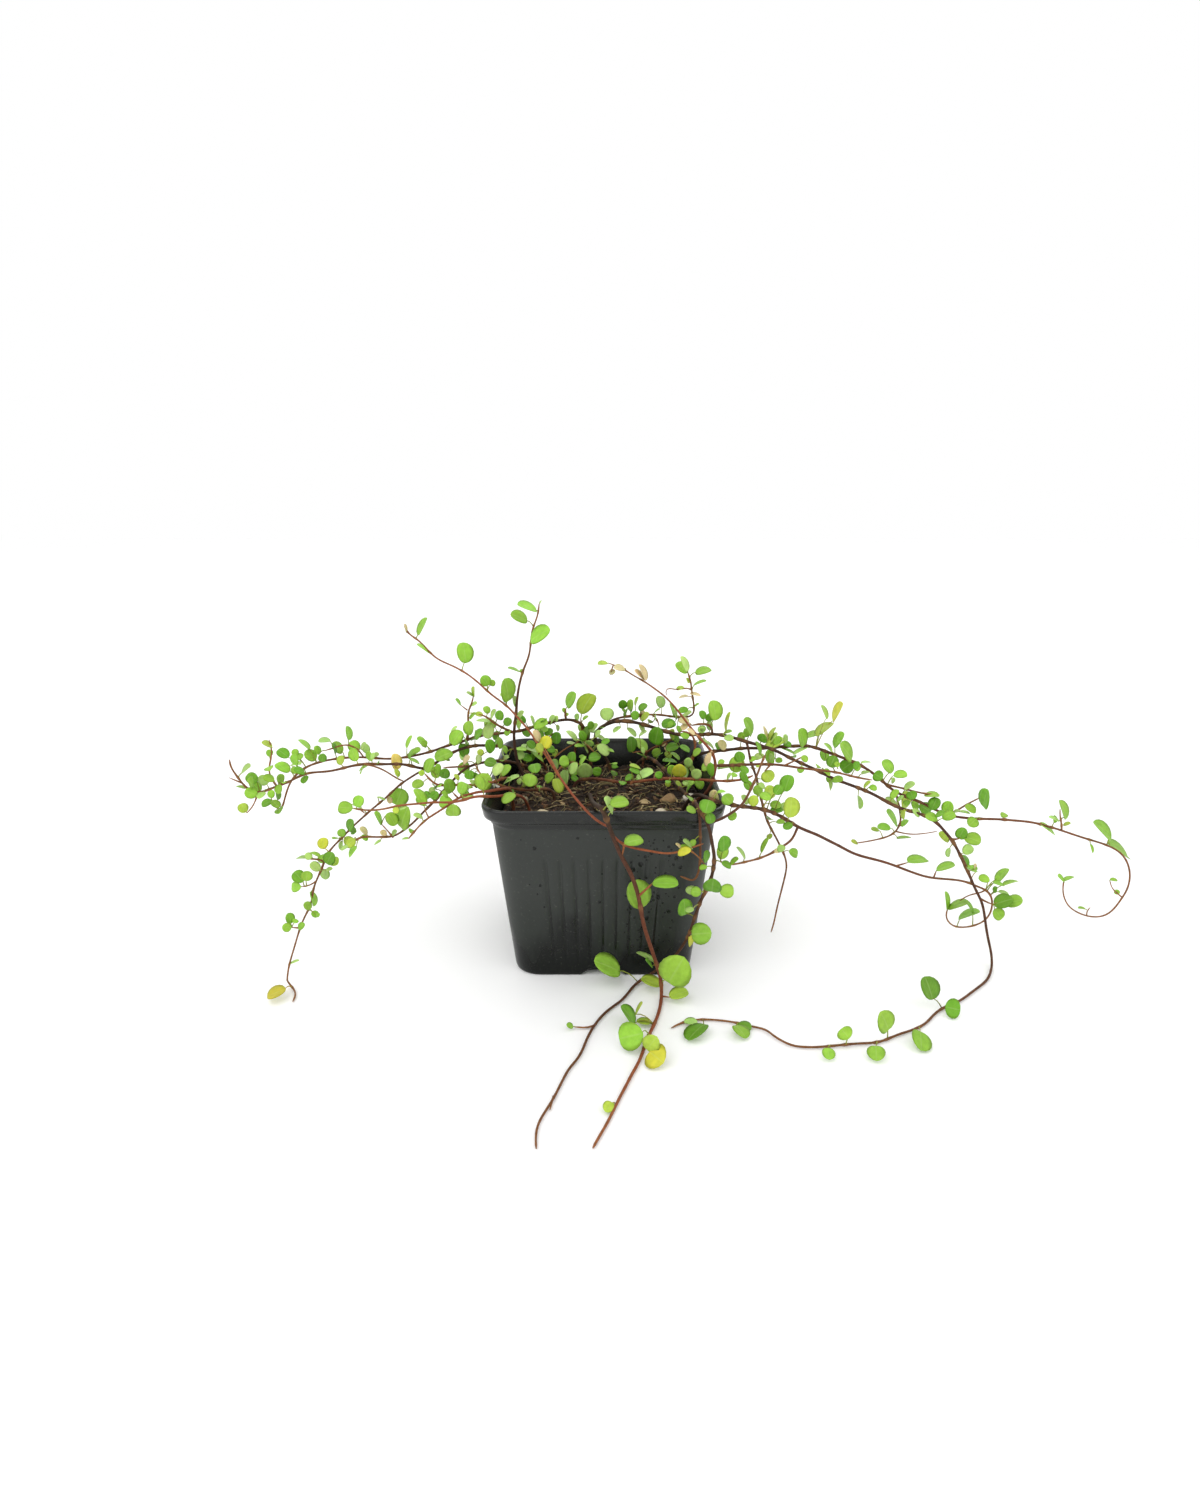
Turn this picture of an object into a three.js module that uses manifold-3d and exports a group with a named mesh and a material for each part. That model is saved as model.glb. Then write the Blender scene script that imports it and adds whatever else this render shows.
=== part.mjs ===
// Potted wire vine: a small square nursery pot, its soil and pebbles, and the wiry leafy runners.
// Millimetres, Z up, the front of the pot faces -Y, the pot stands on z = 0 at the origin.
import * as THREE from "three";
import Module from "manifold-3d";

const kernel = await Module();
kernel.setup();
const { Manifold, Mesh } = kernel;

// Driving sizes.
const POT_HEIGHT = 82;
const RIM_HALF = 50;
const BASE_HALF = 39;
const FLOOR = 1.6;
const CORNER = 11;
const SOIL_TOP = 70;
const CLEAR = 0.3;
const ROOT_DEPTH = 12;
const BLADE = 0.7;
const FOLD = 0.13;
const TABLE_LIFT = 0.35;

// The runners are drawn on the upright plane through the middle of the pot, as seen from EYE.
// A point is [across, up, depth]: depth slides it along the line of sight, so the front view stays.
// A point without a depth lies on the table.
const EYE = new THREE.Vector3(-1.4, -352, 206);

function onSight(across, up, depth) {
  const grow = 1 - depth / EYE.y;
  return new THREE.Vector3(
    EYE.x + (across - EYE.x) * grow,
    depth,
    EYE.z + (up - EYE.z) * grow,
  );
}

function depthAtHeight(up, height) {
  return -EYE.y * ((EYE.z - height) / (EYE.z - up) - 1);
}

let seed = 7;
function draw(low, high) {
  seed = (seed * 16807) % 2147483647;
  return low + (high - low) * (seed / 2147483647);
}

// root: where the runner leaves the soil [x, y]; girth: radius at the root and at the tips.
// stems: the first one is the rooted one. leaves: foot across, foot up, tip across, tip up, width, tint.
const RUNNERS = {
  front_trail: {
    root: [-7, -6],
    girth: [1.15, 0.55],
    stems: [
      [[-6, 70, -10], [-5, 66.6, -22], [-2.6, 64.6, -38], [-1, 63.8, -48], [0.4, 62, -53.6],
      [1.6, 58, -57],
        [2.9, 53.6, -58.4], [5.1, 48, -58.6], [9, 38, -58.6],
        [12.9, 30.8, -58.4], [15.6, 23.4, -58], [18.2, 12, -57.4], [19.2, 5, -57], [20.6, -0.5, -56.4],
        [22.4, -6.5, -56], [24.6, -13.4, -55.6], [26.3, -19, -55.4], [28, -24.6, -55], [29.2, -31, -54.6],
        [29.3, -36], [29.2, -41], [28.2, -47.4], [26.5, -53], [24.5, -58.4], [22.1, -64.8],
        [20.6, -71], [18.3, -78],
        [14.7, -85.7], [11.9, -92.7], [9.1, -99], [7, -104.5], [3.4, -113.6], [0.4, -120.5],
        [-2.6, -126.6],
        [-5.2, -132.6]],
      [[2.9, 53.6, -58.4], [-1, 55.6, -58], [-6, 60.2, -56.6], [-9, 63.6, -54], [-12, 67.4, -50],
        [-16, 72.8, -44], [-20, 79, -38], [-23, 84, -33], [-26.6, 90.4, -27], [-30, 95.6, -22],
        [-34, 102, -17],
        [-38.6, 107.4, -13], [-42.4, 112, -10], [-50, 117.8, -6], [-54, 122, -4], [-60, 127, -1],
        [-66, 130.4, 2],
        [-72.6, 133.4, 5], [-76, 137, 7], [-80.4, 142.2, 9], [-84.4, 144.2, 11], [-85.6, 147.6, 12]],
      [[-20.4, 79.6, -37.6], [-22.6, 85, -33], [-24.6, 89, -30], [-26.4, 92.6, -27]],
      [[5.1, 48, -58.6], [7, 46.6, -59], [10, 44.6, -59], [15, 43, -58.6], [21, 42, -58],
      [27, 40.6, -57.6],
        [32, 40.2, -57.4], [37, 41.6, -57], [43, 44, -56], [47, 45.4, -55]],
      [[10, 44.6, -59], [9.6, 41, -60], [8.8, 38.6, -59]],
      [[41.6, 43.4, -56.2], [45.4, 38.6, -55.6], [49.2, 32.6, -54]],
      [[19.4, 18, -57.8], [21.4, 22.4, -60], [23.4, 24.6, -61]],
      [[29.2, -38], [31.4, -38.2, -60], [33.2, -38.4, -60]],
    ],
    leaves: [
      [-60.2, 131.4, -60.8, 140.6, 7], [-50.6, 121.4, -52.8, 126, 4.6], [-49.6, 121.4, -48, 124, 3],
      [-75.4, 135.8, -80.8, 139.8, 1.6], [-79.8, 143.6, -75.6, 151.4, 2.6],
      [-84.8, 144.8, -85.6, 148.6, 1.2, "dry"],
      [-42.2, 114.2, -43.4, 124.6, 6.2], [-41.4, 115.6, -45.6, 117.4, 2.4, "pale"],
      [-27, 92.4, -24.4, 98.2, 5, "yellow"],
      [-27.4, 90.6, -30, 94.4, 3, "sallow"], [-28.4, 96, -31.6, 100.4, 3, "dry"],
      [10.2, 45.4, 18.6, 47.8, 4.6],
      [36.8, 42.8, 34, 45.6, 1.2, "dry"], [42, 43, 37.4, 47, 1.8, "pale"],
      [41.4, 42, 35.2, 40.2, 3.4, "yellow"],
      [41, 43.4, 36.4, 43.6, 1.8], [4.4, 61, 0.4, 68.4, 2.6, "pale"], [3.4, 65, 11.8, 66.6, 4.4],
      [18.6, 11.6, 14.4, 26.4, 9.6], [23.6, 24.6, 36, 24.4, 5], [32.6, -30, 40, -15.4, 13],
      [27, -19.6, 16.4, -12.8, 2, "pale"], [28, -20, 32.4, -19, 2, "pale"],
      [24.4, -21, 21, -16.8, 1.6, "deep"],
      [33.4, -38.6, 42.6, -35, 5, "sallow"], [20.6, -59.8, 8.4, -63, 10],
      [15.8, -55, 9, -43.4, 4, "deep"],
      [17, -52.6, 24, -54, 2.6, "sallow"], [16.4, -49, 20, -41.4, 1.2, "sallow"],
      [22.4, -69.6, 27.6, -61.8, 6.6, "sallow"],
      [24, -70.8, 31.4, -78, 9.4, "yellow"], [5, -102.8, 1.4, -109, 4, "sallow"],
    ],
  },
  left_arch: {
    root: [-6, 38],
    girth: [0.95, 0.5],
    stems: [
      [[-7, 96, 36], [-8, 102, 33], [-12, 105.5, 30], [-17, 106, 28], [-24, 104.5, 27], [-30, 103, 26],
        [-37, 100.6, 25], [-45, 99.6, 24], [-52.6, 98.8, 22], [-59.4, 97.2, 20], [-62.8, 95.7, 19],
        [-69.4, 94, 17], [-77.8, 90.8, 14], [-85, 89, 12], [-91.9, 87.8, 10], [-98, 87.3, 9],
        [-105, 88, 8], [-113, 88.2, 6], [-121.3, 87.4, 4], [-129.8, 85.6, 1], [-137.5, 82, -3],
        [-142.9, 76.5, -6], [-145.8, 70, -8], [-147.3, 66, -9], [-148.5, 61.8, -10],
        [-152, 64, -11], [-152.8, 67.5, -12]],
      [[-17, 106, 28], [-17.6, 108, 28], [-16.6, 110.8, 27]],
      [[-59.4, 97.2, 20], [-60.4, 99.5, 20], [-60, 105, 22], [-60.6, 109.5, 23], [-58, 113, 24],
      [-57.4, 116.5, 25]],
      [[-60.6, 109.5, 23], [-63, 112.4, 23]],
      [[-109, 88.2, 7], [-110, 91.4, 6], [-113.5, 94.2, 5], [-117.5, 94.3, 4], [-121.5, 92.4, 3],
        [-125.5, 91.4, 2]],
    ],
    leaves: [
      [-16, 111.6, -12, 118, 4.6], [-17.4, 109.2, -17.6, 111.4, 1.8], [-17, 107.6, -15.4, 108.8, 1.6],
      [-12, 105.6, -11, 108.6, 2.4, "pale"], [-9, 105.6, -6.6, 107.6, 1.5],
      [-21, 104.8, -20.6, 107.8, 2.2, "pale"],
      [-24, 103.6, -21.4, 107.6, 2.4, "pale"], [-31, 102.8, -32.4, 107.6, 1.5, "pale"],
      [-31, 102.4, -24.6, 104.6, 4.6], [-30, 100.4, -24.6, 101, 3.2],
      [-21, 103.4, -20, 100.6, 1.8, "pale"],
      [-36, 101, -33, 98, 3.4, "deep"], [-38, 101.4, -36.4, 106, 2.4],
      [-60.1, 98.5, -59.6, 105.3, 4.7], [-68, 94.2, -63.4, 100.6, 6.2],
      [-68, 98.8, -65.2, 102.8, 1.5, "pale"],
      [-79.6, 93, -83.7, 97.3, 3], [-87.5, 89.4, -82.3, 91.6, 2.8], [-88.6, 92.4, -85.7, 98.5, 1.8],
      [-63.2, 88.2, -63.4, 94.8, 5, "deep"], [-61.4, 90.6, -64.7, 87.6, 3.8, "pale"],
      [-63.2, 112.6, -65.4, 115.4, 1.5], [-57.4, 116.6, -60.4, 118.4, 1.4, "pale"],
      [-57, 116.4, -56.8, 121, 1.5, "sallow"], [-58.4, 112.4, -55.8, 113.6, 1.7, "pale"],
      [-59.4, 106, -56.6, 109.2, 1.6], [-57, 108.4, -53.4, 108, 2.4, "sallow"],
      [-105.6, 86.4, -105.4, 91, 3], [-104, 88.6, -101.2, 89.9, 2, "pale"],
      [-106.2, 84.6, -111, 81.6, 1.4],
      [-114.4, 96.2, -114.6, 103, 2.9], [-110.8, 90.8, -113.5, 95.8, 5.4],
      [-109.3, 92, -106.6, 94.8, 2, "pale"],
      [-117.7, 90.4, -122.1, 94.8, 4.4], [-122.5, 95.9, -128.2, 95.6, 2.4, "pale"],
      [-132.6, 91.9, -136.9, 96.6, 2.3], [-128, 89.7, -130.2, 93.3, 3], [-129.8, 87.4, -135, 90.6, 5],
      [-127.6, 86, -126.4, 90, 3.6, "deep"], [-142.4, 88, -146.8, 91.8, 4.6, "deep"],
      [-139.4, 88.6, -138.6, 92.2, 3], [-139.9, 84.4, -139, 89.6, 3.4], [-138.6, 87, -135.6, 89.6, 2.6],
      [-143.1, 80.8, -148.4, 85.2, 4.6], [-142, 84.2, -137, 84.9, 1.6, "pale"],
      [-152.6, 68.3, -151.8, 72.4, 3], [-152.4, 66.8, -157.6, 64.6, 3.2, "deep"],
      [-152.6, 67.2, -149.6, 63.6, 3.4],
    ],
  },
  left_spray: {
    root: [-38, 34],
    girth: [1.0, 0.5],
    stems: [
      [[-37, 88, 32], [-42, 93, 28], [-50, 93.6, 22], [-57.7, 93.8, 17], [-64, 92.2, 13], [-70, 89.4, 9],
        [-75.8, 85.6, 5], [-81.3, 82.2, 2], [-84.7, 83.3, 0], [-88.4, 84.5, -3], [-92.4, 85, -5],
        [-100.6, 84.8, -8], [-108.9, 85, -10], [-115.2, 83.8, -12], [-124.2, 81.4, -15],
        [-135.6, 80.5, -18],
        [-141.1, 77.6, -20], [-145, 75.6, -21], [-150, 74.1, -23], [-157.1, 70.9, -25], [-160.6, 71, -26],
        [-163.5, 73.1, -27], [-165.8, 76.8, -28], [-167.8, 80.7, -29], [-169.8, 84, -30],
        [-169.3, 87, -31]],
      [[-165.8, 76.8, -28], [-170.8, 78.4, -30]],
      [[-158.8, 70.2, -26], [-160.7, 65.5, -27], [-163.3, 61.8, -28], [-164.8, 61, -28]],
      [[-150, 74.1, -23], [-152.6, 80.6, -23], [-150.6, 86.8, -23], [-149.2, 92, -23],
      [-150.2, 96.6, -23]],
      [[-81.3, 82.2, 2], [-84.3, 80.7, 0], [-88.9, 77.8, -3], [-93, 75, -6], [-101, 67.5, -12],
      [-105.5, 64, -15],
        [-110, 60, -18], [-116.5, 54.2, -22], [-123, 47.5, -26], [-129, 41.5, -30], [-132.5, 34, -33],
        [-136, 27, -36], [-138.5, 22, -38], [-140, 14, -41], [-143.6, 8, -44], [-147, 1, -47],
        [-149.6, -6, -50],
        [-152.6, -14, -53], [-155.2, -21, -56], [-156.4, -26.5, -58.5], [-156.4, -29.8], [-155, -32.4],
        [-153, -35.5], [-155.4, -41]],
      [[-108.9, 85, -10], [-104, 84, -11], [-99.3, 81.9, -10], [-96, 79.4, -9], [-93, 77, -7.4],
      [-91, 76.6, -5]],
      [[-136, 27, -36], [-138.4, 23.6, -38], [-143.6, 23, -40]],
      [[-132.5, 34, -33], [-134.5, 38, -34], [-139, 37.6, -36]],
      [[-147, 1, -47], [-148.6, -0.6, -49], [-151, 1, -50]],
    ],
    leaves: [
      [-68, 90.4, -76, 86.9, 5.6], [-80.2, 80.6, -77, 87.6, 4.4], [-75.9, 78, -75.5, 84.2, 4.6],
      [-72.8, 78, -71.4, 82.9, 4.6, "deep"], [-87.8, 87.3, -83.3, 85, 1.5],
      [-94.2, 82, -94.4, 90, 4.7, "gold"], [-93.4, 78.6, -94.6, 82.4, 2.2, "sallow"],
      [-92, 73, -95.6, 65, 8.4],
      [-99, 69, -98, 65.6, 2.4, "dry"], [-104, 69, -100.4, 67.2, 1, "pale"],
      [-149.2, 93, -153.7, 95.3, 2.4, "sallow"], [-164.8, 80.4, -160, 84, 2, "pale"],
      [-158, 76.2, -162.4, 79.8, 4.6, "deep"], [-153.8, 75, -156.6, 79.4, 4.2, "pale"],
      [-150.2, 77, -155.2, 78.6, 3.2],
      [-148.4, 75.4, -145.4, 79.6, 3.4], [-147.6, 75, -149.4, 70.4, 3], [-157.4, 71.6, -160.6, 76, 4.4],
      [-159, 69.8, -164.4, 72, 4.6], [-164, 73, -167.8, 74.2, 1.3],
      [-165.9, 61, -166.6, 65.8, 4.2, "sallow"],
      [-118.5, 52, -116, 57.6, 3.6, "deep"], [-121.6, 49, -122.4, 53, 3.4],
      [-121, 48.6, -117.4, 44, 4.4, "sallow"],
      [-122, 47, -123, 42, 1.8, "pale"], [-131.6, 42.6, -130.4, 48.6, 4.4, "yellow"],
      [-133.4, 38.4, -137.6, 41, 1.6],
      [-137.4, 38, -140.2, 40.2, 3, "pale"], [-139.6, 38, -144.6, 37.8, 1.4, "pale"],
      [-131.6, 35.6, -133, 39.6, 4], [-130.6, 35, -127, 41, 5.2, "deep"],
      [-134, 32, -138.6, 35, 3.8, "pale"],
      [-131.4, 31.4, -128, 32.6, 1.6, "pale"], [-142.6, 25.6, -146.4, 31, 5.2, "deep"],
      [-141.4, 26, -140, 31.4, 4.6],
      [-144, 23, -148.6, 22.8, 4.2], [-140, 20.4, -139, 12.4, 2.6], [-141.4, 10.6, -142.8, 15, 3.2],
      [-140.4, 9.6, -137.6, 7, 2.8], [-138.6, 7.6, -136.6, 8.4, 2], [-151.4, 3, -151.8, 9, 3.6],
      [-149.6, 3.4, -148.4, 5.6, 2.6], [-151.4, 0.4, -155.6, 1.8, 3.6], [-148, 0.8, -144.4, 2.8, 2.8],
      [-154.4, -19.4, -149.4, -17.2, 1, "pale"], [-158, -34, -168, -38.4, 4.6, "yellow"],
    ],
  },
  left_low: {
    root: [-40.5, 20],
    girth: [0.85, 0.5],
    stems: [
      [[-46, 78, 14], [-50, 76, 8], [-56, 75, 0], [-61.3, 74.6, -6], [-67, 75, -11], [-73, 74.3, -16],
        [-76, 74.5, -18], [-79, 77, -20], [-81, 80, -21]],
      [[-50, 75.4, 8], [-53.8, 78, 7], [-57.6, 82.4, 6], [-58, 85, 5]],
    ],
    leaves: [
      [-81.6, 80, -83.8, 81.4, 2.6, "sallow"], [-51.6, 79.6, -57.4, 73.6, 7.4],
      [-57.8, 73.2, -61, 77.2, 2, "pale"],
      [-71.8, 77.6, -69.6, 71, 5.2], [-66, 77, -67.8, 80, 1.8, "sallow"],
      [-60.6, 82, -60.9, 77.4, 4.6, "deep"],
      [-58.6, 80.8, -57.8, 78, 2.6, "deep"], [-61.6, 86, -64.6, 80.8, 5.2],
      [-50, 90.6, -52.4, 96.3, 4.6, "deep"],
      [-54.8, 88.8, -55.9, 92, 2.9, "sallow"], [-48.4, 84.8, -53.7, 86.2, 4.2, "deep"],
      [-49.8, 79.5, -45.5, 84.8, 4, "pale"],
    ],
  },
  left_drop: {
    root: [-30, 24],
    girth: [0.95, 0.5],
    stems: [
      [[-35, 84, 22], [-42, 86, 16], [-48, 86.6, 11], [-53, 86, 6], [-58, 84.8, 1], [-62, 83.4, -3],
      [-65.5, 80.3, -6],
        [-68.6, 77, -9], [-73, 72.3, -13], [-77, 67.4, -16], [-82.3, 62.4, -19], [-86.6, 57.6, -23],
        [-90, 54.4, -26], [-94.5, 51.2, -29], [-98, 48.6, -31], [-103.4, 49.3, -34], [-106.6, 48.4, -36],
        [-112.6, 49.6, -39], [-117.6, 46, -42]],
      [[-60, 84.2, -1], [-66, 83.6, -4], [-72.6, 83.2, -8]],
      [[-98, 48.6, -31], [-99.6, 51, -32], [-103, 55.4, -33]],
    ],
    leaves: [
      [-94, 53.4, -89.8, 64, 6.8], [-99.8, 61, -96.6, 54.6, 5], [-103.2, 55, -105.9, 61.3, 2.2],
      [-98.6, 50, -96, 52, 2, "pale"], [-101, 50.2, -104, 51.6, 2.4, "dry"],
      [-104, 46.8, -107.2, 45, 1.2, "pale"],
      [-110, 50.2, -113.4, 53.4, 2.4, "dry"], [-113, 49.4, -110, 47.4, 2.2],
      [-116, 47.8, -120, 44.6, 3.8, "sallow"],
      [-119, 44.4, -123, 42, 1.6, "pale"], [-79.8, 68.4, -82.6, 71, 3.6, "deep"],
      [-79.3, 68.4, -75.6, 71.2, 3.8, "deep"],
      [-79.5, 70.4, -77, 73.4, 3, "pale"], [-63.4, 85.2, -60.2, 88.6, 2.6, "dry"],
    ],
  },
  left_front: {
    root: [-39, -21],
    girth: [0.9, 0.45],
    stems: [
      [[-42.4, 73, -23], [-46, 73, -27], [-52, 71.8, -29], [-58.8, 71.1, -18], [-63.4, 69.5, -22],
      [-66.9, 68.7, -25],
        [-70.6, 65.1, -28], [-74.6, 62.8, -31], [-78.6, 60, -34], [-82.1, 57.9, -37], [-86, 54, -39],
        [-89, 50.4, -41], [-91, 48, -42]],
      [[-66.9, 68.7, -25], [-68.6, 69, -26], [-69.2, 71.4, -27]],
      [[-82.1, 57.9, -37], [-82.6, 60.6, -36], [-82.4, 63.6, -35]],
    ],
    leaves: [
      [-69.5, 66, -75.4, 67, 5.4], [-69, 65.4, -69.4, 59.4, 6.2], [-82.5, 64.2, -86.6, 72.8, 3.8],
      [-83.6, 58.4, -88, 60, 2, "pale"], [-91, 48, -94, 47.8, 1, "pale"],
      [-64, 69, -59.6, 68.6, 1.8, "pale"],
    ],
  },
  left_brown: {
    root: [-32, -22],
    girth: [0.85, 0.45],
    stems: [
      [[-37, 69.4, -26], [-42, 70, -30], [-46, 69.6, -34], [-50.5, 69, -38], [-55, 69.3, -42],
      [-59.4, 69.2, -45],
        [-64, 67.4, -48], [-70, 66, -51], [-76.6, 66.4, -53], [-82, 66, -54.6], [-86, 65.4, -55.6],
        [-91, 65.2, -56.6],
        [-98, 63.8, -57.6], [-102.4, 62.5, -58], [-107.2, 62.3, -58], [-112, 62.4, -58],
        [-115, 63.2, -58]],
      [[-112, 62.4, -58], [-110, 60.6, -57]],
    ],
    leaves: [
      [-115.6, 63.2, -122.4, 63.8, 4.8], [-113.6, 64, -111.3, 69.6, 4], [-40.4, 70.4, -46.2, 65.8, 4],
      [-94.6, 63.4, -97, 61.2, 2.4, "sallow"], [-94.2, 62.8, -90.6, 64.6, 2, "pale"],
    ],
  },
  upright: {
    root: [-34, 6],
    girth: [1.0, 0.4],
    stems: [
      [[-38.4, 84, 6], [-39.8, 92, 5], [-40, 100, 4], [-38.8, 108, 3], [-38, 116, 2], [-36.8, 122.4, 1],
        [-34.8, 129, 0], [-32.2, 134.6, -1], [-31.4, 140, -2], [-30.8, 146, -3], [-28.6, 150.6, -4],
        [-27.6, 153.6, -4],
        [-27.4, 157, -4]],
      [[-40, 100, 4], [-44, 101.6, 3], [-48, 103.8, 1], [-50.4, 105.4, 0], [-52, 107.8, -1],
      [-55.4, 108.4, -2]],
    ],
    leaves: [
      [-27.2, 157, -24.4, 162, 1.8, "pale"], [-28.4, 154, -37, 157, 3.4],
      [-32.6, 149.6, -39.8, 152.8, 4.6],
      [-31.4, 141, -22.8, 146.2, 6], [-36.6, 127.6, -41.8, 129.4, 1.2], [-36.6, 127.8, -34.8, 128.6, 1],
      [-38.8, 112, -40, 116.6, 2.2, "pale"], [-37.6, 106.6, -35.4, 110, 2.2, "pale"],
      [-51, 108.6, -52.6, 112, 3],
      [-50, 106.4, -47.6, 110.4, 1.8, "pale"], [-46.4, 105.6, -45.6, 110.2, 3.8, "deep"],
      [-43.8, 103, -41.4, 106.6, 3.6, "deep"],
      [-50, 104.6, -56.7, 105.4, 1.6, "pale"], [-50.2, 104, -51.6, 96.8, 5, "pale"],
      [-53.6, 101, -57.4, 97, 3.2, "deep"],
      [-47.4, 98, -46.6, 92, 2.6], [-41.8, 101.4, -43.8, 98.4, 2.6],
    ],
  },
  back_runner: {
    root: [4, 34],
    girth: [1.05, 0.5],
    stems: [
      [[-1, 92, 34], [-4.2, 97, 34], [-3, 101, 33], [0, 103, 32], [5, 105, 30], [10, 105.4, 28],
      [16, 104.2, 26],
        [22, 102.4, 24], [28, 100.4, 22], [34, 98.8, 20], [41, 98.8, 18], [50, 99.2, 15],
        [56, 98.2, 13], [63, 96, 10],
        [70, 94, 8], [78, 91.4, 5], [85, 87.6, 3], [92, 84.4, 1], [98, 81.6, -1], [104, 78.4, -3],
        [110, 76, -5],
        [117, 73.4, -8], [124, 70.4, -10], [130, 67, -12], [136, 63.8, -14], [143, 61.6, -16],
        [150, 59.4, -18],
        [155, 56.4, -20], [158.6, 52.6, -21.5], [163.8, 46.8, -23], [168, 40, -24],
        [171.3, 34.4, -25], [174.1, 29, -26],
        [178.4, 20.8, -27], [182.1, 14.9, -28], [184.3, 7.8, -29], [186.2, 0.5, -30], [188.2, -6, -31],
        [190.5, -12.6, -32], [191.8, -18.5], [192, -22.7], [191.2, -27.7], [189.6, -30.2], [186.1, -33.6],
        [179, -40.5], [174.8, -43], [170.6, -44.8], [166.5, -49.2], [163.5, -54], [158, -57.5],
        [150, -60.6],
        [141, -65.2], [129.4, -66], [116.8, -67.5], [108, -68.3], [100.7, -68], [96.8, -67.6],
        [92, -64.6],
        [86.7, -61.5], [83.4, -57.4], [76.2, -56], [69.2, -53.8], [62.5, -52.4], [54.9, -51.6],
        [47.8, -51.5],
        [40.7, -53], [34.8, -56.6]],
      [[0, 103, 32], [4, 106, 33], [8, 107, 34], [12, 107.5, 35], [17, 108, 35], [22, 108.3, 34],
      [27, 108, 33],
        [32, 107, 32], [37, 106.8, 31], [40.4, 107, 30], [40.6, 110, 30], [39.8, 115, 29],
        [38.8, 120, 28],
        [38.4, 125, 27], [37.2, 127, 27]],
      [[17, 108, 35], [20.4, 108.8, 30], [24.4, 106.4, 25], [25, 103, 23]],
      [[38.6, 121.4, 28], [36, 121, 26], [33.4, 119, 25], [31.4, 119.4, 24], [29, 121, 23],
      [27, 120.6, 22],
        [26.4, 118.8, 22], [28, 117, 22]],
      [[50, 99.2, 15], [49.6, 102, 15], [47.4, 104, 16], [43, 104, 17], [39.6, 103.2, 18]],
      [[63, 96, 10], [64.6, 94, 9], [65.8, 92, 8], [66.4, 87, 7], [68, 83.6, 6], [70, 78.6, 5],
      [71.4, 72.6, 3],
        [73.7, 65, 0], [75, 60.6, -2], [77, 55, -4], [79.6, 51, -5], [82.6, 45.4, -6], [84.8, 41, -7],
        [86.9, 36, -7],
        [87, 32.6, -7], [86.2, 26.6, -7], [84.9, 18.6, -7], [83.8, 11.6, -7], [82.8, 3, -7],
        [81.8, -1.6, -7]],
      [[163.8, 46.8, -23], [166.4, 48, -24]],
      [[182.1, 14.9, -28], [184.6, 14, -29], [187.4, 13.6, -30]],
    ],
    leaves: [
      [1.6, 105.4, 1.8, 111.4, 6.4, "pale"], [9, 111, 8.4, 115, 4.2, "deep"], [12, 109.6, 13, 115, 3.2],
      [14.2, 112, 15.6, 116.2, 1.4, "sallow"], [16, 110, 19.4, 113, 3.2, "deep"],
      [14.2, 105.6, 14, 110, 3.8, "deep"],
      [17, 105.6, 20.6, 108.6, 3, "sallow"], [16.6, 105.6, 18.4, 110, 2.4, "dry"],
      [25, 102.4, 23.4, 94.2, 7.2, "deep"],
      [8, 102.6, 4.6, 99.8, 2, "pale"], [10.6, 102, 14.6, 97.8, 2.4, "pale"],
      [16, 103.8, 18, 100, 2.2, "pale"],
      [25.8, 111.2, 24.4, 116.8, 4.4, "pale"], [31.6, 106.6, 29.4, 113.4, 1.6],
      [32.4, 106, 31.4, 110.4, 1.4, "pale"],
      [35.6, 107.2, 39.4, 109.4, 2, "pale"], [32.4, 104.4, 26.2, 102.8, 4.8, "deep"],
      [33, 103, 34.6, 99.8, 2.4],
      [31.8, 101.4, 31, 96.4, 2.6, "sallow"], [31.4, 98.4, 33.8, 95.4, 3.2, "deep"],
      [34.8, 99, 38.6, 97.4, 3],
      [38.4, 104.4, 33.6, 105.8, 3.4, "dry"], [37.6, 103.8, 35.2, 101, 2.8, "dry"],
      [36.8, 127, 31.8, 131.6, 4.6], [36.6, 127.6, 33.8, 134.6, 3, "pale"],
      [40.6, 126.4, 47.2, 128.8, 3.8],
      [39.6, 121.4, 45.4, 123.6, 1.4], [35.6, 120.8, 32.4, 119.4, 2, "sallow"],
      [37.6, 122.4, 36.6, 125, 1.4, "sallow"],
      [38.4, 117.6, 43.2, 116.8, 1.6, "dry"], [37.6, 116.6, 33.4, 115.8, 1.3, "dry"],
      [40.4, 111.8, 42.6, 113.2, 1],
      [45, 106, 43.2, 110, 3.2, "deep"], [47, 105, 47.6, 108.8, 3.6, "deep"],
      [50, 105.4, 48.4, 114.8, 6.4],
      [43.4, 103, 45, 99.8, 3.8, "pale"], [46, 96.6, 43, 94.6, 2],
      [55.2, 99.6, 56.6, 109.4, 1.6, "sallow"],
      [66.6, 98.6, 62.6, 106.2, 4], [54, 99.4, 57.8, 100.4, 1.6], [54.4, 97.6, 58.6, 96.6, 3, "pale"],
      [66.4, 86.2, 69.2, 88.2, 2.4], [102, 79, 104.4, 76.6, 3], [104.6, 76.6, 109.8, 77.6, 3],
      [103, 77, 104.4, 72.4, 1.8],
      [121.8, 73.8, 125.6, 72.6, 2.6], [119.4, 73.4, 122.4, 76.4, 1.6, "sallow"],
      [130, 67.4, 136.4, 64.6, 2.4, "pale"],
      [139.6, 62.6, 139, 58, 2.2, "sallow"], [143, 63, 146.6, 59, 2.6, "pale"],
      [149.4, 58.8, 155, 58.6, 4],
      [162, 46.4, 156.6, 51, 3.4, "sallow"], [166.4, 48, 168.4, 53.6, 4.8, "deep"],
      [169, 48.8, 177, 46, 5.4],
      [171.4, 32.4, 169.6, 39.8, 2.8, "deep"], [172, 32.4, 175.4, 33.6, 2],
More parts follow.
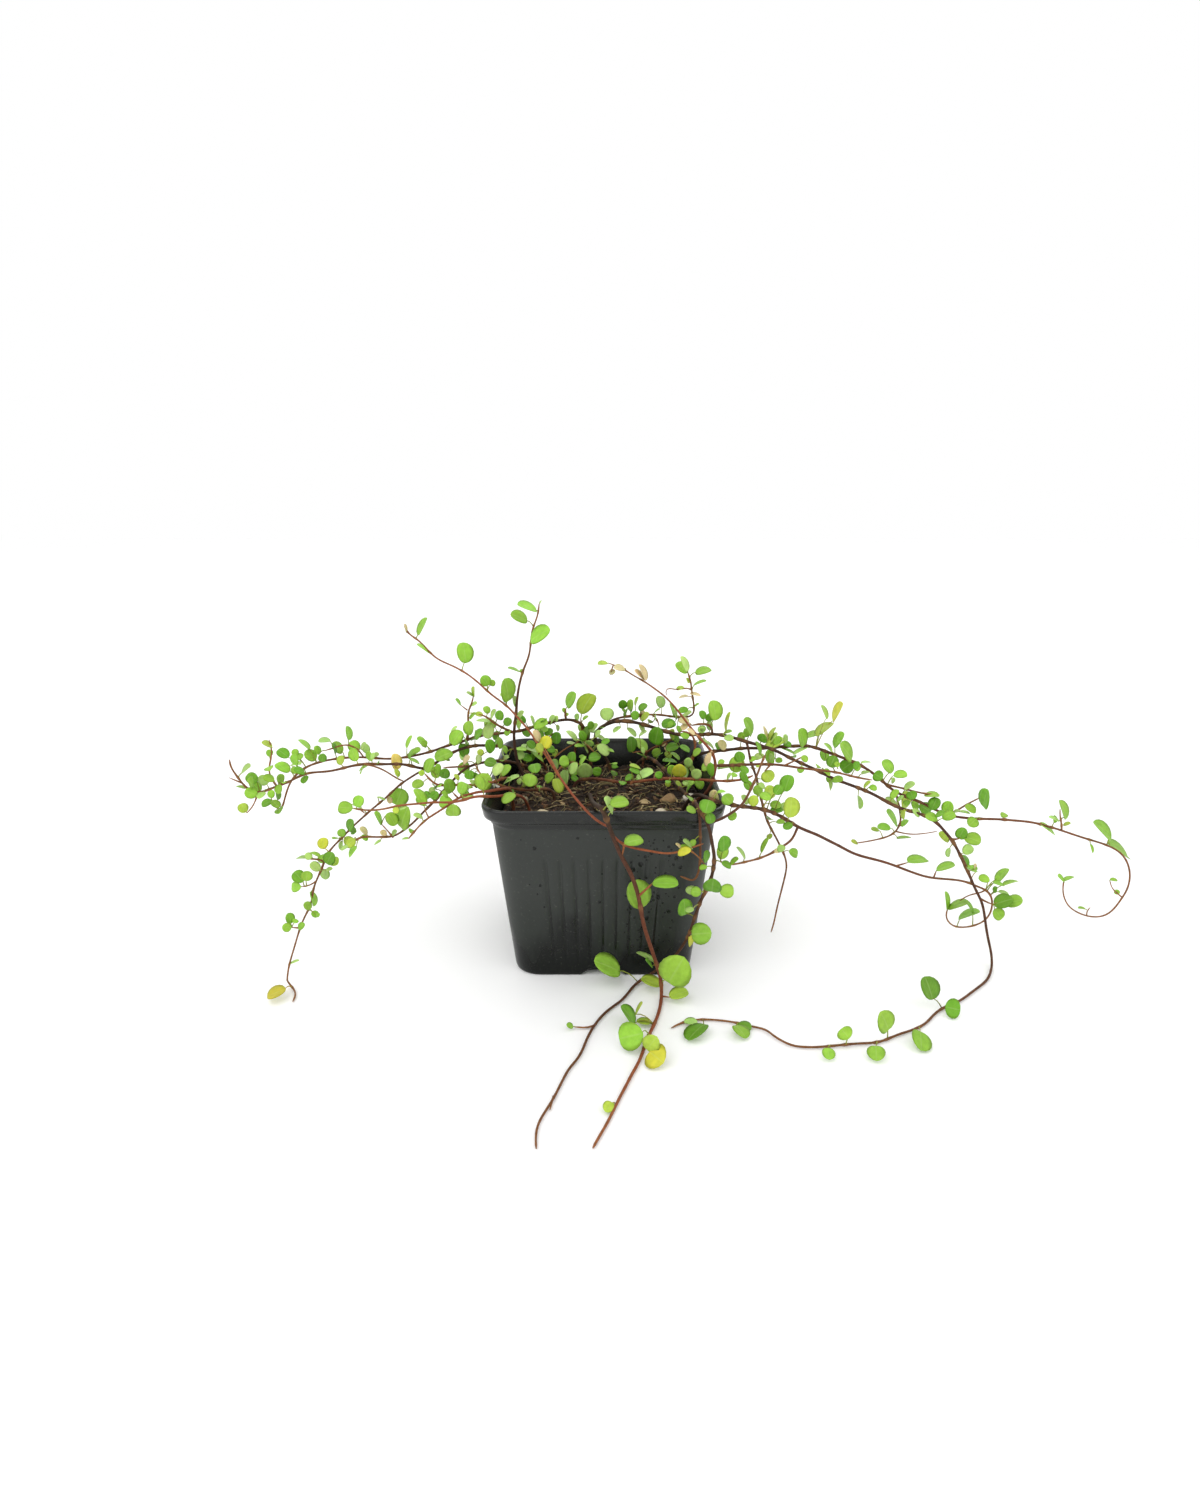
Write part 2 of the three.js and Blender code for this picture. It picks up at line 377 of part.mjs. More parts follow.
      [188, 13.4, 196.6, 16.4, 6, "deep"],
      [193.6, 14, 201.6, 15.8, 5.2], [188.4, 11, 193, 5.6, 5], [165, -40, 159.4, -26.4, 7, "deep"],
      [172, -44, 180, -46, 7.6, "deep"], [145, -58, 139.6, -47, 7], [161.2, -58.6, 163, -70.4, 6.8],
      [139.6, -67.4, 141, -76.8, 6.4], [125.6, -63, 121, -57, 6], [115, -68.6, 116.6, -76, 4.6],
      [51.8, -54.4, 43.6, -64.2, 5.6, "deep"], [41, -52.8, 48, -53.6, 2.6, "pale"],
      [67, -55, 73, -63, 4.6],
      [68, -54.8, 75.4, -57.6, 4, "deep"],
    ],
  },
  far_curl: {
    root: [30, 22],
    girth: [1.05, 0.45],
    stems: [
      [[32, 82, 22], [38, 87, 22], [44, 90, 21], [50, 91, 20], [57, 91.8, 19], [65, 92.6, 17],
      [72, 92.4, 15],
        [80, 93.2, 13], [86, 93.4, 12], [92, 93.8, 10], [98, 92, 8], [104, 89.6, 6], [110, 87.4, 4],
        [115, 85.4, 2],
        [120, 82.6, 0], [125, 79, -2], [129, 75.6, -3], [133, 72, -4], [138, 69.6, -5], [143, 67.8, -6],
        [150, 64.6, -8], [155, 61.8, -9], [160, 59.8, -10], [167, 58.6, -11], [175, 58, -12],
        [183, 57.9, -12],
        [191, 57.2, -12], [199, 56.4, -11], [206, 54.6, -10], [212, 52.8, -9], [220, 50, -8],
        [228, 47.4, -7],
        [234, 45.6, -6], [240, 43, -5], [244.5, 40, -4], [248, 35.4, -3], [250.2, 30, -2],
        [250.8, 25, -1],
        [250.2, 20, 0], [248.4, 16, 1], [246.4, 11.4, 2], [243.4, 7.6, 3], [239.4, 6.6, 4],
        [233.5, 7.2, 6],
        [227.4, 10, 8], [223.8, 12.5, 9], [221.4, 16.4, 10], [219.6, 21, 11], [219.4, 26.2, 11]],
      [[129, 75.6, -3], [135, 73.8, -5], [141, 72.2, -7], [147, 70.6, -8], [154.6, 70, -8]],
      [[134, 71.4, -4], [135.8, 66.4, -2], [137.4, 62, 0], [138.4, 57.6, 1], [138, 53.8, 2],
      [136.4, 51, 2], [134, 49.2, 3],
        [129, 47.8, 4], [124, 46.6, 5], [119, 45.8, 6]],
      [[137, 51.6, 2], [143, 50.2, 4], [150, 50.6, 6], [156, 51.8, 8]],
      [[160, 59.8, -10], [163, 61.6, -9], [167, 64.8, -8], [173.4, 68.6, -7]],
      [[212, 52.8, -9], [213.4, 55.4, -10], [211.6, 59.6, -11], [211.2, 63, -12]],
      [[248.4, 16, 1], [247.4, 18.6, 0], [244.6, 20.6, -1], [242, 23.4, -2], [241.2, 26.4, -2]],
      [[233.5, 7.2, 6], [232.6, 11, 5], [234.6, 12, 5]],
    ],
    leaves: [
      [52.4, 91.6, 50.8, 95.2, 2.6, "deep"], [54.8, 91.6, 52, 96.2, 3.6, "dry"],
      [50, 92, 46, 95.4, 1.4, "pale"],
      [74, 93, 71.6, 103, 1.6, "dry"], [74.4, 95, 77.4, 102.4, 2, "sallow"],
      [75, 94.6, 78.4, 99.4, 2, "pale"],
      [74, 92.4, 81.4, 97, 5, "sallow"], [76.6, 92, 76, 84.4, 4.6], [78, 86.6, 81.4, 86.6, 2.6],
      [82.4, 94.6, 81, 98.8, 2.4, "pale"], [85, 93.4, 81, 94.8, 2.6, "deep"], [80.6, 92.4, 87, 89.4, 1.2],
      [92.4, 93, 86, 89.4, 1.8, "pale"], [90.4, 93.4, 87.6, 101.4, 4.6], [91.6, 97.4, 97.8, 100, 3],
      [95.8, 98, 102.6, 104.4, 4, "sallow"], [102.6, 105, 106.4, 113.4, 3.4, "yellow"],
      [99.8, 106, 96.6, 112.6, 2, "pale"],
      [104, 93, 108.2, 99.6, 4], [103.4, 90.6, 99.4, 94.8, 1.6, "pale"], [101, 86.4, 98.6, 91.6, 4],
      [112.6, 86.8, 106.6, 94.6, 5], [113.4, 86, 108.4, 82, 6.4, "deep"], [113.8, 85.2, 116.4, 81.6, 3],
      [117, 85.4, 121.4, 85.8, 1, "pale"], [127.6, 77.8, 123.4, 80.4, 5, "deep"],
      [131.6, 80.6, 126.6, 86.6, 4.4],
      [132.4, 79.4, 138.8, 79.6, 3.6], [132, 78.4, 132.6, 75.6, 1.8, "pale"],
      [138, 72.8, 142.8, 75.6, 2.8, "pale"],
      [137.6, 71.6, 139.6, 63, 4.6, "sallow"], [142.8, 67.6, 141, 71.8, 4.6, "deep"],
      [142, 66.4, 145.6, 62.6, 3.4],
      [147.6, 69.4, 154.8, 69.4, 2.6], [152, 62.4, 153.8, 68.6, 5, "deep"],
      [145.8, 65, 151.6, 61.4, 5.6, "deep"],
      [158.8, 60.6, 160, 66.8, 5], [167, 64.4, 172.6, 61.4, 3.4], [176, 63.6, 176.6, 72.6, 4.8, "deep"],
      [173.2, 58, 170.2, 54.4, 5], [164.4, 61.6, 170, 60.6, 1.2, "pale"], [136.8, 54.4, 131, 62, 2.6],
      [139, 54, 141.6, 57.6, 2.4], [134, 53, 127.6, 54, 3.4], [128.6, 52.4, 125, 52.6, 2.2, "sallow"],
      [137.4, 48, 144, 48.6, 1.4], [119.4, 45.6, 116.2, 46.6, 2, "sallow"], [203, 55.6, 211, 50, 1.8],
      [214.6, 57.6, 210, 67.4, 3], [212, 56.6, 206.6, 59, 1.4, "pale"],
      [214.2, 54.6, 217.4, 56, 1.6, "sallow"],
      [237.6, 47, 227.6, 56.6, 4], [236.6, 45.4, 247.4, 38.8, 3.8], [241.2, 26.6, 245, 26.2, 1.6],
      [246, 18.8, 245.6, 21.6, 2.4], [219.6, 26, 216, 28.8, 2], [219.6, 26, 223.6, 28.4, 2],
      [232.6, 11, 228.6, 11.6, 1.2],
    ],
  },
  mid_runner: {
    root: [38, 10],
    girth: [0.95, 0.5],
    stems: [
      [[43, 80, 8], [49, 84, 6], [57, 84.2, 3], [64, 84.6, 0], [70, 84.8, -2], [77, 84.8, -4],
      [84, 84, -6],
        [91, 82.8, -8], [98, 82, -10], [104, 81.4, -11], [110, 80, -12], [116, 78.4, -13],
        [123, 77.2, -14]],
      [[84, 84, -6], [88, 87, -6], [90.6, 88.6, -6]],
      [[77, 84.8, -4], [73.6, 81.6, -6]],
      [[104, 81.4, -11], [107, 82.6, -11], [108.4, 81, -11]],
    ],
    leaves: [
      [59.4, 81, 62, 88.4, 6.6], [62.4, 86, 61, 91, 4.6, "deep"], [73.4, 81.4, 77, 76.6, 6, "sallow"],
      [52.4, 84.6, 54.8, 86.8, 2.4], [52, 82.4, 57.4, 83.4, 1.4, "pale"], [89.6, 88.4, 92.8, 86.4, 2.8],
      [103, 83.4, 105, 88.8, 5.2, "deep"], [100.4, 82, 103.6, 79.8, 2.4], [105, 85.6, 107.4, 84, 2.4],
      [72, 84.6, 69.6, 83.4, 1.6, "sallow"],
    ],
  },
  low_runner: {
    root: [34, -24],
    girth: [1.1, 0.45],
    stems: [
      [[38.6, 66, -27], [42, 70, -33], [46, 69.4, -39], [50, 67.4, -44], [55, 66.3, -45],
      [59, 65, -43], [66, 64, -41],
        [71.3, 63.4, -39], [76.8, 62, -37], [81.1, 60, -35.4], [85.4, 57.5, -34], [89.6, 54.6, -33],
        [95, 52, -32],
        [100.2, 50, -31], [105.6, 47, -30], [110.8, 44.4, -29], [115.5, 41.6, -28],
        [119.9, 39.6, -27], [126, 37.9, -26],
        [133, 36, -25], [140.3, 33.2, -24], [147.8, 30.2, -23], [155, 27.9, -22], [164.2, 27, -21],
        [170.6, 26.3, -20.4],
        [175.8, 24.6, -20], [178.9, 22.9, -20], [183.1, 21.6, -20], [185.6, 19.2, -20],
        [186.9, 16.4, -20],
        [187.4, 12.6, -20], [187, 8.4, -19], [185.4, 5, -18], [182.3, 2.8, -17], [178.2, 1.4, -16],
        [174.1, 0.9, -15],
        [169.7, 1.4, -14], [167.2, 3.7, -13], [165.2, 6.5, -12], [166, 11, -12]],
      [[183.1, 21.6, -20], [182, 19.8, -18], [178.6, 19.6, -16], [174.6, 18.6, -15], [171.4, 15.6, -14]],
      [[90.2, 54.4, -33], [89.8, 51.4, -35], [89, 47.8, -37], [86.6, 45.6, -39], [84, 44, -41],
      [81.4, 41.8, -43],
        [77, 39.2, -45], [71.8, 37.2, -47], [66, 35.8, -49], [61.4, 34.4, -50], [58, 34.6, -51],
        [55.4, 36.4, -51.4]],
      [[140.3, 33.2, -24], [143.6, 35.6, -25]],
      [[155, 27.9, -22], [158, 31.4, -22]],
    ],
    leaves: [
      [59.2, 65.6, 55.4, 70, 4.8], [58.4, 60.8, 61.6, 58, 3.8], [51.6, 72.4, 51.6, 66, 3.8, "dry"],
      [52.6, 71, 56.2, 71.6, 1.3], [68.6, 64.6, 70, 69.8, 4, "sallow"],
      [66.6, 65.2, 63.6, 69.8, 2.4, "pale"],
      [86.4, 58.6, 86.4, 69, 6.4, "sallow"], [85, 61.6, 82.4, 66, 3, "pale"],
      [88, 55.4, 84, 53.2, 3.2, "deep"],
      [72, 69.6, 69.8, 74.6, 3.6], [72, 70.4, 77, 67.6, 3.4], [76.6, 67.8, 76, 74.8, 4.6, "sallow"],
      [79, 70.2, 81.6, 74.6, 4, "deep"], [83.4, 71.6, 85.6, 79.6, 5.4, "deep"],
      [56, 37.4, 55.6, 45.2, 4.6], [56.6, 41.6, 56.2, 49.6, 5, "deep"], [60, 34.6, 64, 37.8, 2],
      [67, 37.4, 62.6, 43.8, 1.4, "pale"], [74.6, 40.8, 77.6, 48.6, 1.8],
      [84.6, 41.6, 82.4, 44.8, 3.4, "pale"],
      [80.6, 41, 83.4, 42.2, 2, "dry"], [144, 35.8, 153, 37.2, 4], [158, 31.6, 166.6, 34.4, 3.4],
      [187.8, 25, 192, 32.6, 3.6], [186, 25, 191, 24, 2.2], [191, 23.8, 197.6, 26, 1.8],
      [187, 20, 188, 23, 2, "deep"],
      [189, 20.4, 194.6, 18.4, 1.6, "pale"], [184, 26.8, 178.6, 27.2, 3.6], [187, 26.4, 188.4, 28.6, 1.8],
      [176.6, 30, 175.4, 35, 1.2, "dry"], [165.8, 10.6, 163.6, 20.6, 2], [166.4, 10.8, 176, 14.6, 3.4],
      [172, 5.4, 182, 9.6, 3.2], [178.6, 9, 173.6, 15.8, 1.6],
    ],
  },
  cross_runner: {
    root: [14, 28],
    girth: [1.1, 0.55],
    stems: [
      [[16, 86, 27], [20, 88.4, 23], [25, 85, 15], [30, 79.6, 4], [33, 75.6, -8], [36, 72.4, -20],
      [39, 69.6, -32],
        [42, 66.6, -43], [43.8, 64.4, -50], [45.8, 61.4, -54.6], [47.6, 57.8, -57], [50, 52, -57.6],
        [51.1, 45.4, -57.6],
        [52.4, 40.4, -57.6], [52.7, 36.6, -57.4], [52.2, 31.4, -57.2], [51.4, 26.8, -57],
        [49.8, 22, -56.6],
        [47.6, 17.6, -56], [45.5, 10.6, -55], [43.8, 4.2, -54], [42.4, -2, -53], [40.4, -6.6, -52],
        [38, -11, -51],
        [35, -15.5, -50], [31, -19.6, -48.6], [26.8, -22.6, -47], [22.4, -26, -45.4], [17.6, -29.4],
        [14.4, -33.2],
        [12, -37], [8.6, -41.2], [4.4, -44.4], [0.2, -48.6], [-3.4, -53.6], [-6.2, -58.8],
        [-8.4, -63.9], [-10, -69],
        [-13.3, -76], [-17.4, -81.2], [-20.6, -88.2], [-24, -96.2], [-27.4, -103.4], [-31, -109.9],
        [-33.8, -115.4],
        [-35.3, -121], [-35.8, -127.4], [-35.6, -133]],
      [[48, 56.4, -57.2], [52, 56.4, -57], [56, 58.6, -55], [60, 61.4, -52], [63, 63.6, -50],
      [65.4, 67, -47], [67.4, 72, -43],
        [69.4, 77, -38], [70.8, 81.6, -33], [72.4, 87, -27], [73.4, 89.4, -24]],
      [[43.6, 64.6, -49.4], [44.6, 61.6, -52.4], [45, 58, -52.6], [45.4, 50, -52.2], [45.7, 43, -52],
      [46, 36.4, -52],
        [45.6, 31, -52], [44.4, 27, -52], [43, 24.8, -52], [40.6, 27, -52.4], [36.8, 28.6, -52.8]],
      [[-4, -54.6], [-6.6, -57], [-10, -56.4, -77], [-14, -56, -77]],
      [[-27.4, -103.4], [-27.8, -107.6]],
    ],
    leaves: [
      [47.4, 60.8, 48.8, 67.4, 6.2, "deep"], [49, 61, 50.2, 55.6, 3.8, "deep"],
      [48.8, 36, 48, 41.8, 2.8, "deep"],
      [52, 20.4, 52.6, 27.4, 7, "deep"], [55.6, 20.8, 62.6, 20.8, 5.4], [47, 20, 42, 20.8, 4],
      [48.8, 24.4, 49.4, 20, 2.8, "sallow"], [39.4, 7.8, 38.6, 16.6, 5.8, "deep"],
      [43.2, -2.6, 53, -2, 8.4],
      [42, -3.6, 43, -9, 2.6, "yellow"], [8.6, -23.6, -4.4, -17.6, 8.4],
      [19, -27.4, 28.6, -32, 4.6, "sallow"],
      [-15, -56, -18.4, -54.6, 2.2],
    ],
  },
  withered_shoot: {
    root: [40.4, -14],
    girth: [0.95, 0.35],
    stems: [
      [[47, 70, -15], [49.6, 75, -16], [50.8, 80, -16], [51.2, 85, -15], [50, 89.6, -14],
      [47.4, 93, -12], [44, 96.6, -10],
        [40, 101, -8], [36, 106.4, -6], [32, 111.4, -4], [28, 116, -2], [23, 119.8, 0],
        [18, 123.4, 2], [12, 126.6, 4],
        [9, 129, 5], [5, 130.6, 6], [2.6, 131.4, 6]],
      [[4.6, 130.6, 6], [3.4, 129.4, 6], [3.4, 127.6, 6]],
    ],
    leaves: [
      [9.6, 128.6, 4.6, 129.4, 2.8, "dry"], [5.4, 128, 2.6, 127, 2.4, "dry"],
      [2, 131.4, -2.4, 131, 2, "sallow"],
      [18.6, 123.6, 15.6, 131, 2.6, "dry"], [18, 124, 13.6, 128.2, 2, "dry"],
      [48.6, 90.4, 47.4, 83.4, 2.8, "dry"],
      [49.8, 84.6, 44.8, 82.4, 3.6], [41, 98.6, 37.6, 101.6, 2, "dry"],
    ],
  },
  red_bar: {
    root: [-14, 10],
    girth: [1.0, 0.6],
    stems: [
      [[-11, 77.4, 9], [-6, 78, 6], [0, 77.4, 2], [5, 76.6, -2], [10, 75.8, -5], [15, 76.4, -8],
      [20, 77, -11],
        [26, 77.8, -14], [32, 77.9, -17], [38, 77.8, -20], [44, 77.4, -23], [50, 77, -25],
        [56, 76.6, -26],
        [62, 77.2, -27], [66.4, 77.8, -28], [68.4, 79.4, -28]],
      [[15, 76.4, -8], [12.4, 75, -9]],
    ],
    leaves: [
      [-8.2, 78.4, -8.4, 85.4, 7, "pale"], [-5, 82, -1, 80.6, 4.4, "deep"],
      [15, 77.6, 23, 81, 3.8, "pale"],
      [16.6, 80.2, 12, 82.6, 2.6, "deep"], [12, 84.2, 17, 82.6, 1.6, "sallow"],
      [14, 79, 10, 77.4, 2.6, "deep"],
      [34.6, 78.8, 34.8, 85, 6, "yellow"], [30, 84.2, 32.4, 80.6, 4.4],
      [41, 78.6, 44.4, 81.8, 4.4, "pale"],
      [41.8, 76.6, 46, 73.8, 4], [33, 76.2, 36, 73.6, 1.8, "sallow"], [37, 77, 38.4, 74.8, 2.6, "pale"],
      [56.6, 77.4, 58.6, 80.4, 1.4, "pale"], [64.6, 76.8, 67.6, 72.4, 3.4, "deep"],
      [27, 79, 23.6, 80.2, 3.2, "deep"],
      [30.4, 76.4, 29, 74.2, 2.4, "sallow"],
    ],
  },
  soil_runner: {
    root: [-22, -6],
    girth: [0.95, 0.6],
    stems: [
      [[-23, 72.6, -7], [-26, 73.2, -8], [-30, 72.6, -10], [-36, 72, -12], [-39.8, 73, -14],
      [-43, 73.4, -16],
        [-46.6, 74, -17], [-49, 75.4, -17]],
      [[-30, 72.6, -10], [-31.4, 76, -9], [-32.4, 80, -8]],
    ],
    leaves: [
      [-32.6, 80, -34.4, 74, 6.6], [-30.6, 80.4, -31.4, 85, 5.6, "deep"],
      [-37.6, 78, -38.6, 75, 2.2, "pale"],
      [-45.6, 75.2, -38.2, 79, 1.8, "pale"], [-49.4, 75, -51, 73, 1.8, "petal"],
      [-49.2, 75.4, -47.6, 73.6, 1.8, "petal"],
      [-49, 76, -50.6, 77.2, 1.4, "petal"], [-46.6, 79, -42, 84.2, 3.6],
    ],
  },
  spray_left: {
    root: [-28, 34],
    girth: [0.75, 0.5],
    stems: [
      [[-28, 86, 33], [-30, 89, 30], [-33, 91, 27], [-36.6, 92.6, 24], [-41, 92, 21]],
      [[-30, 89, 30], [-27.6, 93, 30], [-25, 97, 30], [-22.6, 99.6, 30]],
    ],
    leaves: [
      [-37, 93.4, -30, 90.6, 2.4, "pale"], [-40, 92, -34.6, 91.4, 1.8],
      [-34, 95.8, -31, 92.4, 3.6, "deep"],
      [-37.6, 89, -32.4, 86.6, 3.8, "deep"], [-33, 91, -27, 86, 2], [-43.4, 90, -45.6, 93.4, 2.4],
      [-21, 94.4, -20.6, 100.2, 4.8, "deep"], [-22, 88.4, -21, 92, 2.6, "sallow"],
      [-26, 98.4, -22.6, 101.4, 3.4, "deep"],
      [-42.4, 88.4, -46, 86.6, 2.2, "pale"],
    ],
  },
  spray_mid: {
    root: [-18, 22],
    girth: [0.7, 0.5],
    stems: [
      [[-17.4, 82, 20], [-17, 85, 17], [-14, 86.4, 15], [-11, 84.8, 13]],
      [[-17.4, 82, 20], [-20.6, 82, 12], [-21.6, 79.4, 4]],
    ],
    leaves: [
      [-22.4, 80, -26.4, 76.4, 4], [-22, 78, -20, 70.8, 5, "sallow"],
      [-17, 82.4, -17.4, 74.6, 4.6, "pale"],
      [-15.6, 86.6, -20, 85.6, 5.4], [-14, 84.6, -13.6, 90.8, 4.2, "deep"],
      [-12, 85.6, -14.6, 80, 4, "pale"],
      [-10.4, 84, -7.6, 88.6, 1.8], [-14.6, 79, -11.6, 76.6, 2.6, "deep"],
    ],
  },
  spray_back: {
    root: [-14, 38],
    girth: [0.75, 0.5],
    stems: [
      [[-13, 92, 38], [-12, 94.6, 37], [-10, 97, 35], [-9, 100, 34], [-9.6, 103, 33], [-10, 106, 32]],
      [[-12, 94.6, 37], [-16, 93, 34], [-20, 90, 31], [-22.6, 87.4, 29]],
      [[-10, 97, 35], [-6.6, 93.6, 31], [-4, 90.6, 28]],
    ],
    leaves: [
      [-9.8, 108.4, -4.4, 117.6, 7.8, "olive"], [-6.4, 102, -8.6, 95.6, 5.4, "deep"],
      [-5.4, 101.4, -6, 105.2, 3.4],
      [-1, 88.4, -6.6, 87.8, 4.4, "deep"], [-2.4, 94, 2.2, 89, 4.6, "pale"],
      [-0.8, 94.6, 3, 96.2, 2.8, "deep"],
      [-2.8, 98.2, 1.6, 95.2, 1.8, "pale"], [-3, 97.4, -1.4, 101, 2.4, "pale"], [1.6, 91.6, 5, 90.8, 1.4],
      [-12, 95.6, -16.6, 100.6, 2.6, "pale"], [-11.6, 94, -16.4, 95, 1.4, "pale"],
      [-9.6, 95.4, -7, 90, 1.4, "pale"],
      [-9.8, 100, -11, 103.6, 2.4, "pale"],
    ],
  },
  spray_right: {
    root: [20, 38],
    girth: [0.8, 0.5],
    stems: [
      [[19, 90, 37], [21, 91.6, 35], [24, 93.4, 32], [28, 95.4, 30], [32, 97, 28]],
      [[21, 91.6, 35], [17, 91, 34], [13.4, 90.4, 33]],
      [[28, 95.4, 30], [29, 92, 28], [30, 89.6, 26]],
    ],
    leaves: [
      [12.4, 90.4, 12.2, 98.2, 5, "deep"], [19.4, 91, 13.6, 96.8, 4.6], [26, 91.6, 22.4, 89, 4],
      [34, 93.6, 28.4, 91.6, 4, "deep"], [34.4, 93.6, 39, 90.6, 2.6, "deep"],
      [28, 90.8, 30.6, 87.8, 3, "sallow"],
      [30.6, 90.4, 34.6, 86.8, 1.8], [27, 86.4, 33.6, 85.6, 2, "deep"],
      [26.4, 93.4, 28.6, 95.2, 2, "dry"],
      [27.6, 92.8, 29.4, 91.2, 2, "dry"], [16, 98, 19.6, 100.4, 1.6, "pale"],
    ],
  },
  brown_shoot: {
    root: [36, 15],
    girth: [0.85, 0.5],
    stems: [
      [[38.6, 82, 14.6], [40.6, 88, 14], [41.8, 93, 13.6], [41.4, 96.6, 13], [39.4, 99.6, 12],
      [37, 101, 11.4], [34.6, 100.4, 11]],
    ],
    leaves: [
      [38.6, 83.4, 39, 88, 4, "pale"], [38.8, 84, 41.8, 79.6, 2.4, "pale"], [40.8, 89, 44.2, 91.8, 3],
      [43, 96.4, 47.4, 95.2, 1.4, "pale"],
    ],
  },
};

// Closed solid from rings of points, each ring the same count and counter-clockwise seen from above.
function loft(rings) {
  const count = rings[0].length;
  const spots = rings.flat();
  const faces = [];
  for (let level = 0; level + 1 < rings.length; level += 1) {
    for (let i = 0; i < count; i += 1) {
      const a = level * count + i;
      const b = level * count + ((i + 1) % count);
      faces.push([a, b, b + count], [a, b + count, a + count]);
    }
  }
  const last = (rings.length - 1) * count;
  for (let i = 1; i + 1 < count; i += 1) {
    faces.push([0, i + 1, i], [last, last + i, last + i + 1]);
  }
  return solid(spots, faces);
}

function solid(spots, faces) {
  const vertProperties = new Float32Array(spots.flatMap((spot) => [spot.x, spot.y, spot.z]));
  const triVerts = new Uint32Array(faces.flat());
  return new Manifold(new Mesh({ numProp: 3, vertProperties, triVerts }));
}

// Rounded square of a given half width at one height.
function squareRing(half, radius, height, steps = 3) {
  const ring = [];
  for (let corner = 0; corner < 4; corner += 1) {
    for (let step = 0; step <= steps; step += 1) {
      const angle = (corner + step / steps) * (Math.PI / 2);
      const cx = (half - radius) * (corner === 0 || corner === 3 ? 1 : -1);
      const cy = (half - radius) * (corner < 2 ? 1 : -1);
      ring.push(new THREE.Vector3(cx + radius * Math.cos(angle), cy + radius * Math.sin(angle), height));
    }
  }
  return ring;
}

function ballRing(x, y, radius, height, sides) {
  const ring = [];
  for (let i = 0; i < sides; i += 1) {
    const angle = (i / sides) * Math.PI * 2;
    ring.push(new THREE.Vector3(x + radius * Math.cos(angle), y + radius * Math.sin(angle), height));
  }
  return ring;
}

function wallHalf(height) {
  return BASE_HALF + 7.3 * (height / 72);
}

// Pot: tapering square cup with a rolled rim, nine flutes a side, an arch in each bottom edge.
function archCutter(side, grow) {
  const reach = BASE_HALF - 4 - grow;
  const ring = (y) => {
    const points = [];
    for (let i = 0; i <= 5; i += 1) {
      const turn = (i / 5) * Math.PI;
      points.push(new THREE.Vector3((9.5 + grow) * Math.cos(turn), y, (3.4 + grow) * Math.sin(turn) - 0.01));
    }
    points.push(new THREE.Vector3(-9.5 - grow, y, -3), new THREE.Vector3(9.5 + grow, y, -3));
    return points;
  };
  return loft([ring(-reach), ring(-BASE_HALF - 8)]).rotate([0, 0, 90 * side]);
}

function makePot() {
  const outside = [
    [0, 38.4], [0.8, 39.1], [72, 46.3], [74.2, 47],
    [76, 48.8], [78.4, 49.7], [81, RIM_HALF], [POT_HEIGHT, 49.4],
  ];
  const inside = [[FLOOR, 37.2], [3, 38], [72, 45.1], [79, 46.6], [POT_HEIGHT + 1, 48.6]];
  let pot = loft(outside.map(([height, half]) => squareRing(half, CORNER, height)));
  let hollow = loft(inside.map(([height, half]) => squareRing(half, CORNER - 1.2, height)));
  for (let side = 0; side < 4; side += 1) {
    hollow = hollow.subtract(archCutter(side, 1.3));
  }
  pot = pot.subtract(hollow);
  for (let side = 0; side < 4; side += 1) {
    pot = pot.subtract(archCutter(side, 0));
    const hole = loft([ballRing(24, 24, 3.6, -1, 10), ballRing(24, 24, 3.6, FLOOR + 1, 10)]);
    pot = pot.subtract(hole.rotate([0, 0, 90 * side]));
    for (let flute = -4; flute <= 4; flute += 1) {
      pot = pot.subtract(fluteCutter(flute).rotate([0, 0, 90 * side]));
    }
  }
  return pot;
}

// A flute is a shallow V groove, rounded at its top, that narrows with the wall.
function fluteCutter(place) {
  const ring = (height, reach, deep) => {
    const x = place * 6.1 * (wallHalf(height) / wallHalf(60));
    const y = -wallHalf(height);
    return [
      new THREE.Vector3(x - reach, y - 0.6, height),
      new THREE.Vector3(x + reach, y - 0.6, height),
      new THREE.Vector3(x, y + deep, height),
    ];
  };
  return loft([ring(5, 1.6, -0.25), ring(54, 2.3, 0.65), ring(58.5, 1, -0.3)]);
}

// Soil: a block that fills the pot to a hand's finger below the rim, with an uneven top.
function soilHeight(x, y) {
  const swell = 0.8 * Math.sin(x * 0.11 + 1.3) * Math.cos(y * 0.13 - 0.4);
  const rolls = swell + 0.5 * Math.sin(x * 0.31 + y * 0.23);
  const edge = Math.max(Math.abs(x), Math.abs(y)) / 45;
  return SOIL_TOP + rolls + 1.6 * Math.max(0, -y / 45) * edge - 0.8 * edge * edge;
}

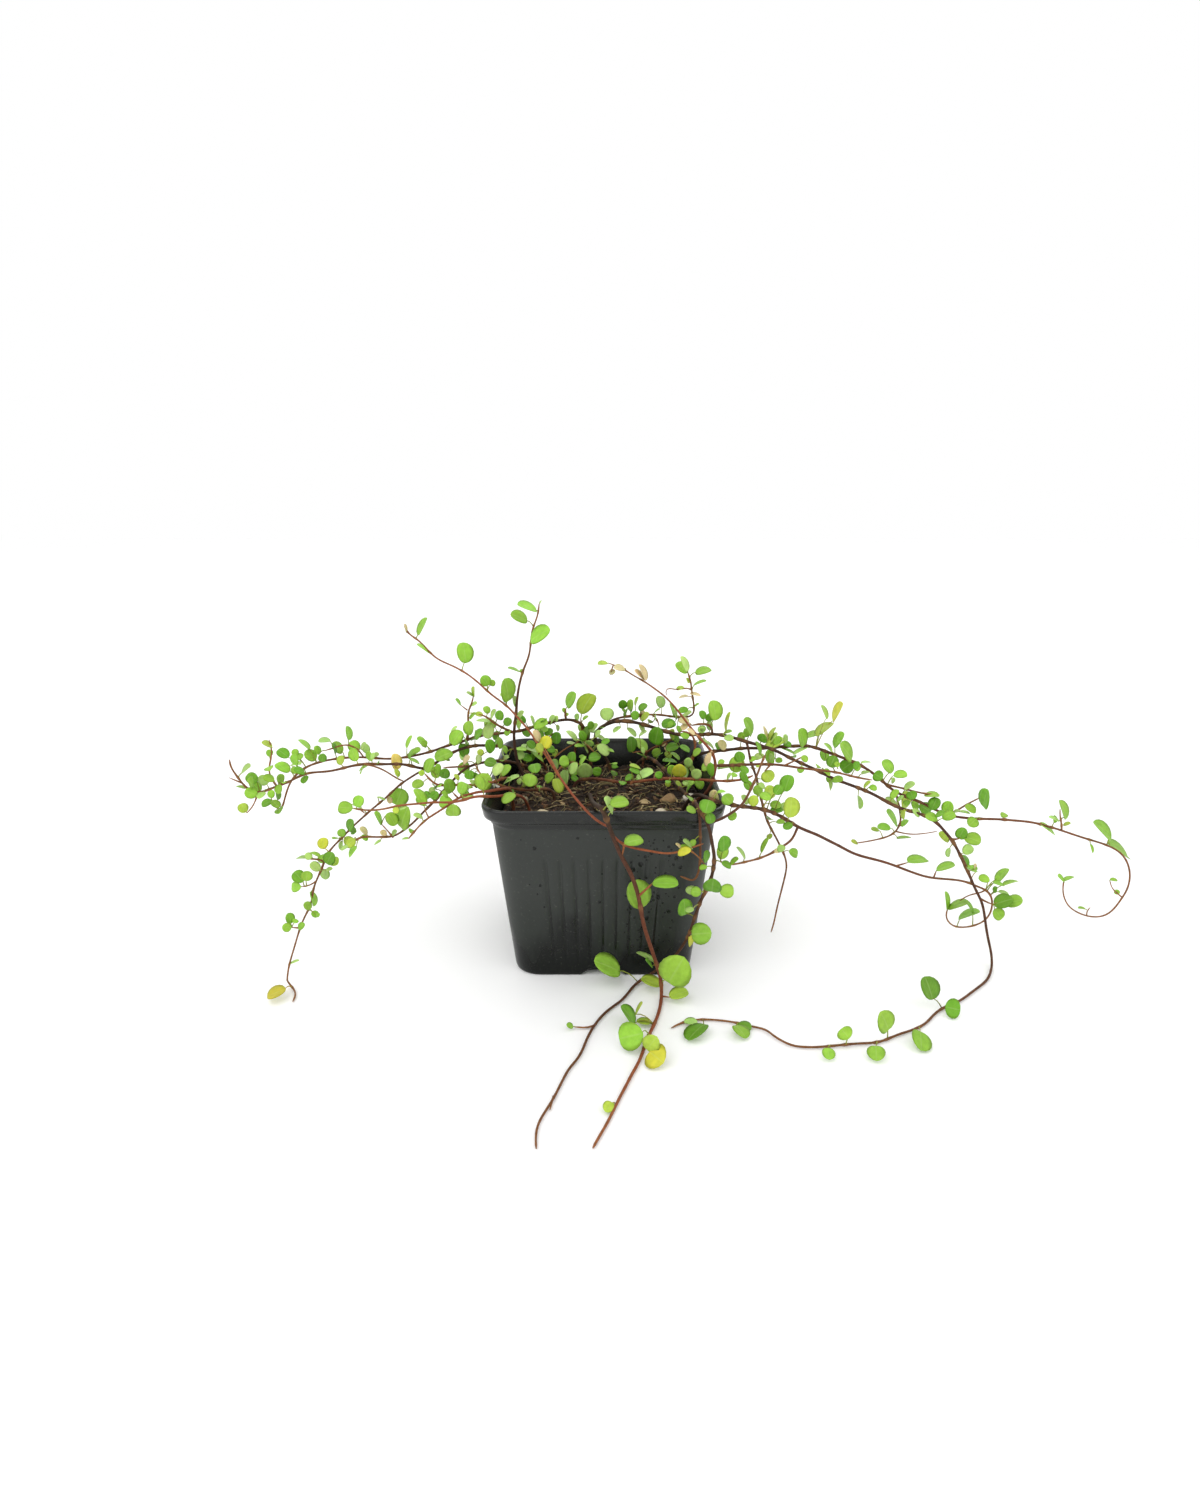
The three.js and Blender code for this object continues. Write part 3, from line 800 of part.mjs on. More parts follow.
function makeSoil(pockets) {
  const rows = 7;
  const bed = [];
  for (const [height, half] of [[FLOOR + CLEAR, 36.6], [3.2, 37.6], [68, 44.1]]) {
    bed.push(squareRing(half, CORNER - 1.5, height));
  }
  const body = loft([...bed, squareRing(44.5, CORNER - 1.5, 76)]);
  const cover = [];
  for (let row = 0; row < rows; row += 1) {
    for (let column = 0; column < rows; column += 1) {
      const x = (column / (rows - 1) - 0.5) * 104;
      const y = (row / (rows - 1) - 0.5) * 104;
      cover.push(new THREE.Vector3(x, y, soilHeight(x, y) + draw(-0.45, 0.45)));
    }
  }
  const faces = [];
  const under = cover.length;
  for (let row = 0; row + 1 < rows; row += 1) {
    for (let column = 0; column + 1 < rows; column += 1) {
      const a = row * rows + column;
      faces.push([a, a + 1, a + 1 + rows], [a, a + 1 + rows, a + rows]);
      faces.push([a + under, a + 1 + rows + under, a + 1 + under]);
      faces.push([a + under, a + rows + under, a + 1 + rows + under]);
    }
  }
  for (let i = 0; i + 1 < rows; i += 1) {
    const edges = [
      [i, i + 1], [(rows - 1) * rows + i + 1, (rows - 1) * rows + i],
      [(i + 1) * rows, i * rows], [i * rows + rows - 1, (i + 1) * rows + rows - 1],
    ];
    for (const [a, b] of edges) {
      faces.push([a, b + under, b], [a, a + under, b + under]);
    }
  }
  const slab = solid([...cover, ...cover.map((spot) => new THREE.Vector3(spot.x, spot.y, -5))], faces);
  let soil = body.intersect(slab);
  for (let side = 0; side < 4; side += 1) {
    soil = soil.subtract(archCutter(side, 1.3 + CLEAR));
  }
  return soil.subtract(Manifold.union(pockets));
}

// Pebble: a rounded lump with flat chips, sunk a third into the soil.
function makePebble([x, y, long, wide, tall, turn], grow) {
  const rings = [];
  for (const [level, reach] of [[-0.8, 0.55], [-0.1, 1], [0.75, 0.62]]) {
    const ring = [];
    for (let i = 0; i < 6; i += 1) {
      const angle = (i / 6) * Math.PI * 2;
      const uneven = 1 + 0.07 * Math.sin(angle * 2 + x) + 0.05 * Math.cos(angle * 3 + y);
      ring.push(new THREE.Vector3(
        (long / 2 + grow) * reach * uneven * Math.cos(angle),
        (wide / 2 + grow) * reach * uneven * Math.sin(angle),
        (tall / 2 + grow) * level,
      ));
    }
    rings.push(ring);
  }
  const seat = soilHeight(x, y) + tall * 0.16;
  return loft(rings).rotate([0, 0, turn]).translate([x, y, seat]);
}

// Round wiry stem along a path, its radius falling from root to tip, both ends closed.
function tube(path, radii, sides) {
  const rings = [];
  let across = null;
  path.forEach((spot, i) => {
    const before = path[Math.max(0, i - 1)];
    const after = path[Math.min(path.length - 1, i + 1)];
    const along = after.clone().sub(before).normalize();
    if (across === null) {
      across = Math.abs(along.z) > 0.8 ? new THREE.Vector3(1, 0, 0) : new THREE.Vector3(0, 0, 1);
    }
    across.addScaledVector(along, -across.dot(along)).normalize();
    const third = along.clone().cross(across);
    const ring = [];
    for (let k = 0; k < sides; k += 1) {
      const angle = (k / sides) * Math.PI * 2;
      ring.push(spot.clone()
        .addScaledVector(across, radii[i] * Math.cos(angle))
        .addScaledVector(third, radii[i] * Math.sin(angle)));
    }
    rings.push(ring);
  });
  return loft(rings);
}

// Leaf: a thin stalk that widens into a blade folded along its midrib, one thickness all over.
const OUTLINE = [[0.2, 0.36], [0.5, 0.5], [0.82, 0.36]];
const SLIM_OUTLINE = [[0.3, 0.43], [0.7, 0.43]];
const STALK_HALF = 0.35;
const ROOTED_HALF = 0.2;
const LONG_STALK = 4;
const BROAD = 8;

function leaf(start, foot, tip, face, width, grow) {
  const along = tip.clone().sub(foot).normalize();
  const long = tip.distanceTo(foot);
  const half = BLADE / 2 + grow;
  const way = foot.clone().sub(start);
  const stalked = way.length() > LONG_STALK;
  const origin = stalked ? foot : start.clone().addScaledVector(along, -grow);
  const across = face.clone().cross(along).normalize();
  const rows = width > BROAD ? OUTLINE : SLIM_OUTLINE;
  const side = (sign) => rows.map(([t, reach]) => foot.clone()
    .addScaledVector(along, t * long)
    .addScaledVector(across, sign * (reach * width + grow))
    .addScaledVector(face, FOLD * width * reach * 2));
  const pair = (spot, turn, reach) => [1, -1].map((sign) => (
    spot.clone().addScaledVector(across.clone().applyQuaternion(turn), sign * (reach + grow))
  ));
  const still = new THREE.Quaternion();
  const bend = new THREE.Quaternion().setFromUnitVectors(along, way.clone().normalize());
  const halfBend = still.clone().slerp(bend, 0.5);
  const [footTurn, footHalf] = stalked ? [halfBend, STALK_HALF] : [still, ROOTED_HALF];
  const [footLeft, footRight] = pair(origin, footTurn, footHalf);
  const end = tip.clone().addScaledVector(along, grow);
  const rim = [footRight, ...side(-1), end, ...side(1).reverse(), footLeft];
  const turns = rim.map(() => still);
  if (stalked) {
    turns[0] = halfBend;
    turns[rim.length - 1] = halfBend;
  }
  const count = rim.length;
  const head = rows.length + 1;
  const faces = [[0, head, count - 1]];
  for (let i = 1; i < head; i += 1) {
    faces.push([0, i, i + 1]);
  }
  for (let i = head; i + 2 < count; i += 1) {
    faces.push([count - 1, i, i + 1]);
  }
  if (stalked) {
    const [left, right] = pair(start, bend, ROOTED_HALF);
    rim.push(left, right);
    turns.push(bend, bend);
    faces.push([count - 1, count, count + 1], [count - 1, count + 1, 0]);
  }
  const all = rim.length;
  const rooted = stalked ? [all - 1, all - 2] : [0, all - 1];
  const lift = (spot, i, sign) => {
    const thick = rooted.includes(i) ? ROOTED_HALF + grow : half;
    return spot.clone().addScaledVector(face.clone().applyQuaternion(turns[i]), sign * thick);
  };
  const spots = [...rim.map((spot, i) => lift(spot, i, 1)), ...rim.map((spot, i) => lift(spot, i, -1))];
  const under = faces.map(([a, b, c]) => [a + all, c + all, b + all]);
  for (let i = 0; i < all; i += 1) {
    const next = (i + 1) % all;
    faces.push([i, i + all, next + all], [i, next + all, next]);
  }
  return solid(spots, [...faces, ...under]);
}

// Stems first: every runner's stems are laid, each bent along the line of sight clear of the pot and
// of the earlier runners, then thinned to the points that its bends need.
const STEP = 4;
const SLACK = 0.5;
const LEAST_WIDTH = 2.7;
const LEAST_STEM = 0.5;

function layStem(rows, thick, thin, joined) {
  const drawn = rows.map(([across, up, depth], i) => {
    const radius = thick + (thin - thick) * (i / (rows.length - 1));
    return new THREE.Vector3(across, up, depth ?? depthAtHeight(up, radius + TABLE_LIFT));
  });
  const curve = new THREE.CatmullRomCurve3(drawn, false, "centripetal");
  const count = Math.max(2, Math.round(curve.getLength() / STEP));
  const spots = [];
  for (let i = 0; i <= count; i += 1) {
    const t = i / count;
    const spot = curve.getPointAt(t);
    const radius = Math.max(LEAST_STEM, thick + (thin - thick) * t);
    spots.push({ across: spot.x, up: spot.y, depth: spot.z, radius, fixed: joined && i === 0 });
  }
  return spots;
}

// The rooted end goes straight down into its hole in the soil.
function rootSpots([x, y], radius) {
  return [SOIL_TOP - ROOT_DEPTH, soilHeight(x, y) + 2.4].map((height) => {
    const grow = 1 - y / EYE.y;
    const across = EYE.x + (x - EYE.x) / grow;
    return { across, up: EYE.z + (height - EYE.z) / grow, depth: y, radius, fixed: true, buried: true };
  });
}

function worldOf(spot) {
  return onSight(spot.across, spot.up, spot.depth);
}

function bendClear(spots, others) {
  for (let round = 0; round < 80; round += 1) {
    const pushes = [...potPushes(spots), ...runnerPushes(spots, others)];
    for (const [place, amount] of pushes) {
      push(spots, place, amount);
    }
    keepAboveTable(spots);
    keepOffSoil(spots);
    if (pushes.length === 0) {
      return;
    }
  }
}

// Each stretch is pushed off the one other stem that it presses on most.
function runnerPushes(spots, others) {
  const pushes = [];
  for (let i = 0; i + 1 < spots.length; i += 1) {
    const here = new THREE.Line3(worldOf(spots[i]), worldOf(spots[i + 1]));
    const depth = (spots[i].depth + spots[i + 1].depth) / 2;
    let worst = 0;
    let way = 0;
    for (const other of others) {
      const press = spots[i].radius + other.radius + 1.2 - nearGap(here, other.line);
      if (press > worst) {
        worst = press;
        way = depth >= other.depth ? 1 : -1;
      }
    }
    if (worst > 0) {
      pushes.push([i + 0.5, way * (worst + 0.25)]);
    }
  }
  return pushes;
}

// The pot's wall as seen in a cut: distance from the pot's middle and height, at mid thickness.
const WALL = [[38.4, 0], [45.7, 72], [47.6, 77], [49, 81.4]].map(([reach, height]) => (
  new THREE.Vector3(reach, 0, height)
));
const WALL_HALF = 1.5;

function wallGap(at) {
  const reach = Math.max(Math.abs(at.x), Math.abs(at.y));
  const spot = new THREE.Vector3(reach, 0, at.z);
  const near = new THREE.Vector3();
  let least = Infinity;
  for (let i = 0; i + 1 < WALL.length; i += 1) {
    new THREE.Line3(WALL[i], WALL[i + 1]).closestPointToPoint(spot, true, near);
    least = Math.min(least, near.distanceTo(spot));
  }
  return least - WALL_HALF;
}

// A stem that would cut the wall slides towards the eye, so it rises over the rim.
function potPushes(spots) {
  const pushes = [];
  for (let i = 0; i + 1 < spots.length; i += 1) {
    const [first, last] = [worldOf(spots[i]), worldOf(spots[i + 1])];
    const gap = Math.min(...[0, 0.25, 0.5, 0.75, 1].map((t) => wallGap(first.clone().lerp(last, t))));
    const press = spots[i].radius + 0.5 - gap;
    if (press > 0 && !spots[i + 1].buried) {
      pushes.push([i + 0.5, -1.5 * press - 0.2]);
    }
  }
  return pushes;
}

function push(spots, centre, amount) {
  spots.forEach((spot, i) => {
    const fall = Math.exp(-(((i - centre) / 4) ** 2));
    if (!spot.fixed) {
      spot.depth += amount * fall;
    }
  });
}

function nearGap(first, second) {
  let best = Infinity;
  const spot = new THREE.Vector3();
  const mate = new THREE.Vector3();
  for (let i = 0; i <= 4; i += 1) {
    first.at(i / 4, spot);
    second.closestPointToPoint(spot, true, mate);
    best = Math.min(best, spot.distanceTo(mate));
    second.at(i / 4, spot);
    first.closestPointToPoint(spot, true, mate);
    best = Math.min(best, spot.distanceTo(mate));
  }
  return best;
}

function keepAboveTable(spots) {
  for (const spot of spots) {
    const lowest = spot.radius + TABLE_LIFT;
    if (!spot.fixed && worldOf(spot).z < lowest) {
      spot.depth = depthAtHeight(spot.up, lowest);
    }
  }
}

function keepOffSoil(spots) {
  for (const spot of spots) {
    const at = worldOf(spot);
    const lowest = soilHeight(at.x, at.y) + 1.6 + spot.radius;
    const inside = Math.max(Math.abs(at.x), Math.abs(at.y)) < 46;
    if (!spot.fixed && inside && at.z < lowest && at.z > 40) {
      spot.depth = depthAtHeight(spot.up, lowest);
    }
  }
}

// Points that lie on the chord of their neighbours, to within SLACK, are left out.
function thinned(spots) {
  const last = spots.length - 1;
  const chord = new THREE.Line3(worldOf(spots[0]), worldOf(spots[last]));
  let worst = 0;
  let far = 0;
  for (let i = 1; i < last; i += 1) {
    const spot = worldOf(spots[i]);
    const off = chord.closestPointToPoint(spot, true, new THREE.Vector3()).distanceTo(spot);
    if (off > far) {
      far = off;
      worst = i;
    }
  }
  if (far < SLACK) {
    return [spots[0], spots[last]];
  }
  return [...thinned(spots.slice(0, worst + 1)), ...thinned(spots.slice(worst)).slice(1)];
}

const laid = [];
const plants = Object.entries(RUNNERS).map(([name, runner]) => {
  const [thick, thin] = runner.girth;
  const stems = [];
  runner.stems.forEach((rows, order) => {
    let start = thick;
    let drawn = rows;
    if (order > 0) {
      const twig = nearestSpot(stems, rows[0][0], rows[0][1]);
      start = Math.min(thick * 0.72, twig.radius * 0.85);
      drawn = [[twig.across, twig.up, twig.depth], ...rows.slice(1)];
    }
    const end = order > 0 ? Math.min(thin, start * 0.7) : thin;
    const spots = layStem(drawn, start, end, order > 0);
    if (order === 0) {
      spots.unshift(...rootSpots(runner.root, thick));
    }
    bendClear(spots, laid.filter((piece) => piece.name !== name));
    const free = spots.slice(order === 0 ? 1 : 0);
    stems.push([...spots.slice(0, order === 0 ? 1 : 0), ...thinned(free)]);
  });
  for (const spots of stems) {
    for (let i = 0; i + 1 < spots.length; i += 1) {
      const line = new THREE.Line3(worldOf(spots[i]), worldOf(spots[i + 1]));
      const depth = (spots[i].depth + spots[i + 1].depth) / 2;
      laid.push({ name, line, radius: spots[i].radius, depth });
    }
  }
  return { name, runner, stems };
});

function nearestSpot(stems, across, up) {
  let best = null;
  let least = Infinity;
  for (const spots of stems) {
    for (let i = spots.filter((spot) => spot.buried).length; i + 1 < spots.length; i += 1) {
      for (let k = 0; k <= 4; k += 1) {
        const t = k / 4;
        const a = spots[i];
        const b = spots[i + 1];
        const mixed = {
          across: a.across + (b.across - a.across) * t,
          up: a.up + (b.up - a.up) * t,
          depth: a.depth + (b.depth - a.depth) * t,
          radius: a.radius + (b.radius - a.radius) * t,
        };
        const gap = Math.hypot(mixed.across - across, mixed.up - up);
        if (gap < least) {
          least = gap;
          best = mixed;
        }
      }
    }
  }
  return best;
}

const pockets = [];
for (const { runner } of plants) {
  const [x, y] = runner.root;
  const radius = (runner.girth[0] + CLEAR + 0.06) / Math.cos(Math.PI / 4);
  pockets.push(loft([ballRing(x, y, radius, SOIL_TOP - ROOT_DEPTH - 0.5, 4), ballRing(x, y, radius, 80, 4)]));
}

// Pebbles: x, y, long, wide, tall, turn.
const PEBBLES = {
  pebble_white: [39.2, -4, 7.4, 6, 5, 10],
  pebble_tan: [29.6, -7.5, 8.6, 6.4, 4.6, 20],
  pebble_cream: [-25.4, -26, 7, 5, 4.4, -20],
  pebble_buff: [18.6, -13, 5.6, 4.6, 4.2, 15],
  pebble_grey: [-4, -26, 6.2, 4.4, 3.6, 40],
  pebble_rim: [24.6, -26, 5.8, 4, 3.8, 5],
  pebble_back: [-36.4, -7, 6, 5, 4.2, 60],
};
for (const row of Object.values(PEBBLES)) {
  pockets.push(makePebble(row, CLEAR));
}

const pot = makePot();
const soil = makeSoil(pockets);

// Leaves next: each blade hangs from the nearest point of its own runner and is swung along the line
// of sight until it is clear of the pot, the soil and everything already placed on other runners.
const placed = [];

function place(name, body) {
  placed.push({ name, body, box: boxOf(body) });
}

function boxOf(body) {
  const { min, max } = body.boundingBox();
  return new THREE.Box3(new THREE.Vector3(...min), new THREE.Vector3(...max));
}

function isClear(name, body) {
  return boxOf(body).min.z >= 0.1 && placed.every((other) => other.name === name || !meets(other, body));
}

function meets(other, body) {
  return other.box.intersectsBox(boxOf(body)) && !other.body.intersect(body).isEmpty();
}

place("pot", pot);
place("soil", soil);
const stones = Object.entries(PEBBLES).map(([name, row]) => {
  const body = makePebble(row, 0);
  place(name, makePebble(row, CLEAR));
  return { name, body };
});

for (const plant of plants) {
  const { runner, stems, name } = plant;
  plant.bodies = stems.map((spots) => tube(spots.map(worldOf), spots.map((spot) => spot.radius), 4));
  for (const body of plant.bodies) {
    place(name, body);
  }
}

const CLEAN_ROOT = 52;
const SWINGS = [0, -1.4, 1.4, -2.8, 2.8, -4.2, 4.2, -6, 6, -9, 9];
const TILTS = [1, -1, 0.4, -0.4, 1.6, -1.6];

function hangLeaf(stems, row, swing, tilt, grow) {
  const [footAcross, footUp, tipAcross, tipUp, width] = row;
  const twig = nearestSpot(stems, footAcross, footUp);
  const foot = onSight(footAcross, footUp, twig.depth + swing);
  const flat = onSight(tipAcross, tipUp, twig.depth + swing);
  const seen = foot.distanceTo(flat);
  const long = Math.max(seen * 1.04, width / 0.9);
  const lean = Math.sqrt(Math.max(0, long * long - seen * seen)) * tilt;
  let depth = twig.depth + swing + lean;
  if (onSight(tipAcross, tipUp, depth).z < 1.4) {
    depth = depthAtHeight(tipUp, 1.4);
  }
  if (foot.z < 1.2) {
    foot.copy(onSight(footAcross, footUp, depthAtHeight(footUp, 1.2)));
  }
  const tip = onSight(tipAcross, tipUp, depth);
  const along = tip.clone().sub(foot).normalize();
  const toEye = EYE.clone().sub(foot).normalize();
  const face = toEye.clone().addScaledVector(along, -toEye.dot(along)).normalize();
  const real = Math.max(width, Math.min(0.82 * long, width * 2.6));
  const roll = Math.acos(Math.min(1, width / real));
  const turned = [roll, -roll].map((angle) => face.clone().applyAxisAngle(along, angle));
  const up = turned[0].z > turned[1].z ? turned[0] : turned[1];
  const stalk = worldOf(twig);
  return leaf(stalk, foot, tip, up, real, grow);
}

for (const { name, runner, stems, bodies } of plants) {
  const own = bodies.map((body) => ({ body, box: boxOf(body) }));
  for (const row of runner.leaves.filter((each) => each[4] >= LEAST_WIDTH)) {
    const choice = clearChoice(name, stems, row, own);
    if (choice !== null) {
      const body = hangLeaf(stems, row, ...choice, 0);
      bodies.push(body);
      own.push({ body, box: boxOf(body) });
      place(name, body);
    }
  }
}

// A leaf's own small shift, and whether it leans to or from the eye first, follow from its place.
function habit([footAcross, footUp, tipAcross, tipUp]) {
  const shift = 0.6 * Math.sin(footAcross * 1.7 + footUp * 2.9);
  return [shift, Math.sin(tipAcross * 2.3 + tipUp * 1.9) > 0 ? 1 : -1];
}

// Of the swings that clear everything else, the one that tangles least with its own runner is kept.
function clearChoice(name, stems, row, own) {
  const [shift, first] = habit(row);
  let best = null;
  let least = Infinity;
  for (const swing of SWINGS) {
    for (const tilt of TILTS) {
      const near = swing + shift;
      const bare = hangLeaf(stems, row, near, tilt * first, 0);
      const tangle = tangleOf(bare, own) + bare.numTri() + Math.abs(swing);
      if (tangle < least && isClear(name, hangLeaf(stems, row, near, tilt * first, CLEAR))) {
        least = tangle;
        best = [near, tilt * first];
      }
      if (least <= CLEAN_ROOT) {
        return best;
      }
    }
  }
  return best;
}

function tangleOf(body, own) {
  const box = boxOf(body);
  let total = 0;
  for (const mate of own) {
    if (mate.box.intersectsBox(box)) {
      total += mate.body.intersect(body).numTri();
    }
  }
  return total;
}

// One body per runner: stems, stalks and blades fused, loose scraps and sealed hollows left out.
function oneBody(bodies) {
  const whole = Manifold.union(bodies).asOriginal().simplify(0.08);
  const parts = whole.decompose();
  return parts.reduce((best, part) => (part.volume() > best.volume() ? part : best));
}

function meshOf(name, body, colour, roughness) {
  const { vertProperties, triVerts, numProp } = body.getMesh();
  const geometry = new THREE.BufferGeometry();
  const position = new Float32Array((vertProperties.length / numProp) * 3);
  for (let i = 0; i < position.length / 3; i += 1) {
    position.set(vertProperties.subarray(i * numProp, i * numProp + 3), i * 3);
  }
  geometry.setAttribute("position", new THREE.BufferAttribute(position, 3));
  geometry.setIndex(new THREE.BufferAttribute(new Uint32Array(triVerts), 1));
  const mesh = new THREE.Mesh(geometry, new THREE.MeshStandardMaterial({ color: colour, roughness }));
  mesh.name = name;
  return mesh;
}

const vine = new THREE.Group();
vine.name = "potted_wire_vine";
vine.add(meshOf("pot", pot.simplify(0.005), 0x33383a, 0.5));
vine.add(meshOf("soil", oneBody([soil]), 0x3a2a1e, 0.95));
for (const { name, body } of stones) {
  vine.add(meshOf(name, body, 0xc9c2b2, 0.7));
}
for (const { name, bodies } of plants) {
  vine.add(meshOf(name, oneBody(bodies), 0x6f9f37, 0.55));
}

export default vine;
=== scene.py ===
"""Potted wire vine: the finished look of a small square nursery pot with its soil, pebbles and wiry runners.

Metres in Blender; the sizes below are millimetres and are scaled when a mesh is made. +Z is up, the
pot stands on z = 0 and its front faces -Y.
"""

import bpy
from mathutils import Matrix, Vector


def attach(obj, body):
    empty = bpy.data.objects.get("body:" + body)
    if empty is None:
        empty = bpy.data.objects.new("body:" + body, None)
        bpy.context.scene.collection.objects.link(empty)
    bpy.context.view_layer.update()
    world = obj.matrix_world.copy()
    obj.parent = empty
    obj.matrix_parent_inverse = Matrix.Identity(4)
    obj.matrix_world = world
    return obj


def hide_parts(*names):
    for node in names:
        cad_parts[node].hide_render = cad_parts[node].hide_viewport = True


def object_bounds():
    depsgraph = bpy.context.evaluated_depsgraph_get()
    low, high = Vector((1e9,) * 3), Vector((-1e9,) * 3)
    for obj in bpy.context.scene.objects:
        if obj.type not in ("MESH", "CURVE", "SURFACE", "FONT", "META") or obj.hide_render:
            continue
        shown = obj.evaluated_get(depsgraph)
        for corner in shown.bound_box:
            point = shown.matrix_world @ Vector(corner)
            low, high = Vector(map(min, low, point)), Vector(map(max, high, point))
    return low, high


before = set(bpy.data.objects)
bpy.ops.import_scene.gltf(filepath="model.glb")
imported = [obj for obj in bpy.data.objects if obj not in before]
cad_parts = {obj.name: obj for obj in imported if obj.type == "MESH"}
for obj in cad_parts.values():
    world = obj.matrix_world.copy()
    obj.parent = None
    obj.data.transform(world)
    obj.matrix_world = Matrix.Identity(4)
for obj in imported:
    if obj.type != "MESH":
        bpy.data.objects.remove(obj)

import math

import bpy
import numpy as np
from bpy.props import FloatProperty, FloatVectorProperty, IntProperty, PointerProperty
from mathutils import Vector
from mathutils.kdtree import KDTree

bl_info = {
    "name": "Potted wire vine",
    "version": (1, 0, 0),
    "blender": (4, 5, 0),
    "location": "3D View > Sidebar > Wire vine",
    "description": "Builds a potted wire vine: pot, soil, pebbles and leafy runners",
    "category": "Object",
}

MM = 0.001
CAD_BOX = [list(corner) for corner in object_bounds()]
LOW, HIGH = (np.array(corner) / MM for corner in CAD_BOX)

# Sizes shared with the solid model, in millimetres.
POT_HEIGHT = 82.0
RIM_HALF = 50.0
FLOOR = 1.6  # thickness of the pot's floor
CORNER = 11.0  # radius of the pot's corners
SOIL_TOP = 70.0
ROOT_DEPTH = 12.0
EYE = np.array([-1.4, -352.0, 206.0])  # where the photograph was taken from
WALL = np.array([[38.4, 0], [45.7, 72], [47.6, 77], [49, 81.4]])  # half widths and heights of the wall
WALL_HALF = 1.5  # half the room that the wall takes
WALL_FOOT = 39.2  # half width of the wall's outside at the table
WALL_SPREAD = 7.1  # how much wider it is at WALL_RISE
WALL_RISE = 72
WALL_INSIDE = 41  # half width of a square that is clear of the wall near its top

# How the solid model lays its stems.
STEP = 4.0  # pitch of a stem's points
SLACK = 0.5  # how far a thinned stem strays from its points
LEAST_STEM = 0.5
TABLE_LIFT = 0.35
STEM_GAP = 1.2  # kept between two stems
RIM_GAP = 0.5  # kept between a stem and the pot
SOIL_GAP = 1.6  # kept between a stem and the soil
SOIL_REACH = 46  # half the square over which stems are held above the soil
SOIL_LOW = 40  # points under this height are beside the pot and not over its soil
PUSH_REACH = 4  # points of a stem over which a push fades
PUSH_ROUNDS = 80
QUARTERS = (0, 0.25, 0.5, 0.75, 1)  # places along a stretch where gaps are measured

# How the solid model hangs its leaves.
LEAST_WIDTH = 2.7  # it has no leaf that is seen narrower
STALK_HALF = 0.35
FOOT_LIFT = 1.2  # least height of a blade's foot
TIP_LIFT = 1.4  # least height of a blade's tip
SWINGS = [0, -1.4, 1.4, -2.8, 2.8, -4.2, 4.2, -6, 6, -9, 9]  # depths that it tries for a leaf
TILTS = [1, -1, 0.4, -0.4, 1.6, -1.6]  # leans that it tries

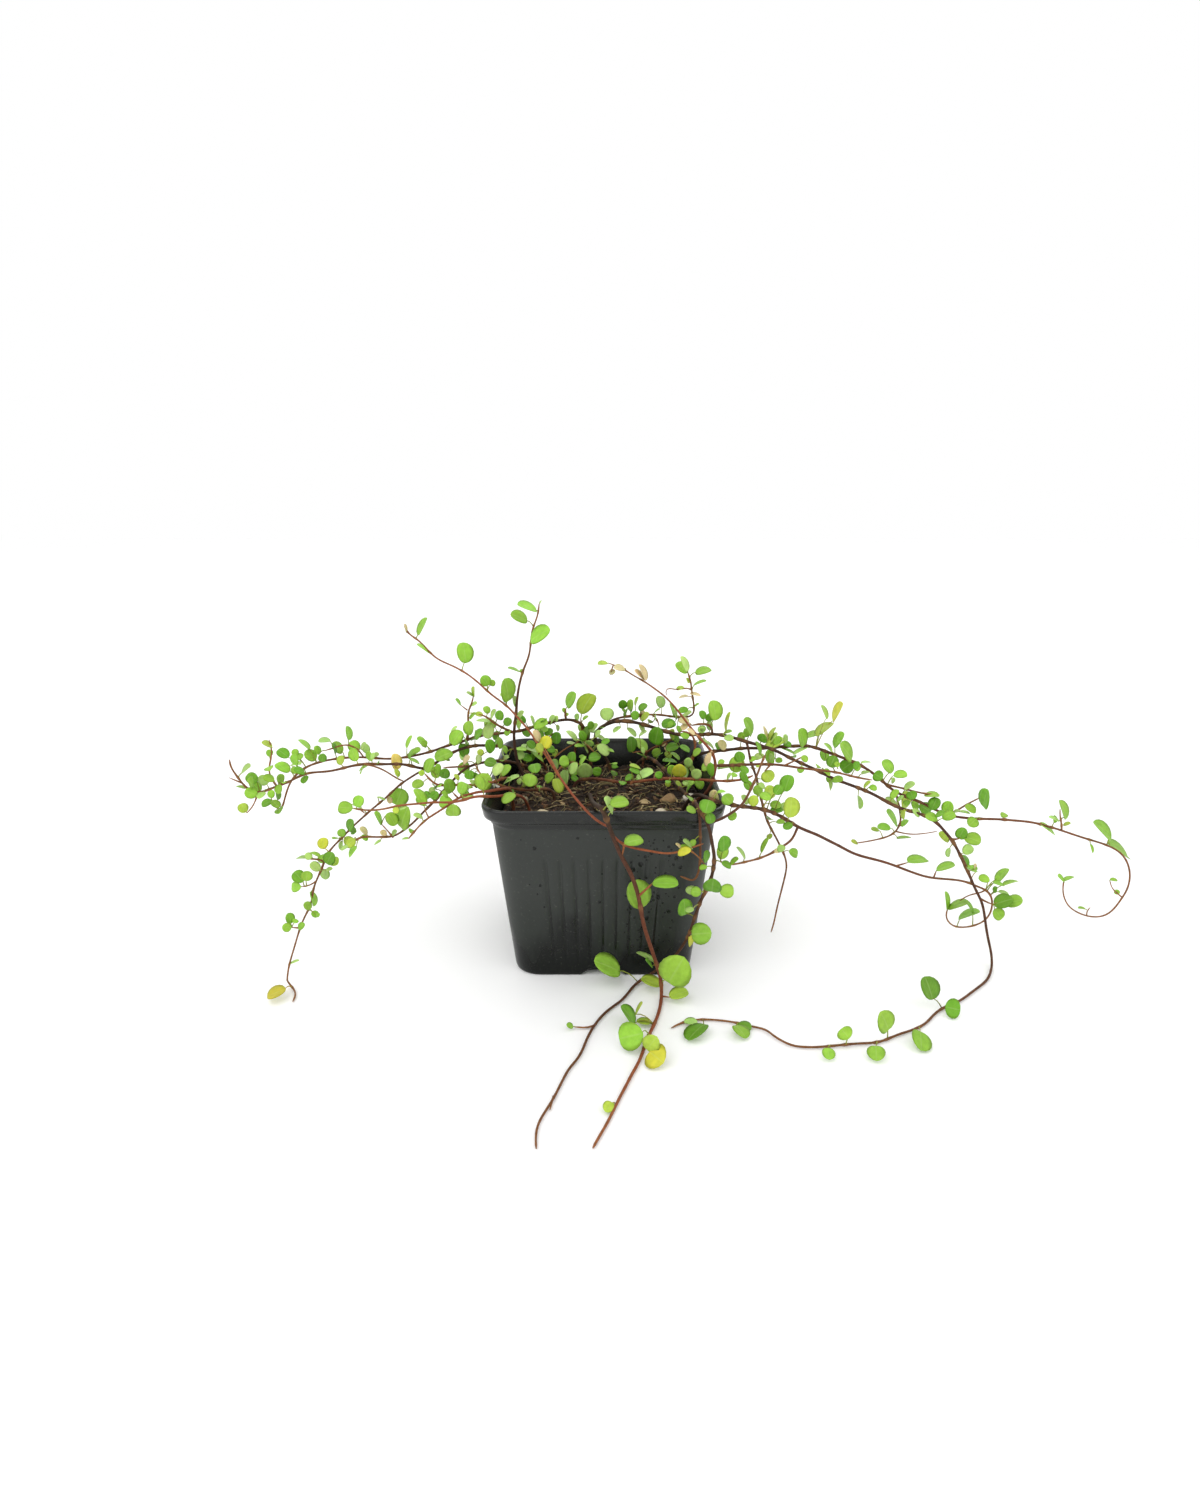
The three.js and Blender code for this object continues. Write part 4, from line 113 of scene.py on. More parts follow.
# Each runner: name, root x, root y, radius at the root, radius at the tips. Then its stems, the rooted
# one first, as points "across up depth" on the upright plane through the pot's middle as seen from
# EYE; depth slides a point along the line of sight, and a point without one lies on the table.
# Then its leaves: foot across, foot up, tip across, tip up, width, tint (mid green where none is given).
RUNNERS = """
front_trail -7 -6 1.15 0.55
stem -6 70 -10, -5 66.6 -22, -2.6 64.6 -38, -1 63.8 -48, 0.4 62 -53.6, 1.6 58 -57, 2.9 53.6 -58.4,
  5.1 48 -58.6, 9 38 -58.6, 12.9 30.8 -58.4, 15.6 23.4 -58, 18.2 12 -57.4, 19.2 5 -57, 20.6 -0.5 -56.4,
  22.4 -6.5 -56, 24.6 -13.4 -55.6, 26.3 -19 -55.4, 28 -24.6 -55, 29.2 -31 -54.6, 29.3 -36, 29.2 -41,
  28.2 -47.4, 26.5 -53, 24.5 -58.4, 22.1 -64.8, 20.6 -71, 18.3 -78, 14.7 -85.7, 11.9 -92.7, 9.1 -99,
  7 -104.5, 3.4 -113.6, 0.4 -120.5, -2.6 -126.6, -5.2 -132.6
stem 2.9 53.6 -58.4, -1 55.6 -58, -6 60.2 -56.6, -9 63.6 -54, -12 67.4 -50, -16 72.8 -44, -20 79 -38,
  -23 84 -33, -26.6 90.4 -27, -30 95.6 -22, -34 102 -17, -38.6 107.4 -13, -42.4 112 -10, -50 117.8 -6,
  -54 122 -4, -60 127 -1, -66 130.4 2, -72.6 133.4 5, -76 137 7, -80.4 142.2 9, -84.4 144.2 11,
  -85.6 147.6 12
stem -20.4 79.6 -37.6, -22.6 85 -33, -24.6 89 -30, -26.4 92.6 -27
stem 5.1 48 -58.6, 7 46.6 -59, 10 44.6 -59, 15 43 -58.6, 21 42 -58, 27 40.6 -57.6, 32 40.2 -57.4,
  37 41.6 -57, 43 44 -56, 47 45.4 -55
stem 10 44.6 -59, 9.6 41 -60, 8.8 38.6 -59
stem 41.6 43.4 -56.2, 45.4 38.6 -55.6, 49.2 32.6 -54
stem 19.4 18 -57.8, 21.4 22.4 -60, 23.4 24.6 -61
stem 29.2 -38, 31.4 -38.2 -60, 33.2 -38.4 -60
leaves -60.2 131.4 -60.8 140.6 7, -50.6 121.4 -52.8 126 4.6, -49.6 121.4 -48 124 3,
  -75.4 135.8 -80.8 139.8 1.6, -79.8 143.6 -75.6 151.4 2.6, -84.8 144.8 -85.6 148.6 1.2 dry,
  -42.2 114.2 -43.4 124.6 6.2, -41.4 115.6 -45.6 117.4 2.4 pale, -27 92.4 -24.4 98.2 5 yellow,
  -27.4 90.6 -30 94.4 3 sallow, -28.4 96 -31.6 100.4 3 dry, 10.2 45.4 18.6 47.8 4.6,
  36.8 42.8 34 45.6 1.2 dry, 42 43 37.4 47 1.8 pale, 41.4 42 35.2 40.2 3.4 yellow, 41 43.4 36.4 43.6 1.8,
  4.4 61 0.4 68.4 2.6 pale, 3.4 65 11.8 66.6 4.4, 18.6 11.6 14.4 26.4 9.6, 23.6 24.6 36 24.4 5,
  32.6 -30 40 -15.4 13, 27 -19.6 16.4 -12.8 2 pale, 28 -20 32.4 -19 2 pale, 24.4 -21 21 -16.8 1.6 deep,
  33.4 -38.6 42.6 -35 5 sallow, 20.6 -59.8 8.4 -63 10, 15.8 -55 9 -43.4 4 deep, 17 -52.6 24 -54 2.6 sallow,
  16.4 -49 20 -41.4 1.2 sallow, 22.4 -69.6 27.6 -61.8 6.6 sallow, 24 -70.8 31.4 -78 9.4 yellow,
  5 -102.8 1.4 -109 4 sallow
left_arch -6 38 0.95 0.5
stem -7 96 36, -8 102 33, -12 105.5 30, -17 106 28, -24 104.5 27, -30 103 26, -37 100.6 25, -45 99.6 24,
  -52.6 98.8 22, -59.4 97.2 20, -62.8 95.7 19, -69.4 94 17, -77.8 90.8 14, -85 89 12, -91.9 87.8 10,
  -98 87.3 9, -105 88 8, -113 88.2 6, -121.3 87.4 4, -129.8 85.6 1, -137.5 82 -3, -142.9 76.5 -6,
  -145.8 70 -8, -147.3 66 -9, -148.5 61.8 -10, -152 64 -11, -152.8 67.5 -12
stem -17 106 28, -17.6 108 28, -16.6 110.8 27
stem -59.4 97.2 20, -60.4 99.5 20, -60 105 22, -60.6 109.5 23, -58 113 24, -57.4 116.5 25
stem -60.6 109.5 23, -63 112.4 23
stem -109 88.2 7, -110 91.4 6, -113.5 94.2 5, -117.5 94.3 4, -121.5 92.4 3, -125.5 91.4 2
leaves -16 111.6 -12 118 4.6, -17.4 109.2 -17.6 111.4 1.8, -17 107.6 -15.4 108.8 1.6,
  -12 105.6 -11 108.6 2.4 pale, -9 105.6 -6.6 107.6 1.5, -21 104.8 -20.6 107.8 2.2 pale,
  -24 103.6 -21.4 107.6 2.4 pale, -31 102.8 -32.4 107.6 1.5 pale, -31 102.4 -24.6 104.6 4.6,
  -30 100.4 -24.6 101 3.2, -21 103.4 -20 100.6 1.8 pale, -36 101 -33 98 3.4 deep, -38 101.4 -36.4 106 2.4,
  -60.1 98.5 -59.6 105.3 4.7, -68 94.2 -63.4 100.6 6.2, -68 98.8 -65.2 102.8 1.5 pale,
  -79.6 93 -83.7 97.3 3, -87.5 89.4 -82.3 91.6 2.8, -88.6 92.4 -85.7 98.5 1.8, -63.2 88.2 -63.4 94.8 5 deep,
  -61.4 90.6 -64.7 87.6 3.8 pale, -63.2 112.6 -65.4 115.4 1.5, -57.4 116.6 -60.4 118.4 1.4 pale,
  -57 116.4 -56.8 121 1.5 sallow, -58.4 112.4 -55.8 113.6 1.7 pale, -59.4 106 -56.6 109.2 1.6,
  -57 108.4 -53.4 108 2.4 sallow, -105.6 86.4 -105.4 91 3, -104 88.6 -101.2 89.9 2 pale,
  -106.2 84.6 -111 81.6 1.4, -114.4 96.2 -114.6 103 2.9, -110.8 90.8 -113.5 95.8 5.4,
  -109.3 92 -106.6 94.8 2 pale, -117.7 90.4 -122.1 94.8 4.4, -122.5 95.9 -128.2 95.6 2.4 pale,
  -132.6 91.9 -136.9 96.6 2.3, -128 89.7 -130.2 93.3 3, -129.8 87.4 -135 90.6 5,
  -127.6 86 -126.4 90 3.6 deep, -142.4 88 -146.8 91.8 4.6 deep, -139.4 88.6 -138.6 92.2 3,
  -139.9 84.4 -139 89.6 3.4, -138.6 87 -135.6 89.6 2.6, -143.1 80.8 -148.4 85.2 4.6,
  -142 84.2 -137 84.9 1.6 pale, -152.6 68.3 -151.8 72.4 3, -152.4 66.8 -157.6 64.6 3.2 deep,
  -152.6 67.2 -149.6 63.6 3.4
left_spray -38 34 1.0 0.5
stem -37 88 32, -42 93 28, -50 93.6 22, -57.7 93.8 17, -64 92.2 13, -70 89.4 9, -75.8 85.6 5, -81.3 82.2 2,
  -84.7 83.3 0, -88.4 84.5 -3, -92.4 85 -5, -100.6 84.8 -8, -108.9 85 -10, -115.2 83.8 -12, -124.2 81.4 -15,
  -135.6 80.5 -18, -141.1 77.6 -20, -145 75.6 -21, -150 74.1 -23, -157.1 70.9 -25, -160.6 71 -26,
  -163.5 73.1 -27, -165.8 76.8 -28, -167.8 80.7 -29, -169.8 84 -30, -169.3 87 -31
stem -165.8 76.8 -28, -170.8 78.4 -30
stem -158.8 70.2 -26, -160.7 65.5 -27, -163.3 61.8 -28, -164.8 61 -28
stem -150 74.1 -23, -152.6 80.6 -23, -150.6 86.8 -23, -149.2 92 -23, -150.2 96.6 -23
stem -81.3 82.2 2, -84.3 80.7 0, -88.9 77.8 -3, -93 75 -6, -101 67.5 -12, -105.5 64 -15, -110 60 -18,
  -116.5 54.2 -22, -123 47.5 -26, -129 41.5 -30, -132.5 34 -33, -136 27 -36, -138.5 22 -38, -140 14 -41,
  -143.6 8 -44, -147 1 -47, -149.6 -6 -50, -152.6 -14 -53, -155.2 -21 -56, -156.4 -26.5 -58.5, -156.4 -29.8,
  -155 -32.4, -153 -35.5, -155.4 -41
stem -108.9 85 -10, -104 84 -11, -99.3 81.9 -10, -96 79.4 -9, -93 77 -7.4, -91 76.6 -5
stem -136 27 -36, -138.4 23.6 -38, -143.6 23 -40
stem -132.5 34 -33, -134.5 38 -34, -139 37.6 -36
stem -147 1 -47, -148.6 -0.6 -49, -151 1 -50
leaves -68 90.4 -76 86.9 5.6, -80.2 80.6 -77 87.6 4.4, -75.9 78 -75.5 84.2 4.6,
  -72.8 78 -71.4 82.9 4.6 deep, -87.8 87.3 -83.3 85 1.5, -94.2 82 -94.4 90 4.7 gold,
  -93.4 78.6 -94.6 82.4 2.2 sallow, -92 73 -95.6 65 8.4, -99 69 -98 65.6 2.4 dry,
  -104 69 -100.4 67.2 1 pale, -149.2 93 -153.7 95.3 2.4 sallow, -164.8 80.4 -160 84 2 pale,
  -158 76.2 -162.4 79.8 4.6 deep, -153.8 75 -156.6 79.4 4.2 pale, -150.2 77 -155.2 78.6 3.2,
  -148.4 75.4 -145.4 79.6 3.4, -147.6 75 -149.4 70.4 3, -157.4 71.6 -160.6 76 4.4, -159 69.8 -164.4 72 4.6,
  -164 73 -167.8 74.2 1.3, -165.9 61 -166.6 65.8 4.2 sallow, -118.5 52 -116 57.6 3.6 deep,
  -121.6 49 -122.4 53 3.4, -121 48.6 -117.4 44 4.4 sallow, -122 47 -123 42 1.8 pale,
  -131.6 42.6 -130.4 48.6 4.4 yellow, -133.4 38.4 -137.6 41 1.6, -137.4 38 -140.2 40.2 3 pale,
  -139.6 38 -144.6 37.8 1.4 pale, -131.6 35.6 -133 39.6 4, -130.6 35 -127 41 5.2 deep,
  -134 32 -138.6 35 3.8 pale, -131.4 31.4 -128 32.6 1.6 pale, -142.6 25.6 -146.4 31 5.2 deep,
  -141.4 26 -140 31.4 4.6, -144 23 -148.6 22.8 4.2, -140 20.4 -139 12.4 2.6, -141.4 10.6 -142.8 15 3.2,
  -140.4 9.6 -137.6 7 2.8, -138.6 7.6 -136.6 8.4 2, -151.4 3 -151.8 9 3.6, -149.6 3.4 -148.4 5.6 2.6,
  -151.4 0.4 -155.6 1.8 3.6, -148 0.8 -144.4 2.8 2.8, -154.4 -19.4 -149.4 -17.2 1 pale,
  -158 -34 -168 -38.4 4.6 yellow
left_low -40.5 20 0.85 0.5
stem -46 78 14, -50 76 8, -56 75 0, -61.3 74.6 -6, -67 75 -11, -73 74.3 -16, -76 74.5 -18, -79 77 -20,
  -81 80 -21
stem -50 75.4 8, -53.8 78 7, -57.6 82.4 6, -58 85 5
leaves -81.6 80 -83.8 81.4 2.6 sallow, -51.6 79.6 -57.4 73.6 7.4, -57.8 73.2 -61 77.2 2 pale,
  -71.8 77.6 -69.6 71 5.2, -66 77 -67.8 80 1.8 sallow, -60.6 82 -60.9 77.4 4.6 deep,
  -58.6 80.8 -57.8 78 2.6 deep, -61.6 86 -64.6 80.8 5.2, -50 90.6 -52.4 96.3 4.6 deep,
  -54.8 88.8 -55.9 92 2.9 sallow, -48.4 84.8 -53.7 86.2 4.2 deep, -49.8 79.5 -45.5 84.8 4 pale
left_drop -30 24 0.95 0.5
stem -35 84 22, -42 86 16, -48 86.6 11, -53 86 6, -58 84.8 1, -62 83.4 -3, -65.5 80.3 -6, -68.6 77 -9,
  -73 72.3 -13, -77 67.4 -16, -82.3 62.4 -19, -86.6 57.6 -23, -90 54.4 -26, -94.5 51.2 -29, -98 48.6 -31,
  -103.4 49.3 -34, -106.6 48.4 -36, -112.6 49.6 -39, -117.6 46 -42
stem -60 84.2 -1, -66 83.6 -4, -72.6 83.2 -8
stem -98 48.6 -31, -99.6 51 -32, -103 55.4 -33
leaves -94 53.4 -89.8 64 6.8, -99.8 61 -96.6 54.6 5, -103.2 55 -105.9 61.3 2.2, -98.6 50 -96 52 2 pale,
  -101 50.2 -104 51.6 2.4 dry, -104 46.8 -107.2 45 1.2 pale, -110 50.2 -113.4 53.4 2.4 dry,
  -113 49.4 -110 47.4 2.2, -116 47.8 -120 44.6 3.8 sallow, -119 44.4 -123 42 1.6 pale,
  -79.8 68.4 -82.6 71 3.6 deep, -79.3 68.4 -75.6 71.2 3.8 deep, -79.5 70.4 -77 73.4 3 pale,
  -63.4 85.2 -60.2 88.6 2.6 dry
left_front -39 -21 0.9 0.45
stem -42.4 73 -23, -46 73 -27, -52 71.8 -29, -58.8 71.1 -18, -63.4 69.5 -22, -66.9 68.7 -25, -70.6 65.1 -28,
  -74.6 62.8 -31, -78.6 60 -34, -82.1 57.9 -37, -86 54 -39, -89 50.4 -41, -91 48 -42
stem -66.9 68.7 -25, -68.6 69 -26, -69.2 71.4 -27
stem -82.1 57.9 -37, -82.6 60.6 -36, -82.4 63.6 -35
leaves -69.5 66 -75.4 67 5.4, -69 65.4 -69.4 59.4 6.2, -82.5 64.2 -86.6 72.8 3.8, -83.6 58.4 -88 60 2 pale,
  -91 48 -94 47.8 1 pale, -64 69 -59.6 68.6 1.8 pale
left_brown -32 -22 0.85 0.45
stem -37 69.4 -26, -42 70 -30, -46 69.6 -34, -50.5 69 -38, -55 69.3 -42, -59.4 69.2 -45, -64 67.4 -48,
  -70 66 -51, -76.6 66.4 -53, -82 66 -54.6, -86 65.4 -55.6, -91 65.2 -56.6, -98 63.8 -57.6, -102.4 62.5 -58,
  -107.2 62.3 -58, -112 62.4 -58, -115 63.2 -58
stem -112 62.4 -58, -110 60.6 -57
leaves -115.6 63.2 -122.4 63.8 4.8, -113.6 64 -111.3 69.6 4, -40.4 70.4 -46.2 65.8 4,
  -94.6 63.4 -97 61.2 2.4 sallow, -94.2 62.8 -90.6 64.6 2 pale
upright -34 6 1.0 0.4
stem -38.4 84 6, -39.8 92 5, -40 100 4, -38.8 108 3, -38 116 2, -36.8 122.4 1, -34.8 129 0, -32.2 134.6 -1,
  -31.4 140 -2, -30.8 146 -3, -28.6 150.6 -4, -27.6 153.6 -4, -27.4 157 -4
stem -40 100 4, -44 101.6 3, -48 103.8 1, -50.4 105.4 0, -52 107.8 -1, -55.4 108.4 -2
leaves -27.2 157 -24.4 162 1.8 pale, -28.4 154 -37 157 3.4, -32.6 149.6 -39.8 152.8 4.6,
  -31.4 141 -22.8 146.2 6, -36.6 127.6 -41.8 129.4 1.2, -36.6 127.8 -34.8 128.6 1,
  -38.8 112 -40 116.6 2.2 pale, -37.6 106.6 -35.4 110 2.2 pale, -51 108.6 -52.6 112 3,
  -50 106.4 -47.6 110.4 1.8 pale, -46.4 105.6 -45.6 110.2 3.8 deep, -43.8 103 -41.4 106.6 3.6 deep,
  -50 104.6 -56.7 105.4 1.6 pale, -50.2 104 -51.6 96.8 5 pale, -53.6 101 -57.4 97 3.2 deep,
  -47.4 98 -46.6 92 2.6, -41.8 101.4 -43.8 98.4 2.6
back_runner 4 34 1.05 0.5
stem -1 92 34, -4.2 97 34, -3 101 33, 0 103 32, 5 105 30, 10 105.4 28, 16 104.2 26, 22 102.4 24,
  28 100.4 22, 34 98.8 20, 41 98.8 18, 50 99.2 15, 56 98.2 13, 63 96 10, 70 94 8, 78 91.4 5, 85 87.6 3,
  92 84.4 1, 98 81.6 -1, 104 78.4 -3, 110 76 -5, 117 73.4 -8, 124 70.4 -10, 130 67 -12, 136 63.8 -14,
  143 61.6 -16, 150 59.4 -18, 155 56.4 -20, 158.6 52.6 -21.5, 163.8 46.8 -23, 168 40 -24, 171.3 34.4 -25,
  174.1 29 -26, 178.4 20.8 -27, 182.1 14.9 -28, 184.3 7.8 -29, 186.2 0.5 -30, 188.2 -6 -31, 190.5 -12.6 -32,
  191.8 -18.5, 192 -22.7, 191.2 -27.7, 189.6 -30.2, 186.1 -33.6, 179 -40.5, 174.8 -43, 170.6 -44.8,
  166.5 -49.2, 163.5 -54, 158 -57.5, 150 -60.6, 141 -65.2, 129.4 -66, 116.8 -67.5, 108 -68.3, 100.7 -68,
  96.8 -67.6, 92 -64.6, 86.7 -61.5, 83.4 -57.4, 76.2 -56, 69.2 -53.8, 62.5 -52.4, 54.9 -51.6, 47.8 -51.5,
  40.7 -53, 34.8 -56.6
stem 0 103 32, 4 106 33, 8 107 34, 12 107.5 35, 17 108 35, 22 108.3 34, 27 108 33, 32 107 32, 37 106.8 31,
  40.4 107 30, 40.6 110 30, 39.8 115 29, 38.8 120 28, 38.4 125 27, 37.2 127 27
stem 17 108 35, 20.4 108.8 30, 24.4 106.4 25, 25 103 23
stem 38.6 121.4 28, 36 121 26, 33.4 119 25, 31.4 119.4 24, 29 121 23, 27 120.6 22, 26.4 118.8 22, 28 117 22
stem 50 99.2 15, 49.6 102 15, 47.4 104 16, 43 104 17, 39.6 103.2 18
stem 63 96 10, 64.6 94 9, 65.8 92 8, 66.4 87 7, 68 83.6 6, 70 78.6 5, 71.4 72.6 3, 73.7 65 0, 75 60.6 -2,
  77 55 -4, 79.6 51 -5, 82.6 45.4 -6, 84.8 41 -7, 86.9 36 -7, 87 32.6 -7, 86.2 26.6 -7, 84.9 18.6 -7,
  83.8 11.6 -7, 82.8 3 -7, 81.8 -1.6 -7
stem 163.8 46.8 -23, 166.4 48 -24
stem 182.1 14.9 -28, 184.6 14 -29, 187.4 13.6 -30
leaves 1.6 105.4 1.8 111.4 6.4 pale, 9 111 8.4 115 4.2 deep, 12 109.6 13 115 3.2,
  14.2 112 15.6 116.2 1.4 sallow, 16 110 19.4 113 3.2 deep, 14.2 105.6 14 110 3.8 deep,
  17 105.6 20.6 108.6 3 sallow, 16.6 105.6 18.4 110 2.4 dry, 25 102.4 23.4 94.2 7.2 deep,
  8 102.6 4.6 99.8 2 pale, 10.6 102 14.6 97.8 2.4 pale, 16 103.8 18 100 2.2 pale,
  25.8 111.2 24.4 116.8 4.4 pale, 31.6 106.6 29.4 113.4 1.6, 32.4 106 31.4 110.4 1.4 pale,
  35.6 107.2 39.4 109.4 2 pale, 32.4 104.4 26.2 102.8 4.8 deep, 33 103 34.6 99.8 2.4,
  31.8 101.4 31 96.4 2.6 sallow, 31.4 98.4 33.8 95.4 3.2 deep, 34.8 99 38.6 97.4 3,
  38.4 104.4 33.6 105.8 3.4 dry, 37.6 103.8 35.2 101 2.8 dry, 36.8 127 31.8 131.6 4.6,
  36.6 127.6 33.8 134.6 3 pale, 40.6 126.4 47.2 128.8 3.8, 39.6 121.4 45.4 123.6 1.4,
  35.6 120.8 32.4 119.4 2 sallow, 37.6 122.4 36.6 125 1.4 sallow, 38.4 117.6 43.2 116.8 1.6 dry,
  37.6 116.6 33.4 115.8 1.3 dry, 40.4 111.8 42.6 113.2 1, 45 106 43.2 110 3.2 deep,
  47 105 47.6 108.8 3.6 deep, 50 105.4 48.4 114.8 6.4, 43.4 103 45 99.8 3.8 pale, 46 96.6 43 94.6 2,
  55.2 99.6 56.6 109.4 1.6 sallow, 66.6 98.6 62.6 106.2 4, 54 99.4 57.8 100.4 1.6,
  54.4 97.6 58.6 96.6 3 pale, 66.4 86.2 69.2 88.2 2.4, 102 79 104.4 76.6 3, 104.6 76.6 109.8 77.6 3,
  103 77 104.4 72.4 1.8, 121.8 73.8 125.6 72.6 2.6, 119.4 73.4 122.4 76.4 1.6 sallow,
  130 67.4 136.4 64.6 2.4 pale, 139.6 62.6 139 58 2.2 sallow, 143 63 146.6 59 2.6 pale,
  149.4 58.8 155 58.6 4, 162 46.4 156.6 51 3.4 sallow, 166.4 48 168.4 53.6 4.8 deep, 169 48.8 177 46 5.4,
  171.4 32.4 169.6 39.8 2.8 deep, 172 32.4 175.4 33.6 2, 188 13.4 196.6 16.4 6 deep,
  193.6 14 201.6 15.8 5.2, 188.4 11 193 5.6 5, 165 -40 159.4 -26.4 7 deep, 172 -44 180 -46 7.6 deep,
  145 -58 139.6 -47 7, 161.2 -58.6 163 -70.4 6.8, 139.6 -67.4 141 -76.8 6.4, 125.6 -63 121 -57 6,
  115 -68.6 116.6 -76 4.6, 51.8 -54.4 43.6 -64.2 5.6 deep, 41 -52.8 48 -53.6 2.6 pale, 67 -55 73 -63 4.6,
  68 -54.8 75.4 -57.6 4 deep
far_curl 30 22 1.05 0.45
stem 32 82 22, 38 87 22, 44 90 21, 50 91 20, 57 91.8 19, 65 92.6 17, 72 92.4 15, 80 93.2 13, 86 93.4 12,
  92 93.8 10, 98 92 8, 104 89.6 6, 110 87.4 4, 115 85.4 2, 120 82.6 0, 125 79 -2, 129 75.6 -3, 133 72 -4,
  138 69.6 -5, 143 67.8 -6, 150 64.6 -8, 155 61.8 -9, 160 59.8 -10, 167 58.6 -11, 175 58 -12, 183 57.9 -12,
  191 57.2 -12, 199 56.4 -11, 206 54.6 -10, 212 52.8 -9, 220 50 -8, 228 47.4 -7, 234 45.6 -6, 240 43 -5,
  244.5 40 -4, 248 35.4 -3, 250.2 30 -2, 250.8 25 -1, 250.2 20 0, 248.4 16 1, 246.4 11.4 2, 243.4 7.6 3,
  239.4 6.6 4, 233.5 7.2 6, 227.4 10 8, 223.8 12.5 9, 221.4 16.4 10, 219.6 21 11, 219.4 26.2 11
stem 129 75.6 -3, 135 73.8 -5, 141 72.2 -7, 147 70.6 -8, 154.6 70 -8
stem 134 71.4 -4, 135.8 66.4 -2, 137.4 62 0, 138.4 57.6 1, 138 53.8 2, 136.4 51 2, 134 49.2 3, 129 47.8 4,
  124 46.6 5, 119 45.8 6
stem 137 51.6 2, 143 50.2 4, 150 50.6 6, 156 51.8 8
stem 160 59.8 -10, 163 61.6 -9, 167 64.8 -8, 173.4 68.6 -7
stem 212 52.8 -9, 213.4 55.4 -10, 211.6 59.6 -11, 211.2 63 -12
stem 248.4 16 1, 247.4 18.6 0, 244.6 20.6 -1, 242 23.4 -2, 241.2 26.4 -2
stem 233.5 7.2 6, 232.6 11 5, 234.6 12 5
leaves 52.4 91.6 50.8 95.2 2.6 deep, 54.8 91.6 52 96.2 3.6 dry, 50 92 46 95.4 1.4 pale,
  74 93 71.6 103 1.6 dry, 74.4 95 77.4 102.4 2 sallow, 75 94.6 78.4 99.4 2 pale, 74 92.4 81.4 97 5 sallow,
  76.6 92 76 84.4 4.6, 78 86.6 81.4 86.6 2.6, 82.4 94.6 81 98.8 2.4 pale, 85 93.4 81 94.8 2.6 deep,
  80.6 92.4 87 89.4 1.2, 92.4 93 86 89.4 1.8 pale, 90.4 93.4 87.6 101.4 4.6, 91.6 97.4 97.8 100 3,
  95.8 98 102.6 104.4 4 sallow, 102.6 105 106.4 113.4 3.4 yellow, 99.8 106 96.6 112.6 2 pale,
  104 93 108.2 99.6 4, 103.4 90.6 99.4 94.8 1.6 pale, 101 86.4 98.6 91.6 4, 112.6 86.8 106.6 94.6 5,
  113.4 86 108.4 82 6.4 deep, 113.8 85.2 116.4 81.6 3, 117 85.4 121.4 85.8 1 pale,
  127.6 77.8 123.4 80.4 5 deep, 131.6 80.6 126.6 86.6 4.4, 132.4 79.4 138.8 79.6 3.6,
  132 78.4 132.6 75.6 1.8 pale, 138 72.8 142.8 75.6 2.8 pale, 137.6 71.6 139.6 63 4.6 sallow,
  142.8 67.6 141 71.8 4.6 deep, 142 66.4 145.6 62.6 3.4, 147.6 69.4 154.8 69.4 2.6,
  152 62.4 153.8 68.6 5 deep, 145.8 65 151.6 61.4 5.6 deep, 158.8 60.6 160 66.8 5, 167 64.4 172.6 61.4 3.4,
  176 63.6 176.6 72.6 4.8 deep, 173.2 58 170.2 54.4 5, 164.4 61.6 170 60.6 1.2 pale, 136.8 54.4 131 62 2.6,
  139 54 141.6 57.6 2.4, 134 53 127.6 54 3.4, 128.6 52.4 125 52.6 2.2 sallow, 137.4 48 144 48.6 1.4,
  119.4 45.6 116.2 46.6 2 sallow, 203 55.6 211 50 1.8, 214.6 57.6 210 67.4 3, 212 56.6 206.6 59 1.4 pale,
  214.2 54.6 217.4 56 1.6 sallow, 237.6 47 227.6 56.6 4, 236.6 45.4 247.4 38.8 3.8, 241.2 26.6 245 26.2 1.6,
  246 18.8 245.6 21.6 2.4, 219.6 26 216 28.8 2, 219.6 26 223.6 28.4 2, 232.6 11 228.6 11.6 1.2
mid_runner 38 10 0.95 0.5
stem 43 80 8, 49 84 6, 57 84.2 3, 64 84.6 0, 70 84.8 -2, 77 84.8 -4, 84 84 -6, 91 82.8 -8, 98 82 -10,
  104 81.4 -11, 110 80 -12, 116 78.4 -13, 123 77.2 -14
stem 84 84 -6, 88 87 -6, 90.6 88.6 -6
stem 77 84.8 -4, 73.6 81.6 -6
stem 104 81.4 -11, 107 82.6 -11, 108.4 81 -11
leaves 59.4 81 62 88.4 6.6, 62.4 86 61 91 4.6 deep, 73.4 81.4 77 76.6 6 sallow, 52.4 84.6 54.8 86.8 2.4,
  52 82.4 57.4 83.4 1.4 pale, 89.6 88.4 92.8 86.4 2.8, 103 83.4 105 88.8 5.2 deep, 100.4 82 103.6 79.8 2.4,
  105 85.6 107.4 84 2.4, 72 84.6 69.6 83.4 1.6 sallow
low_runner 34 -24 1.1 0.45
stem 38.6 66 -27, 42 70 -33, 46 69.4 -39, 50 67.4 -44, 55 66.3 -45, 59 65 -43, 66 64 -41, 71.3 63.4 -39,
  76.8 62 -37, 81.1 60 -35.4, 85.4 57.5 -34, 89.6 54.6 -33, 95 52 -32, 100.2 50 -31, 105.6 47 -30,
  110.8 44.4 -29, 115.5 41.6 -28, 119.9 39.6 -27, 126 37.9 -26, 133 36 -25, 140.3 33.2 -24, 147.8 30.2 -23,
  155 27.9 -22, 164.2 27 -21, 170.6 26.3 -20.4, 175.8 24.6 -20, 178.9 22.9 -20, 183.1 21.6 -20,
  185.6 19.2 -20, 186.9 16.4 -20, 187.4 12.6 -20, 187 8.4 -19, 185.4 5 -18, 182.3 2.8 -17, 178.2 1.4 -16,
  174.1 0.9 -15, 169.7 1.4 -14, 167.2 3.7 -13, 165.2 6.5 -12, 166 11 -12
